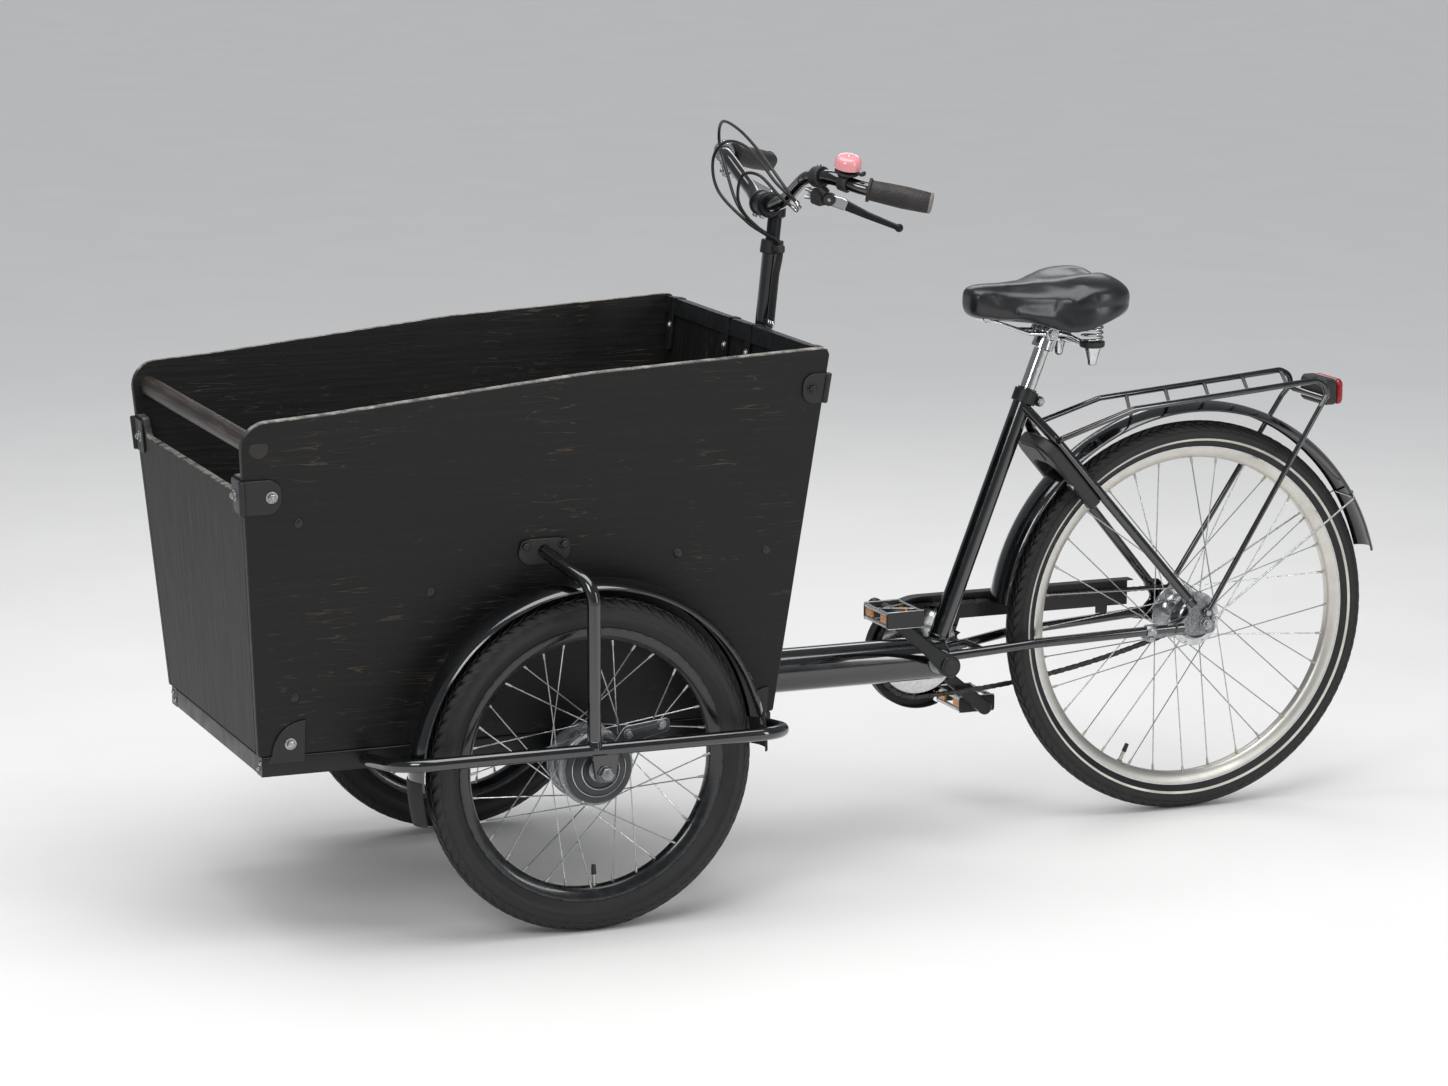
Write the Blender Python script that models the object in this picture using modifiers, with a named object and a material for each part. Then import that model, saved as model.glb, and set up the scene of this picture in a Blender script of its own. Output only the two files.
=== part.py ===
"""Front-loading cargo tricycle: a plywood box between two steered wheels, pushed by a bicycle rear half.

Metres. X points forward, Y to the rider's left, Z up. Places are measured from the ground under the
rear axle, and the datum empty moves the whole vehicle so that its bounding box is centred on the origin.
"""

import math

import bmesh
import bpy
from mathutils import Matrix, Vector

# Wheels
WHEELBASE = 1.170
FRONT_WHEEL_Y = 0.322
REAR_TYRE_RADIUS = 0.326
REAR_TYRE_WIDTH = 0.047
REAR_TYRE_HEIGHT = 0.0405
REAR_RIM_RADIUS = REAR_TYRE_RADIUS - REAR_TYRE_HEIGHT
FRONT_TYRE_RADIUS = 0.256
FRONT_TYRE_WIDTH = 0.050
FRONT_TYRE_HEIGHT = 0.047
FRONT_RIM_RADIUS = FRONT_TYRE_RADIUS - FRONT_TYRE_HEIGHT
RIM_DEPTH = 0.020
RIM_WIDTH = 0.030
RIM_LIP = 0.006
SPOKE_RADIUS = 0.0009
SPOKES_PER_FLANGE = 16
AXLE_STEPS = 10
HUB_STEPS = 18
WHEEL_STEPS = 28

# Hubs and axles
REAR_AXLE_RADIUS = 0.005
REAR_FLANGE_RADIUS = 0.045
REAR_SHELL_RADIUS = 0.032
REAR_FLANGE_Y = 0.031
REAR_SHELL_HALF = 0.041
FRONT_AXLE_RADIUS = 0.006
FRONT_FLANGE_RADIUS = 0.059
FRONT_SHELL_RADIUS = 0.051
FRONT_FLANGE_Y = 0.024
FRONT_SHELL_HALF = 0.034
FLANGE_HALF = 0.0023

# Rear frame
CRANK_X = 1.5 * REAR_TYRE_RADIUS - 0.026
CRANK_Z = 0.292
MAIN_TUBE_RADIUS = 0.035
SEAT_TUBE_RADIUS = 0.0159
SEAT_TUBE_LENGTH = 1.5 * REAR_TYRE_RADIUS - 0.027
SEAT_LEAN = math.radians(21.1)
SEAT_STAY_RADIUS = 0.008
STAY_BRIDGE_DROP = 0.015
CHAIN_STAY_RADIUS = 0.008
DROPOUT_Y = 0.068
DROPOUT_THICKNESS = 0.006

# Steering pivot under the box
KINGPIN_X = 1.100
KINGPIN_RADIUS = 0.010
HEAD_TUBE_RADIUS = 0.024
HEAD_TUBE_HALF = 0.048

# Drive
TOOTH_PITCH = 0.0127
CHAINRING_TEETH = 38
SPROCKET_TEETH = 19
CHAIN_Y = -0.050
CRANK_LENGTH = 0.170
CRANK_ANGLE = math.radians(40)
CRANK_AXLE_RADIUS = 0.0085
PEDAL_LENGTH = 0.092
PEDAL_WIDTH = 0.064
PEDAL_HEIGHT = 0.026
PEDAL_AXLE_RADIUS = 0.0055
PEDAL_Y = 0.141
CRANK_ARM_Y = 0.069
CRANK_ARM_HALF = 0.0065
TOOTH_THICKNESS = 0.0024
GUARD_DISC_RADIUS = 0.070
ROLLER_HALF = 0.0024
CHAIN_PLATE_HALF = 0.0034
CHAIN_OUTER = 0.0038
CHAIN_INNER = 0.0024
CASE_MARGIN = 0.016
CASE_Y = -0.0578
CASE_RIM = 0.020
CASE_REAR_X = 0.078

# Saddle and seat post
POST_RADIUS = 0.0127
POST_OUT = 0.080
POST_IN = 0.120
SADDLE_LENGTH = 0.262
SADDLE_HALF_WIDTH = 0.112
SPRING_WIRE = 0.0020
SPRING_RADIUS = 0.0165
SPRING_TURNS = 3
SPRING_HEIGHT = 0.029
SPRING_Y = 0.060
SADDLE_REAR = 0.119
SADDLE_NOSE_BAR = SADDLE_LENGTH * 0.8818 - SADDLE_REAR

# Box
PANEL = 0.012
BOX_FOOT_HALF = 0.2525
BOX_TOP_HALF = 0.325
BOX_TOP_Z = 0.861
BOX_REAR_FOOT_X = 0.845
BOX_REAR_TOP_X = 0.785
BOX_FRONT_FOOT_X = 1.660
BOX_FRONT_TOP_X = 1.697
BOX_FRONT_TOP_Z = 0.796
FRONT_PANEL_TOP_Z = 0.690
FRONT_TAB_TOP_Z = 0.718
FLOOR_Z = 0.357
FLOOR_THICKNESS = 0.009
REAR_PANEL_FOOT_Z = 0.335
BRACKET_SKIN = 0.003
CHANNEL_HEIGHT = 0.024
CARRIAGE_BOLTS = ((1.606, 0.645), (1.606, 0.380), (1.402, 0.525), (1.015, 0.557), (0.872, 0.552))
DOWEL_RADIUS = 0.015
DOWEL_X = 1.668
DOWEL_Z = 0.760

# Chassis under the box
RAIL = 0.030
RAIL_TOP_Z = 0.292
LUG_THICKNESS = 0.008
MEMBER_SPREAD = 0.090
CROWN_THICKNESS = 0.008
POST_X = 1.187
RAIL_REAR_X = 0.850
RAIL_FRONT_X = 1.655
GUARD_RADIUS = 0.010
GUARD_Y = 0.388
GUARD_Z = 0.293
GUARD_FRONT_X = 1.485
GUARD_REAR_X = 0.866
GUARD_POST_RADIUS = 0.009

# Mudguards
MUDGUARD_HALF = 0.030
MUDGUARD_CROWN = 0.011
MUDGUARD_SKIN = 0.0016
REAR_MUDGUARD_GAP = 0.034
REAR_MUDGUARD_RADIUS = REAR_TYRE_RADIUS + REAR_MUDGUARD_GAP
FRONT_MUDGUARD_GAP = 0.027
FRONT_MUDGUARD_RADIUS = FRONT_TYRE_RADIUS + FRONT_MUDGUARD_GAP
CARRIER_HALF = 0.060
CARRIER_RISE = 0.030
CARRIER_FALL = 0.028
CARRIER_Z = REAR_TYRE_RADIUS + REAR_MUDGUARD_RADIUS + CARRIER_RISE
CARRIER_REAR_X = -0.217
LOCK_HALF = 0.011

# Handlebar
COLUMN_RADIUS = 0.0143
COLUMN_GAP = 0.028
COLUMN_TOP_Z = 0.980
COLUMN_FOOT_Z = 0.352
CLAMP_HEIGHTS = (0.450, 0.812)
QUILL_RADIUS = 0.0111
QUILL_IN = 0.110
BAR_RADIUS = 0.0111
BAR_CLAMP_X = 0.757
BAR_CLAMP_Z = 1.040
BAR_HALF = 0.315
GRIP_RADIUS = 0.0165
GRIP_LENGTH = 0.100
GRIP_START = Vector((0.715, 0.262, 1.092))
GRIP_END = Vector((0.620, 0.315, 1.070))
CABLE_RADIUS = 0.0025
CABLE_CLIP_Z = 0.973
CABLE_END_Z = 0.850
ADJUSTERS = ((0.0, 0.007), (-0.004, -0.006), (0.008, -0.001))
LEVER_REACH = 0.112
LEVER_OUTLINE = (
    (-0.008, 0.007),
    (0.020, 0.006),
    (LEVER_REACH * 0.55, -0.006),
    (LEVER_REACH, -0.016),
    (LEVER_REACH, -0.024),
    (LEVER_REACH * 0.55, -0.017),
    (0.018, -0.010),
    (-0.008, -0.007),
)
CABLE_LOOPS = (
    (
        (0.768, 0.158, 1.058),
        (0.786, 0.112, 1.086),
        (0.802, 0.050, 1.130),
        (0.816, -0.012, 1.138),
        (0.824, -0.050, 1.108),
        (0.818, -0.044, 1.058),
        (0.786, 0.000, 1.012),
    ),
    (
        (0.768, 0.154, 1.046),
        (0.784, 0.122, 1.066),
        (0.800, 0.080, 1.094),
        (0.812, 0.040, 1.090),
        (0.812, 0.024, 1.050),
        (0.790, 0.026, 1.015),
    ),
    (
        (0.768, 0.166, 1.051),
        (0.790, 0.138, 1.092),
        (0.798, 0.080, 1.128),
        (0.800, 0.000, 1.156),
        (0.796, -0.080, 1.162),
        (0.786, -0.120, 1.130),
        (0.784, -0.096, 1.086),
        (0.794, -0.020, 1.036),
        (0.776, 0.024, 1.004),
    ),
)

# Clearances, and the radius under which a round bar needs only six sides
THIN_RADIUS = 0.008
GAP = 0.0003
RUNNING = 0.0005

RAIL_OUTER = BOX_FOOT_HALF + 0.002
BOX_FOOT_Z = RAIL_TOP_Z + GAP
FLARE = math.atan((BOX_TOP_HALF - BOX_FOOT_HALF) / (BOX_TOP_Z - BOX_FOOT_Z))
REAR_RAKE = math.atan((BOX_REAR_FOOT_X - BOX_REAR_TOP_X) / (BOX_TOP_Z - BOX_FOOT_Z))
FRONT_LEAN = math.atan((BOX_FRONT_TOP_X - BOX_FRONT_FOOT_X) / (BOX_FRONT_TOP_Z - BOX_FOOT_Z))
REAR_HUB = Vector((0, 0, REAR_TYRE_RADIUS))
CRANK = Vector((CRANK_X, 0, CRANK_Z))
SEAT_AXIS = Vector((-math.sin(SEAT_LEAN), 0, math.cos(SEAT_LEAN)))
SEAT_TOP = CRANK + SEAT_AXIS * SEAT_TUBE_LENGTH
POST_TOP = SEAT_TOP + SEAT_AXIS * POST_OUT
COLUMN_AXIS = Vector((-math.sin(REAR_RAKE), 0, math.cos(REAR_RAKE)))
CHAIN_STAY_BEND = Vector((CRANK_X - 0.157, 0.047, CRANK_Z + 0.019))
CHAIN_STAY_END = Vector((0.040, DROPOUT_Y, REAR_TYRE_RADIUS - 0.004))
CHAIN_STAY_TOP = REAR_TYRE_RADIUS + CHAIN_STAY_RADIUS
SEAT_STAY_TOP = SEAT_TOP - SEAT_AXIS * 0.030
SEAT_STAY_BEND = SEAT_STAY_TOP + Vector((-0.040, 0.042, -0.050))
SEAT_STAY_LOW = Vector((0.022, DROPOUT_Y, REAR_TYRE_RADIUS + 0.032))
SPRING_LOW_Z = POST_TOP.z + 0.006
CHAINRING_RADIUS = TOOTH_PITCH / 2 / math.sin(math.pi / CHAINRING_TEETH)
SPROCKET_RADIUS = TOOTH_PITCH / 2 / math.sin(math.pi / SPROCKET_TEETH)


def clear_scene():
    """Remove what a new file holds, and leave the parts' collection."""
    for obj in list(bpy.data.objects):
        bpy.data.objects.remove(obj, do_unlink=True)
    parts = bpy.data.collections.new("cargo_trike")
    bpy.context.scene.collection.children.link(parts)
    return parts


PARTS = clear_scene()


def new_object(name, data):
    """A linked object that holds this data, at the origin."""
    obj = bpy.data.objects.new(name, data)
    PARTS.objects.link(obj)
    return obj


def from_bmesh(name, bm):
    """An object whose mesh is this bmesh with its faces turned outwards."""
    bmesh.ops.recalc_face_normals(bm, faces=bm.faces)
    mesh = bpy.data.meshes.new(name)
    bm.to_mesh(mesh)
    bm.free()
    return new_object(name, mesh)


def baked(obj, matrix=None):
    """The evaluated object as one plain mesh in world space, with loose caps welded."""
    bpy.context.view_layer.update()
    graph = bpy.context.evaluated_depsgraph_get()
    mesh = bpy.data.meshes.new_from_object(obj.evaluated_get(graph))
    mesh.transform(obj.matrix_world if matrix is None else matrix)
    name = obj.name
    bpy.data.objects.remove(obj, do_unlink=True)
    bm = bmesh.new()
    bm.from_mesh(mesh)
    bpy.data.meshes.remove(mesh)
    bmesh.ops.remove_doubles(bm, verts=bm.verts, dist=1e-5)
    return from_bmesh(name, bm)


def combined(name, operation, base, others):
    """The base joined with, or cut by, the other solids, as one mesh under this name."""
    base = baked(base)
    others = [baked(other) for other in others]
    for other in others:
        step = base.modifiers.new(other.name, "BOOLEAN")
        step.operation = operation
        step.object = other
    result = baked(base)
    for other in others:
        bpy.data.objects.remove(other, do_unlink=True)
    result.name = name
    return result


def fuse(name, pieces):
    """One solid from overlapping pieces."""
    return combined(name, "UNION", pieces[0], pieces[1:])


def cut(name, base, cutters):
    """The base without the cutters' volume."""
    return combined(name, "DIFFERENCE", base, cutters)


def mirrored(name, source):
    """The same piece on the other side of the vehicle's centre plane."""
    mesh = source.data.copy()
    mesh.transform(Matrix.Diagonal((1, -1, 1, 1)))
    mesh.flip_normals()
    return new_object(name, mesh)


def block(name, low, high):
    """A box between two corners."""
    size = [b - a for a, b in zip(low, high)]
    middle = [(a + b) / 2 for a, b in zip(low, high)]
    bm = bmesh.new()
    bmesh.ops.create_cube(bm, size=1, matrix=Matrix.LocRotScale(middle, None, size))
    return from_bmesh(name, bm)


def towards(direction):
    """The rotation that turns +Z to a direction."""
    return Vector(direction).to_track_quat("Z", "Y").to_matrix().to_4x4()


def rod(name, start, end, radius, sides=None, end_radius=None):
    """A straight round bar or a cone between two points, with fewer sides where it is thin."""
    sides = sides or (6 if radius < THIN_RADIUS else 8)
    start, end = Vector(start), Vector(end)
    place = Matrix.Translation((start + end) / 2) @ towards(end - start)
    bm = bmesh.new()
    bmesh.ops.create_cone(
        bm,
        cap_ends=True,
        segments=sides,
        radius1=radius,
        radius2=radius if end_radius is None else end_radius,
        depth=(end - start).length,
        matrix=place,
    )
    return from_bmesh(name, bm)


def bored(radius, sides, clearance=GAP):
    """The corner radius of a hole whose flats clear a round shaft of this radius."""
    return (radius + clearance) / math.cos(math.pi / sides)


def cross_rod(name, x, y_from, y_to, z, radius, sides=None):
    """A round bar along Y."""
    return rod(name, (x, y_from, z), (x, y_to, z), radius, sides)


def bent(points, radius, steps=2):
    """A path through these points with its corners rounded by arcs of this radius."""
    points = [Vector(point) for point in points]
    path = [points[0]]
    for before, corner, after in zip(points, points[1:], points[2:]):
        back = (before - corner).normalized()
        ahead = (after - corner).normalized()
        half = back.angle(ahead) / 2
        room = min((before - corner).length, (after - corner).length) * 0.49
        reach = min(radius / math.tan(half), room)
        arc = reach * math.tan(half)
        centre = corner + (back + ahead).normalized() * (arc / math.sin(half))
        first = corner + back * reach - centre
        last = corner + ahead * reach - centre
        for step in range(steps + 1):
            path.append(centre + first.slerp(last, step / steps) * arc)
    path.append(points[-1])
    return path


def smooth_path(points, count):
    """Evenly numbered points on a smooth curve through the given points."""
    points = [Vector(point) for point in points]
    padded = [points[0] * 2 - points[1], *points, points[-1] * 2 - points[-2]]
    path = []
    for step in range(count):
        place = step * (len(points) - 1) / (count - 1)
        index = min(int(place), len(points) - 2)
        t = place - index
        a, b, c, d = padded[index:index + 4]
        path.append(
            (b * 2 + (c - a) * t + (a * 2 - b * 5 + c * 4 - d) * t * t + (b * 3 - a - c * 3 + d) * t**3) / 2
        )
    return path


def tube(name, path, radius, roundness=2):
    """A round tube along a path of points."""
    curve = bpy.data.curves.new(name, "CURVE")
    curve.dimensions = "3D"
    curve.bevel_depth = radius
    curve.bevel_resolution = roundness
    curve.use_fill_caps = True
    spline = curve.splines.new("POLY")
    spline.points.add(len(path) - 1)
    for point, place in zip(spline.points, path):
        point.co = (*place, 1)
    return baked(new_object(name, curve))


def plate(name, outline, thickness, frame):
    """A flat piece with one outline, evenly thick on both sides of the frame's XY plane."""
    bm = bmesh.new()
    faces = []
    for level in (-thickness / 2, thickness / 2):
        faces.append([bm.verts.new(frame @ Vector((x, y, level))) for x, y in outline])
        bm.faces.new(faces[-1])
    low, high = faces
    for index in range(len(outline)):
        after = (index + 1) % len(outline)
        bm.faces.new((low[index], low[after], high[after], high[index]))
    return from_bmesh(name, bm)


def pierced_plate(name, outlines, thickness, frame):
    """A flat piece from an outer outline and its holes, extruded evenly from the frame's XY plane."""
    curve = bpy.data.curves.new(name, "CURVE")
    curve.dimensions = "2D"
    curve.fill_mode = "BOTH"
    curve.extrude = thickness / 2
    for outline in outlines:
        spline = curve.splines.new("POLY")
        spline.points.add(len(outline) - 1)
        for point, (x, y) in zip(spline.points, outline):
            point.co = (x, y, 0, 1)
        spline.use_cyclic_u = True
    return baked(new_object(name, curve), frame)


def turned(name, profile, centre, direction=(0, 1, 0), steps=WHEEL_STEPS, closed=True, phase=0.5):
    """A profile of (radius, height) points turned about an axis through the centre."""
    bm = bmesh.new()
    points = [bm.verts.new((radius, 0, height)) for radius, height in profile]
    for first, second in zip(points, points[1:]):
        bm.edges.new((first, second))
    if closed:
        bm.edges.new((points[-1], points[0]))
    mesh = bpy.data.meshes.new(name)
    bm.to_mesh(mesh)
    bm.free()
    obj = new_object(name, mesh)
    screw = obj.modifiers.new("turn", "SCREW")
    screw.steps = steps
    screw.render_steps = steps
    screw.use_merge_vertices = True
    screw.merge_threshold = 1e-5
    turn = Matrix.Rotation(phase * 2 * math.pi / steps, 4, "Z")
    return baked(obj, Matrix.Translation(centre) @ towards(direction) @ turn)


def circle(x, y, radius, count):
    """Points of a round outline."""
    angles = [2 * math.pi * step / count for step in range(count)]
    return [(x + radius * math.cos(angle), y + radius * math.sin(angle)) for angle in angles]


def arc(x, y, radius, start, end, count):
    """Points along part of a circle, with the angles in degrees."""
    angles = [math.radians(start + (end - start) * step / (count - 1)) for step in range(count)]
    return [(x + radius * math.cos(angle), y + radius * math.sin(angle)) for angle in angles]


def rounded(corners, radius, steps=3):
    """A closed outline with rounded corners."""
    count = len(corners)
    outline = []
    for index, corner in enumerate(corners):
        radius_here = radius[index] if isinstance(radius, (list, tuple)) else radius
        if radius_here == 0:
            outline.append(corner)
            continue
        before = corners[index - 1]
        after = corners[(index + 1) % count]
        three = bent([(*before, 0), (*corner, 0), (*after, 0)], radius_here, steps)
        outline += [(point.x, point.y) for point in three[1:-1]]
    return outline


def upright(x=0, y=0, z=0):
    """A frame whose XY plane stands along the vehicle: local X is forward, local Y up, local Z right."""
    return Matrix.Translation((x, y, z)) @ Matrix.Rotation(math.pi / 2, 4, "X")


def box_side_y(z):
    """The left side panel's outer face at a height."""
    return BOX_FOOT_HALF + (z - BOX_FOOT_Z) * math.tan(FLARE)


def box_rear_x(z):
    """The rear panel's outer face at a height."""
    return BOX_REAR_FOOT_X - (z - BOX_FOOT_Z) * math.tan(REAR_RAKE)


def box_front_x(z):
    """The front panel's outer face at a height."""
    return BOX_FRONT_FOOT_X + (z - BOX_FOOT_Z) * math.tan(FRONT_LEAN)


def side_frame(x, z, out=0.0):
    """On the left panel's outer face: local X forward, local Y up the slope, local Z inwards."""
    up = Vector((0, math.sin(FLARE), math.cos(FLARE)))
    inward = Vector((1, 0, 0)).cross(up)
    matrix = Matrix((Vector((1, 0, 0)), up, inward)).transposed().to_4x4()
    return Matrix.Translation(Vector((x, box_side_y(z), z)) - inward * out) @ matrix


def front_frame(y, z, out=0.0):
    """On the front panel's outer face: local X to the left, local Y up the slope, local Z outwards."""
    up = Vector((math.sin(FRONT_LEAN), 0, math.cos(FRONT_LEAN)))
    outward = Vector((0, 1, 0)).cross(up)
    matrix = Matrix((Vector((0, 1, 0)), up, outward)).transposed().to_4x4()
    return Matrix.Translation(Vector((box_front_x(z), y, z)) + outward * out) @ matrix


def rear_frame(y, z, out=0.0):
    """On the rear panel's outer face: local X to the right, local Y up the slope, local Z outwards."""
    up = Vector((-math.sin(REAR_RAKE), 0, math.cos(REAR_RAKE)))
    outward = Vector((0, -1, 0)).cross(up)
    matrix = Matrix((Vector((0, -1, 0)), up, outward)).transposed().to_4x4()
    return Matrix.Translation(Vector((box_rear_x(z), y, z)) + outward * out) @ matrix


def bolt_head(name, frame, x, y, start=0.0, radius=0.008, height=0.005):
    """A domed bolt head standing on a frame's plane, towards its local Z."""
    foot = frame @ Vector((x, y, start))
    top = frame @ Vector((x, y, start + height))
    return rod(name, foot, top, radius, 6, radius * 0.6)


def finish(name, colour, roughness, metallic=0.0):
    """A plain Principled material from a hexadecimal sRGB colour."""
    material = bpy.data.materials.new(name)
    material.use_nodes = True
    shader = material.node_tree.nodes["Principled BSDF"]
    channels = [int(colour[start:start + 2], 16) / 255 for start in (0, 2, 4)]
    linear = [c / 12.92 if c <= 0.04045 else ((c + 0.055) / 1.055) ** 2.4 for c in channels]
    shader.inputs["Base Color"].default_value = (*linear, 1)
    shader.inputs["Roughness"].default_value = roughness
    shader.inputs["Metallic"].default_value = metallic
    return material


BLACK_PAINT = finish("black_paint", "16181b", 0.25)
BLACK_STEEL = finish("black_steel", "1f2022", 0.5, 0.4)
STAINED_PLYWOOD = finish("stained_plywood", "3a3936", 0.7)
DARK_WOOD = finish("dark_wood", "4a3f38", 0.6)
BRIGHT_ALLOY = finish("bright_alloy", "c4c5c3", 0.35, 1.0)
CHROME = finish("chrome", "d6d6d4", 0.15, 1.0)
BLACK_ALLOY = finish("black_alloy", "1a1b1d", 0.35, 0.6)
TYRE_RUBBER = finish("tyre_rubber", "3a3a38", 0.8)
GRIP_RUBBER = finish("grip_rubber", "4a4642", 0.8)
VINYL = finish("saddle_vinyl", "2a2c30", 0.4)
BLACK_PLASTIC = finish("black_plastic", "1b1b1c", 0.5)
PINK_PAINT = finish("pink_paint", "e79a9c", 0.4)
RED_LENS = finish("red_lens", "c0202a", 0.2)


def joint_empty(name, place, parent):
    """An empty on a joint's axis, which carries what turns or slides there."""
    empty = new_object(name, None)
    empty.empty_display_size = 0.05
    empty.parent = parent
    empty.location = Vector(place) - (Vector(parent["place"]) if parent else Vector())
    empty["place"] = tuple(place)
    return empty


def mount(obj, empty, material):
    """Hang a finished piece from its joint's empty, where it was modelled."""
    obj.parent = empty
    obj.matrix_parent_inverse = Matrix.Translation(-Vector(empty["place"]))
    obj.data.materials.clear()
    obj.data.materials.append(material)
    obj.data.shade_smooth()
    obj.data.set_sharp_from_angle(angle=math.radians(35))


DATUM = joint_empty("datum", (0, 0, 0), None)
STEERED = joint_empty("steer", (KINGPIN_X, 0, RAIL_TOP_Z), DATUM)
BAR_CLAMP = (BAR_CLAMP_X, 0, BAR_CLAMP_Z)
RAISED_BAR = joint_empty("stem_height", BAR_CLAMP, STEERED)
REAR_SPIN = joint_empty("rear_wheel_spin", REAR_HUB, DATUM)
DRIVER_SPIN = joint_empty("sprocket_spin", REAR_HUB, DATUM)
CRANK_SPIN = joint_empty("crank_spin", CRANK, DATUM)
RAISED_POST = joint_empty("seat_height", POST_TOP, DATUM)


def tyre(name, centre, radius, width, rim_radius):
    """A tyre whose beads sit between the rim's lips, whose section is an oval and whose flats roll."""
    seat = rim_radius - RIM_LIP + RUNNING
    bead = RIM_WIDTH / 2 - 0.005
    crown = radius / math.cos(math.pi / WHEEL_STEPS)
    middle = (crown + rim_radius - 0.002) / 2
    half_height = (crown - middle) / math.cos(math.radians(25))
    profile = [(seat, bead)]
    for step in range(6):
        angle = math.radians(125 - 250 * step / 5)
        profile.append((middle + half_height * math.cos(angle), width / 2 * math.sin(angle)))
    profile.append((seat, -bead))
    return turned(name, profile, centre)


def rim(name, centre, radius):
    """A rim with a channel for the tyre and a flat inner bed for the spokes."""
    half = RIM_WIDTH / 2
    bed = RIM_WIDTH * 0.22
    profile = [
        (radius, half),
        (radius - RIM_LIP, half - 0.004),
        (radius - RIM_LIP, 0.004 - half),
        (radius, -half),
        (radius - RIM_DEPTH, -bed),
        (radius - RIM_DEPTH, bed),
    ]
    return turned(name, profile, centre)


def spokes(name, centre, flange_radius, flange_y, rim_radius):
    """Both sides' spokes, laced over three crossings, every second one the other way."""
    bm = bmesh.new()
    hole = flange_radius - 0.004
    reach = rim_radius - RIM_DEPTH + 0.003
    pitch = 2 * math.pi / SPOKES_PER_FLANGE
    for number in range(2 * SPOKES_PER_FLANGE):
        side = 1 if number % 2 == 0 else -1
        lead = 1 if number // 2 % 2 == 0 else -1
        rim_angle = number * pitch / 2
        hub_angle = rim_angle + lead * 3 * pitch
        offset = lead * (SPOKE_RADIUS + 0.0004)
        hub_end = Vector((hole * math.cos(hub_angle), side * flange_y + offset, hole * math.sin(hub_angle)))
        rim_end = Vector((reach * math.cos(rim_angle), side * 0.004 + offset, reach * math.sin(rim_angle)))
        middle = Vector(centre) + (hub_end + rim_end) / 2
        place = Matrix.Translation(middle) @ towards(rim_end - hub_end)
        bmesh.ops.create_cone(
            bm,
            cap_ends=True,
            segments=3,
            radius1=SPOKE_RADIUS,
            radius2=SPOKE_RADIUS,
            depth=(rim_end - hub_end).length,
            matrix=place,
        )
    return from_bmesh(name, bm)


def hub_shell(name, centre, shell, flange, flange_y, half, bore):
    """A hub barrel with two spoke flanges and a bore for its axle."""
    profile = [
        (bore, half),
        (shell, half),
        (flange, flange_y + FLANGE_HALF),
        (flange, flange_y - FLANGE_HALF),
        (shell * 0.94, flange_y - FLANGE_HALF),
        (shell * 0.94, FLANGE_HALF - flange_y),
        (flange, FLANGE_HALF - flange_y),
        (flange, -flange_y - FLANGE_HALF),
        (shell, -half),
        (bore, -half),
    ]
    return turned(name, profile, centre, steps=HUB_STEPS)


def mudguard_blade(name, centre, radius, start, end, steps):
    """A domed strip round part of a wheel, from one angle to another in degrees."""
    bm = bmesh.new()
    points = []
    for step in range(4):
        across = -1 + step / 1.5
        height = radius - MUDGUARD_SKIN - MUDGUARD_CROWN * across * across
        points.append(bm.verts.new((height, 0, across * MUDGUARD_HALF)))
    for first, second in zip(points, points[1:]):
        bm.edges.new((first, second))
    mesh = bpy.data.meshes.new(name)
    bm.to_mesh(mesh)
    bm.free()
    obj = new_object(name, mesh)
    screw = obj.modifiers.new("turn", "SCREW")
    screw.angle = math.radians(end - start)
    screw.steps = steps
    screw.render_steps = steps
    skin = obj.modifiers.new("skin", "SOLIDIFY")
    skin.thickness = MUDGUARD_SKIN
    skin.offset = 0
    # Local X turns from the start angle towards the end angle, about the wheel's axle.
    place = Matrix.Translation(centre) @ Matrix.Rotation(math.pi / 2, 4, "X")
    return baked(obj, place @ Matrix.Rotation(math.radians(start), 4, "Z"))


def build_rear_wheel():
    """The laced rear wheel and its tyre, which turn on the rear axle."""
    bore = bored(REAR_AXLE_RADIUS, HUB_STEPS, RUNNING)
    shell = hub_shell(
        "hub", REAR_HUB, REAR_SHELL_RADIUS, REAR_FLANGE_RADIUS, REAR_FLANGE_Y, REAR_SHELL_HALF, bore
    )
    lacing = spokes("spokes", REAR_HUB, REAR_FLANGE_RADIUS, REAR_FLANGE_Y, REAR_RIM_RADIUS)
    wheel = fuse("rear_wheel", [rim("rim", REAR_HUB, REAR_RIM_RADIUS), shell, lacing])
    mount(wheel, REAR_SPIN, BRIGHT_ALLOY)
    rubber = tyre("rear_tyre", REAR_HUB, REAR_TYRE_RADIUS, REAR_TYRE_WIDTH, REAR_RIM_RADIUS)
    mount(rubber, REAR_SPIN, TYRE_RUBBER)


def build_rear_axle():
    """The fixed rear axle with its nuts outside the dropouts and a spacer inside each of them."""
    radius = REAR_AXLE_RADIUS
    outer = DROPOUT_Y + DROPOUT_THICKNESS / 2 + GAP
    inner = DROPOUT_Y - DROPOUT_THICKNESS / 2 - GAP
    half = [
        (0.0085, inner - 0.005),
        (0.0085, inner),
        (radius, inner),
        (radius, outer),
        (0.0095, outer),
        (0.0095, outer + 0.009),
        (radius, outer + 0.009),
        (radius, outer + 0.014),
        (0.0, outer + 0.014),
    ]
    profile = [(x, -y) for x, y in reversed(half)] + [(radius, 0.005 - inner), (radius, inner - 0.005)] + half
    mount(turned("rear_axle", profile, REAR_HUB, steps=AXLE_STEPS, closed=False), DATUM, BRIGHT_ALLOY)


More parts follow.
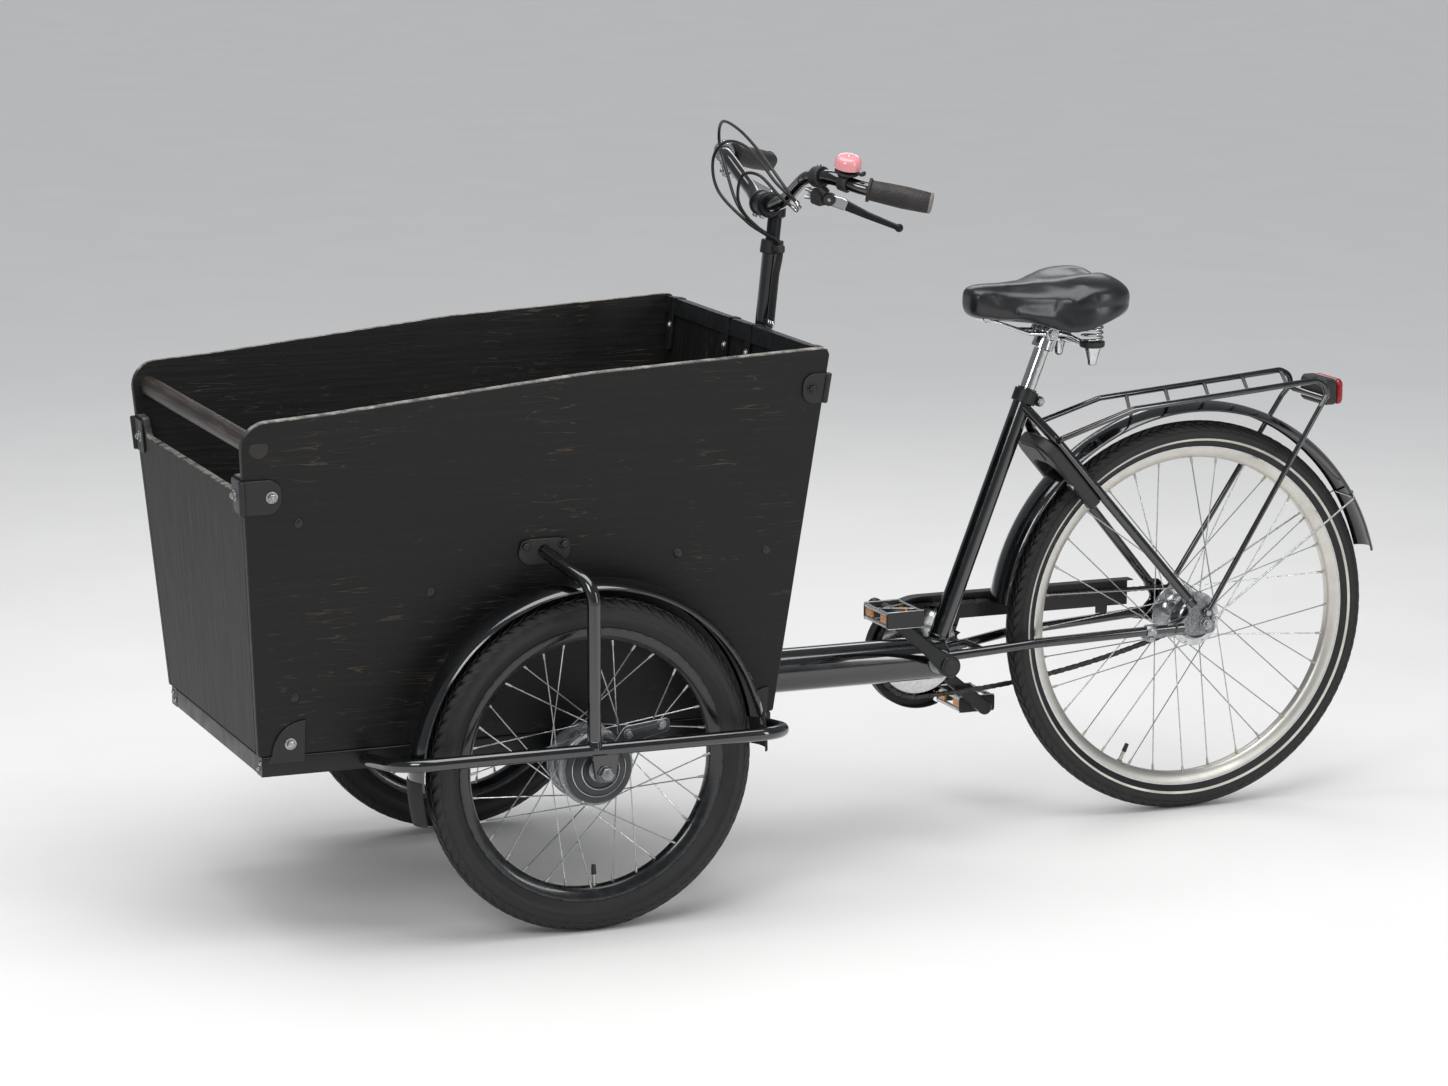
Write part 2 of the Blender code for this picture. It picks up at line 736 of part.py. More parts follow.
def build_rear_frame():
    """The welded rear half: main tube, seat tube, stays, dropouts and the head tube of the steering."""
    head_bore = bored(KINGPIN_RADIUS, 12, RUNNING)
    head_low = CRANK_Z - HEAD_TUBE_HALF
    head_high = CRANK_Z + HEAD_TUBE_HALF - 0.009
    pieces = [
        rod("main", (CRANK_X - 0.020, 0, CRANK_Z), (KINGPIN_X, 0, CRANK_Z), MAIN_TUBE_RADIUS, 16),
        cross_rod("shell", CRANK_X, -0.037, 0.037, CRANK_Z, 0.021, 14),
        rod("seat_tube", CRANK, SEAT_TOP, SEAT_TUBE_RADIUS, 14),
        rod("head", (KINGPIN_X, 0, head_low), (KINGPIN_X, 0, head_high), HEAD_TUBE_RADIUS, 12),
        cross_rod("bridge", CRANK_X - 0.077, -0.036, 0.036, CRANK_Z + 0.012, 0.006, 10),
    ]
    bridge = stay_place(SEAT_STAY_BEND.z - STAY_BRIDGE_DROP)
    pieces.append(cross_rod("stay_bridge", bridge.x, -bridge.y, bridge.y, bridge.z, 0.005, 10))
    for side in (1, -1):
        chain_stay = [
            (CRANK_X - 0.005, side * 0.022, CRANK_Z + 0.004),
            (CRANK_X - 0.083, side * 0.034, CRANK_Z + 0.011),
            CHAIN_STAY_BEND * Vector((1, side, 1)),
            CHAIN_STAY_END * Vector((1, side, 1)),
        ]
        seat_stay = [
            (SEAT_STAY_TOP.x, side * 0.010, SEAT_STAY_TOP.z),
            SEAT_STAY_BEND * Vector((1, side, 1)),
            SEAT_STAY_LOW * Vector((1, side, 1)),
        ]
        pieces.append(tube("chain_stay", bent(chain_stay, 0.10, 1), CHAIN_STAY_RADIUS, 2))
        pieces.append(tube("seat_stay", bent(seat_stay, 0.05, 1), SEAT_STAY_RADIUS, 2))
        pieces.append(dropout(side))
    frame = fuse("frame", pieces)
    post_bore = SEAT_TOP - SEAT_AXIS * (POST_IN + 0.040)
    cutters = [
        rod("post_bore", post_bore, SEAT_TOP + SEAT_AXIS * 0.010, bored(POST_RADIUS, 14), 14),
        rod("head_bore", (KINGPIN_X, 0, head_low - 0.01), (KINGPIN_X, 0, head_high + 0.01), head_bore, 12),
        cross_rod("crank_bore", CRANK_X, -0.05, 0.05, CRANK_Z, bored(CRANK_AXLE_RADIUS, 12, RUNNING), 12),
        cross_rod("axle_hole", 0, -0.09, 0.09, REAR_HUB.z, bored(REAR_AXLE_RADIUS, AXLE_STEPS), AXLE_STEPS),
    ]
    mount(cut("frame", frame, cutters), DATUM, BLACK_PAINT)


def dropout(side):
    """The plate that joins both stays and holds the axle."""
    z = REAR_TYRE_RADIUS
    corners = [
        (0.070, z - 0.013),
        (0.070, z + 0.005),
        (0.042, z + 0.050),
        (0.016, z + 0.050),
        (-0.018, z + 0.012),
        (-0.018, z - 0.016),
        (0.020, z - 0.020),
    ]
    frame = upright(0, side * DROPOUT_Y, 0)
    return plate("dropout", rounded(corners, 0.008, 2), DROPOUT_THICKNESS, frame)


def build_seat_post():
    """The seat clamp on the frame, and the post with the saddle on it."""
    collar_low = SEAT_TOP - SEAT_AXIS * 0.018
    inner = bored(SEAT_TUBE_RADIUS, 14)
    ring = turned(
        "ring",
        [(inner, 0.011), (inner + 0.0035, 0.011), (inner + 0.0035, -0.011), (inner, -0.011)],
        collar_low + SEAT_AXIS * 0.004,
        SEAT_AXIS,
        14,
    )
    back = -Vector((math.cos(SEAT_LEAN), 0, math.sin(SEAT_LEAN)))
    ear_at = collar_low + SEAT_AXIS * 0.004 + back * (inner + 0.009)
    ear = rod("ear", ear_at + Vector((0, -0.008, 0)), ear_at + Vector((0, 0.008, 0)), 0.0085, 12)
    bolt = rod("bolt", ear_at + Vector((0, -0.016, 0)), ear_at + Vector((0, 0.016, 0)), 0.004, 10)
    nut = rod("nut", ear_at + Vector((0, 0.008, 0)), ear_at + Vector((0, 0.014, 0)), 0.0065, 6)
    mount(fuse("seat_clamp", [ring, ear, bolt, nut]), DATUM, BLACK_STEEL)
    post = rod("seat_post", SEAT_TOP - SEAT_AXIS * POST_IN, POST_TOP, POST_RADIUS, 14)
    mount(post, RAISED_POST, CHROME)


def slab(name, frame, low, high):
    """A box between two corners given in a frame's own coordinates."""
    obj = block(name, low, high)
    obj.data.transform(frame)
    return obj


def chain_wheel(name, teeth, pitch_radius, centre, phase):
    """A toothed plate on the chain line, with a gap between teeth at the phase angle."""
    outline = []
    for tooth in range(teeth):
        for share, height in ((-0.24, -0.0042), (0.24, -0.0042), (0.50, 0.0034)):
            angle = phase + 2 * math.pi * (tooth + share) / teeth
            radius = pitch_radius + height
            outline.append((radius * math.cos(angle), radius * math.sin(angle)))
    return plate(name, outline, TOOTH_THICKNESS, upright(centre.x, CHAIN_Y, centre.z))


def chain_route():
    """Each pin's place round the drive, and the angle of one pin on each wheel."""
    across = CRANK - REAR_HUB
    distance = across.length
    tilt = math.atan2(across.z, across.x)
    normal = math.acos((SPROCKET_RADIUS - CHAINRING_RADIUS) / distance)
    straight = math.sqrt(distance**2 - (CHAINRING_RADIUS - SPROCKET_RADIUS) ** 2)
    front_turn = 2 * normal
    rear_turn = 2 * math.pi - front_turn
    front_pitches = front_turn / (2 * math.pi) * CHAINRING_TEETH
    rear_pitches = rear_turn / (2 * math.pi) * SPROCKET_TEETH
    run = straight / TOOTH_PITCH
    links = 2 * math.ceil((front_pitches + rear_pitches + 2 * run) / 2)
    slack_run = links - front_pitches - rear_pitches - run
    sag = math.sqrt(3 / 8 * straight * (slack_run - run) * TOOTH_PITCH)
    upper = tilt + normal
    lower = tilt - normal

    def on_wheel(centre, radius, angle):
        return Vector((centre.x + radius * math.cos(angle), 0, centre.z + radius * math.sin(angle)))

    pins = []
    for link in range(links):
        place = link
        if place < front_pitches:
            angle = upper - place / front_pitches * front_turn
            pins.append(on_wheel(CRANK, CHAINRING_RADIUS, angle))
            continue
        place -= front_pitches
        if place < slack_run:
            share = place / slack_run
            start = on_wheel(CRANK, CHAINRING_RADIUS, lower)
            end = on_wheel(REAR_HUB, SPROCKET_RADIUS, lower)
            pins.append(start.lerp(end, share) - Vector((0, 0, 4 * sag * share * (1 - share))))
            continue
        place -= slack_run
        if place < rear_pitches:
            angle = lower - place / rear_pitches * rear_turn
            pins.append(on_wheel(REAR_HUB, SPROCKET_RADIUS, angle))
            rear_phase = angle
            continue
        share = (place - rear_pitches) / run
        start = on_wheel(REAR_HUB, SPROCKET_RADIUS, upper)
        pins.append(start.lerp(on_wheel(CRANK, CHAINRING_RADIUS, upper), share))
    return pins, upper, rear_phase


def build_chain(pins):
    """The chain: two rows of side plates joined by a roller at every pin."""
    bm = bmesh.new()
    count = len(pins)
    rows = []
    for index, pin in enumerate(pins):
        back = (pin - pins[index - 1]).normalized()
        ahead = (pins[(index + 1) % count] - pin).normalized()
        row = {}
        for side in (1, -1):
            outer = Vector((0, CHAIN_Y + side * CHAIN_OUTER, 0))
            inner = Vector((0, CHAIN_Y + side * CHAIN_INNER, 0))
            for level in (1, -1):
                up_back = Vector((0, 1, 0)).cross(back) * CHAIN_PLATE_HALF * level
                up_ahead = Vector((0, 1, 0)).cross(ahead) * CHAIN_PLATE_HALF * level
                row[side, level, "outer"] = bm.verts.new(pin + outer + (up_back + up_ahead) / 2)
                row[side, level, "before"] = bm.verts.new(pin + inner + up_back - back * ROLLER_HALF)
                row[side, level, "after"] = bm.verts.new(pin + inner + up_ahead + ahead * ROLLER_HALF)
        rows.append(row)
    for index, here in enumerate(rows):
        there = rows[(index + 1) % count]
        for side in (1, -1):
            for end, start in (("outer", "outer"), ("after", "before")):
                near = (here[side, 1, end], here[side, -1, end])
                bm.faces.new((*near, there[side, -1, start], there[side, 1, start]))
            for level in (1, -1):
                outer, before, after = (here[side, level, word] for word in ("outer", "before", "after"))
                bm.faces.new((outer, after, there[side, level, "before"], there[side, level, "outer"]))
                bm.faces.new((outer, before, after))
        for level in (1, -1):
            left = (here[1, level, "before"], here[1, level, "after"])
            bm.faces.new((*left, here[-1, level, "after"], here[-1, level, "before"]))
        for end in ("before", "after"):
            bm.faces.new((here[1, 1, end], here[1, -1, end], here[-1, -1, end], here[-1, 1, end]))
    return from_bmesh("chain", bm)


def crank_frame(side):
    """In the crank arm's plane: local X runs out along the arm, local Z to the right."""
    angle = CRANK_ANGLE if side > 0 else CRANK_ANGLE + math.pi
    turn = Matrix.Rotation(angle, 4, "Z")
    return upright(CRANK.x, side * CRANK_ARM_Y, CRANK.z) @ turn


def pedal_place(side):
    """The pedal axle's middle."""
    along = crank_frame(side) @ Vector((CRANK_LENGTH, 0, 0))
    return Vector((along.x, side * PEDAL_Y, along.z))


def build_drive():
    """Cranks, pedals, chainring, chain, sprocket and the half case over the chain."""
    pins, front_phase, rear_phase = chain_route()
    chain = build_chain(pins)
    mount(chain, DATUM, BLACK_STEEL)
    axle_end = CRANK_ARM_Y + CRANK_ARM_HALF - 0.003
    mount(
        cross_rod("crank_axle", CRANK.x, -axle_end, axle_end, CRANK.z, CRANK_AXLE_RADIUS, 12),
        CRANK_SPIN,
        BRIGHT_ALLOY,
    )
    for side, name in ((1, "crank_left"), (-1, "crank_right")):
        frame = crank_frame(side)
        outer = side * (CRANK_ARM_Y + CRANK_ARM_HALF)
        inner = side * (CRANK_ARM_Y - CRANK_ARM_HALF)
        arm = plate("arm", crank_outline(), 2 * CRANK_ARM_HALF, frame)
        boss = cross_rod("boss", CRANK.x, inner - side * 0.001, outer + side * 0.003, CRANK.z, 0.0175, 12)
        place = pedal_place(side)
        pedal_end = side * (PEDAL_Y + PEDAL_LENGTH / 2 - 0.006)
        pedal_start = side * CRANK_ARM_Y
        pedal_axle = cross_rod("pedal_axle", place.x, pedal_start, pedal_end, place.z, PEDAL_AXLE_RADIUS, 12)
        body = fuse(name, [arm, boss, pedal_axle])
        end = axle_end + GAP
        bore = cross_rod("bore", CRANK.x, -end, end, CRANK.z, bored(CRANK_AXLE_RADIUS, 12), 12)
        mount(cut(name, body, [bore]), CRANK_SPIN, BLACK_ALLOY)
        build_pedal(side, place)
    ring = chain_wheel("ring", CHAINRING_TEETH, CHAINRING_RADIUS, CRANK, front_phase)
    inner_face = CHAIN_Y + TOOTH_THICKNESS / 2
    disc_faces = (inner_face - 0.001, inner_face + 0.002)
    guard = cross_rod("guard", CRANK.x, *disc_faces, CRANK.z, GUARD_DISC_RADIUS, 24)
    spider_end = 0.001 + 2 * GAP + CRANK_ARM_HALF - CRANK_ARM_Y
    spider = cross_rod("spider", CRANK.x, CHAIN_Y, spider_end, CRANK.z, 0.024, 14)
    body = fuse("chainring", [ring, guard, spider])
    bore = cross_rod("bore", CRANK.x, -0.09, -0.03, CRANK.z, bored(CRANK_AXLE_RADIUS, 12), 12)
    mount(cut("chainring", body, [bore]), CRANK_SPIN, BRIGHT_ALLOY)
    sprocket = chain_wheel("sprocket", SPROCKET_TEETH, SPROCKET_RADIUS, REAR_HUB, rear_phase)
    z = REAR_TYRE_RADIUS
    driver = cross_rod("driver", 0, -REAR_SHELL_HALF - GAP, -0.0590, z, 0.019, 14)
    body = fuse("rear_sprocket", [sprocket, driver])
    bore = cross_rod("bore", 0, -0.07, -0.03, z, bored(REAR_AXLE_RADIUS, AXLE_STEPS, RUNNING), AXLE_STEPS)
    mount(cut("rear_sprocket", body, [bore]), DRIVER_SPIN, BLACK_STEEL)
    build_chain_case()


def crank_outline():
    """A tapered arm from the crank axle to the pedal."""
    root = arc(0, 0, 0.0165, 80, 280, 7)
    tip = arc(CRANK_LENGTH, 0, 0.0120, -80, 80, 6)
    return root + tip


def build_pedal(side, place):
    """A pedal body: a barrel on the axle, end plates and two tread bars with reflectors."""
    name = "pedal_left" if side > 0 else "pedal_right"
    half = PEDAL_LENGTH / 2
    bar_half = half - 0.002
    x, y, z = place.x, side * PEDAL_Y, place.z
    bars = [cross_rod("barrel", x, y - bar_half, y + bar_half, z, 0.0115, 12)]
    for end in (-half, half - 0.005):
        low = (x - PEDAL_WIDTH / 2, y + end, z - PEDAL_HEIGHT / 2)
        high = (x + PEDAL_WIDTH / 2, y + end + 0.005, z + PEDAL_HEIGHT / 2)
        bars.append(block("end", low, high))
    for edge in (-1, 1):
        middle = x + edge * (PEDAL_WIDTH / 2 - 0.003)
        for level in (-1, 1):
            centre = z + level * (PEDAL_HEIGHT / 2 - 0.0035)
            low = (middle - 0.0025, y - bar_half, centre - 0.0025)
            bars.append(block("bar", low, (middle + 0.0025, y + bar_half, centre + 0.0025)))
        low = (middle - 0.0015, y - bar_half, z - PEDAL_HEIGHT / 2 + 0.004)
        high = (middle + 0.0015, y - 0.016, z + PEDAL_HEIGHT / 2 - 0.004)
        bars.append(block("reflector", low, high))
        low = (middle - 0.0015, y + 0.016, z - PEDAL_HEIGHT / 2 + 0.004)
        high = (middle + 0.0015, y + bar_half, z + PEDAL_HEIGHT / 2 - 0.004)
        bars.append(block("reflector", low, high))
    body = fuse(name, bars)
    inner = y - half * side - 0.01 * side
    outer = y + side * (half - 0.004)
    bore = cross_rod("bore", x, inner, outer, z, bored(PEDAL_AXLE_RADIUS, 12, RUNNING), 12)
    spin = joint_empty(f"{name}_spin", (x, y, z), CRANK_SPIN)
    mount(cut(name, body, [bore]), spin, BLACK_PLASTIC)


def build_chain_case():
    """A half case: a plate outside the upper run and a rim that turns in over the chain."""
    radius = CHAINRING_RADIUS + CASE_MARGIN
    top = CRANK_Z + radius
    rear_top = max(top, REAR_TYRE_RADIUS + SPROCKET_RADIUS + CASE_MARGIN + 0.004)
    low = CHAIN_STAY_TOP + 0.005
    front = arc(CRANK_X, CRANK_Z, radius, -110, 90, 15)
    skin = 0.0016
    sheet_front = arc(CRANK_X, CRANK_Z, radius - skin / 2, -110, 90, 15)
    sheet_top = rear_top - skin / 2
    sheet_end = CASE_REAR_X + 0.001
    outline = sheet_front + [(sheet_end, sheet_top), (sheet_end, low), (CRANK_X - 0.078, low)]
    hole = circle(CRANK_X, CRANK_Z, 0.034, 18)
    sheet = pierced_plate("sheet", [outline, hole], skin, upright(0, CASE_Y, 0))
    inside = arc(CRANK_X, CRANK_Z, radius - skin, 90, -110, 15)
    band = front + [(CASE_REAR_X, rear_top), (CASE_REAR_X, rear_top - skin)] + inside
    middle = CASE_Y + CASE_RIM / 2
    edge = plate("edge", band, CASE_RIM, upright(0, middle, 0))
    tab_x = 0.125
    stay_y, stay_z = chain_stay_at(tab_x - 0.010)
    tab_low = (tab_x - 0.010, -stay_y - 0.001, stay_z + CHAIN_STAY_RADIUS + 2 * GAP)
    tab = block("tab", tab_low, (tab_x + 0.010, CASE_Y + 0.0004, low + 0.010))
    mount(fuse("chain_case", [sheet, edge, tab]), DATUM, BLACK_PLASTIC)


def stay_place(height):
    """The left seat stay's centre at a height."""
    low, bend = SEAT_STAY_LOW, SEAT_STAY_BEND
    share = (height - low.z) / (bend.z - low.z)
    return low.lerp(bend, share)


def build_rear_mudguard():
    """The rear mudguard with two wire stays to the dropouts."""
    blade = mudguard_blade("blade", REAR_HUB, REAR_MUDGUARD_RADIUS, 8, 165, 18)
    pieces = [blade]
    angle = math.radians(148)
    reach = REAR_MUDGUARD_RADIUS - MUDGUARD_CROWN - MUDGUARD_SKIN
    x, z = reach * math.cos(angle), REAR_TYRE_RADIUS + reach * math.sin(angle)
    foot_y = DROPOUT_Y + DROPOUT_THICKNESS / 2 + GAP + 0.0021
    edge_y = MUDGUARD_HALF + 0.006
    foot_x, foot_z = -0.0135, REAR_TYRE_RADIUS + 0.0085
    path = [(foot_x, foot_y, foot_z), (x, edge_y, z), (x, -edge_y, z), (foot_x, -foot_y, foot_z)]
    pieces.append(tube("stay", bent(path, 0.004, 2), 0.0018, 1))
    mount(fuse("rear_mudguard", pieces), DATUM, BLACK_PAINT)


def build_carrier():
    """The tubular luggage carrier with slanting cross bars and stays to the dropouts."""
    start = stay_place(SEAT_STAY_BEND.z - 0.003)
    stay_side = start.y + SEAT_STAY_RADIUS + 0.0008
    left = [
        (start.x, stay_side, start.z),
        (start.x, CARRIER_HALF + 0.003, start.z + 0.006),
        (0.136, CARRIER_HALF, CARRIER_Z - CARRIER_FALL),
        (-0.200, CARRIER_HALF, CARRIER_Z),
        (CARRIER_REAR_X, CARRIER_HALF, CARRIER_Z - 0.008),
        (CARRIER_REAR_X - 0.006, CARRIER_HALF, CARRIER_Z - 0.032),
    ]
    right = [(x, -y, z) for x, y, z in reversed(left)]
    pieces = [tube("rail", bent(left + right, 0.018, 1), 0.005, 1)]
    for side in (1, -1):
        foot_y = DROPOUT_Y + DROPOUT_THICKNESS / 2 + GAP + 0.0048
        stay = [
            (CARRIER_REAR_X - 0.004, side * CARRIER_HALF, CARRIER_Z - 0.026),
            (CARRIER_REAR_X + 0.010, side * (CARRIER_HALF + 0.004), CARRIER_Z - 0.044),
            (0.0, side * foot_y, REAR_TYRE_RADIUS + 0.019),
        ]
        pieces.append(tube("stay", bent(stay, 0.015, 1), 0.0045, 1))
    slant = 0.028
    for bar in range(5):
        x = 0.115 - bar * 0.072
        z = CARRIER_Z - (x + 0.200) * CARRIER_FALL / 0.336
        bar_ends = ((x + slant, CARRIER_HALF, z - 0.002), (x - slant, -CARRIER_HALF, z))
        pieces.append(rod("bar", *bar_ends, 0.0035, 8))
    mount(fuse("rear_carrier", pieces), DATUM, BLACK_PAINT)


def build_tail_light():
    """The rear light under the carrier's tail, with its reflector lens."""
    back = CARRIER_REAR_X - 0.0113
    low, high = CARRIER_Z - 0.047, CARRIER_Z - 0.004
    housing = block("housing", (back - 0.024, -0.043, low), (back, 0.043, high))
    bevel = housing.modifiers.new("round", "BEVEL")
    bevel.width = 0.006
    bevel.segments = 1
    housing = baked(housing)
    housing.name = "tail_light"
    mount(housing, DATUM, BLACK_PLASTIC)
    lens_low, lens_high = (back - 0.034, -0.038, low + 0.005), (back - 0.024 - GAP, 0.038, high - 0.005)
    lens = block("tail_light_lens", lens_low, lens_high)
    bevel = lens.modifiers.new("round", "BEVEL")
    bevel.width = 0.004
    bevel.segments = 1
    mount(baked(lens), DATUM, RED_LENS)


def build_ring_lock():
    """The horseshoe lock round the rear tyre, in front of the seat stays."""
    along = (SEAT_STAY_BEND - SEAT_STAY_LOW) * Vector((1, 0, 1))
    start = Vector((SEAT_STAY_LOW.x, 0, SEAT_STAY_LOW.z))
    along.normalize()
    ahead = Vector((along.z, 0, -along.x))
    offset = SEAT_STAY_RADIUS + LOCK_HALF + GAP
    frame = Matrix((Vector((0, 1, 0)), along, Vector((0, 1, 0)).cross(along))).transposed().to_4x4()
    frame = Matrix.Translation(start + ahead * offset) @ frame
    foot, crown, top = REAR_TYRE_RADIUS - 0.080, REAR_TYRE_RADIUS + 0.018, REAR_TYRE_RADIUS + 0.064
    outer = [(-0.058, foot), (-0.058, top), (0.058, top), (0.058, foot)]
    inner = [(0.039, foot), (0.039, crown), (-0.039, crown), (-0.039, foot)]
    outline = rounded(outer + inner, [0.004, 0.035, 0.035, 0.004, 0.004, 0.022, 0.022, 0.004], 4)
    mount(plate("ring_lock", outline, 2 * LOCK_HALF, frame), DATUM, BLACK_PLASTIC)


def build_torque_arm():
    """The brake arm from the hub to a clip round the left chain stay."""
    z = REAR_TYRE_RADIUS
    outline = arc(0, z, 0.017, 90, 270, 7) + [(0.098, z - 0.026), (0.106, z - 0.020), (0.104, z - 0.012)]
    arm = plate("arm", outline, 0.004, upright(0, 0.0475, 0))
    boss = cross_rod("boss", 0, REAR_SHELL_HALF + RUNNING, 0.0590, z, 0.0145, 12)
    stay_y, stay_z = chain_stay_at(0.098)
    direction = CHAIN_STAY_END - CHAIN_STAY_BEND
    inner = bored(CHAIN_STAY_RADIUS, 14)
    profile = [(inner, 0.008), (inner + 0.0025, 0.008), (inner + 0.0025, -0.008), (inner, -0.008)]
    band = turned("band", profile, (0.098, stay_y, stay_z), direction, 14)
    lug = cross_rod("lug", 0.098, 0.0470, stay_y + 0.004, stay_z - inner - 0.0055, 0.0052, 12)
    body = fuse("torque_arm", [arm, boss, band, lug])
    bore = cross_rod("bore", 0, 0.03, 0.07, z, bored(REAR_AXLE_RADIUS, AXLE_STEPS), AXLE_STEPS)
    mount(cut("torque_arm", body, [bore]), DATUM, BRIGHT_ALLOY)


def chain_stay_at(x):
    """The left chain stay's centre, as a width and a height, at a place behind its bend."""
    share = (x - CHAIN_STAY_BEND.x) / (CHAIN_STAY_END.x - CHAIN_STAY_BEND.x)
    place = CHAIN_STAY_BEND.lerp(CHAIN_STAY_END, share)
    return place.y, place.z


def build_saddle():
    """The saddle's clamp and rails, its two springs and the cushion."""
    top = POST_TOP
    clamp = rod("clamp", top - SEAT_AXIS * 0.014, top + SEAT_AXIS * 0.012, POST_RADIUS + 0.006, 14)
    pieces = [clamp, cross_rod("pin", top.x, -0.030, 0.030, top.z + 0.016, 0.008, 12)]
    for side in (1, -1):
        rail = [
            (top.x + SADDLE_NOSE_BAR + 0.002, side * 0.012, top.z + 0.044),
            (top.x + 0.085, side * 0.016, top.z + 0.034),
            (top.x + 0.040, side * 0.024, top.z + 0.018),
            (top.x - 0.025, side * 0.026, top.z + 0.014),
            (top.x - 0.055, side * SPRING_Y, top.z - 0.004),
        ]
        pieces.append(tube("rail", bent(rail, 0.020, 1), 0.0040, 1))
        x, z = top.x - 0.055, SPRING_LOW_Z
        cap_foot = (x, side * SPRING_Y, z - 0.010)
        pieces.append(rod("cap", cap_foot, (x, side * SPRING_Y, z - GAP), 0.0205, 12))
        cone_foot = (x, side * SPRING_Y, z - 0.038)
        pieces.append(rod("cone", cone_foot, (x, side * SPRING_Y, z - 0.009), 0.0095, 8, 0.0155))
    pieces.append(cross_rod("rear_bar", top.x - 0.055, -SPRING_Y, SPRING_Y, SPRING_LOW_Z - 0.010, 0.005, 10))
    nose = cross_rod("nose", top.x + SADDLE_NOSE_BAR, -0.018, 0.018, top.z + 0.0449, 0.0065, 10)
    body = fuse("saddle_frame", [*pieces, nose])
    hole = rod("hole", top - SEAT_AXIS * 0.03, top + SEAT_AXIS * GAP, bored(POST_RADIUS, 14), 14)
    mount(cut("saddle_frame", body, [hole]), RAISED_POST, CHROME)
    for side, name in ((1, "saddle_spring_left"), (-1, "saddle_spring_right")):
        mount(spring(name, top.x - 0.055, side * SPRING_Y), RAISED_POST, CHROME)
    mount(cushion(top), RAISED_POST, VINYL)


def spring(name, x, y):
    """One open coil spring between the frame's cap and the cushion's base."""
    low = SPRING_LOW_Z + SPRING_WIRE
    height = SPRING_HEIGHT - 2 * SPRING_WIRE - GAP
    count = 9 * SPRING_TURNS + 1
    path = []
    for step in range(count):
        turn = step / (count - 1)
        angle = 2 * math.pi * SPRING_TURNS * turn
        rise = height * turn
        path.append((x + SPRING_RADIUS * math.cos(angle), y + SPRING_RADIUS * math.sin(angle), low + rise))
    print(name, "least gap between curls in mm:", round((height / SPRING_TURNS - 2 * SPRING_WIRE) * 1000, 2))
    return tube(name, path, SPRING_WIRE, 1)


def cushion(top):
    """The cushion: broad and humped at the rear, narrow at the nose, flat underneath."""
    base = SPRING_LOW_Z + SPRING_HEIGHT
    # Share of the length from the rear, half width, crown and underside above the post's top
    shape = [
        (0.00, 0.062, 0.082, 0.050),
        (0.05, 0.092, 0.102, 0.038),
        (0.16, 0.110, 0.113, 0.033),
        (0.32, 0.112, 0.113, 0.033),
        (0.46, 0.096, 0.104, 0.038),
        (0.60, 0.064, 0.097, 0.044),
        (0.74, 0.040, 0.094, 0.048),
        (0.90, 0.031, 0.092, 0.052),
        (0.97, 0.024, 0.087, 0.056),
        (1.00, 0.012, 0.080, 0.062),
    ]
    bm = bmesh.new()
    rings = []
    sides = 16
    path = smooth_path([(share, half, 0) for share, half, crown, under in shape], 16)
    levels = smooth_path([(share, crown, under) for share, half, crown, under in shape], 16)
    for (share, half, _), (_, crown, under) in zip(path, levels):
        x = top.x - SADDLE_REAR + share * SADDLE_LENGTH
        middle = (crown + under) / 2 + 0.006
        ring = []
        hump = max(0, 1 - abs(share - 0.22) / 0.30)
        for step in range(sides):
            angle = 2 * math.pi * step / sides
            y = half * math.copysign(abs(math.cos(angle)) ** 0.75, math.cos(angle))
            lift = math.copysign(abs(math.sin(angle)) ** 0.8, math.sin(angle))
            height = (crown - middle if lift > 0 else middle - under) * lift
            dip = 0.016 * hump * math.exp(-((y / 0.032) ** 2)) if lift > 0 else 0
            z = max(top.z + middle + height - dip, base)
            ring.append(bm.verts.new((x, y, z)))
        rings.append(ring)
    for first, second in zip(rings, rings[1:]):
        for step in range(sides):
            after = (step + 1) % sides
            bm.faces.new((first[step], first[after], second[after], second[step]))
    bm.faces.new(rings[0])
    bm.faces.new(rings[-1])
    return from_bmesh("saddle", bm)


def inner_half(z):
    """Half the room between the side panels at a height."""
    return box_side_y(z) - PANEL / math.cos(FLARE) - 2 * GAP


def slope_height(z, lean):
    """The distance up a leaning face from the box's foot to a height."""
    return (z - BOX_FOOT_Z) / math.cos(lean)


def face_outline(foot_z, top_z, lean, half):
    """A panel's outline in its face's frame, its sides following a half width that grows upwards."""
    right = [(half(z), slope_height(z, lean)) for z in (foot_z, top_z)]
    return right + [(-x, y) for x, y in reversed(right)]


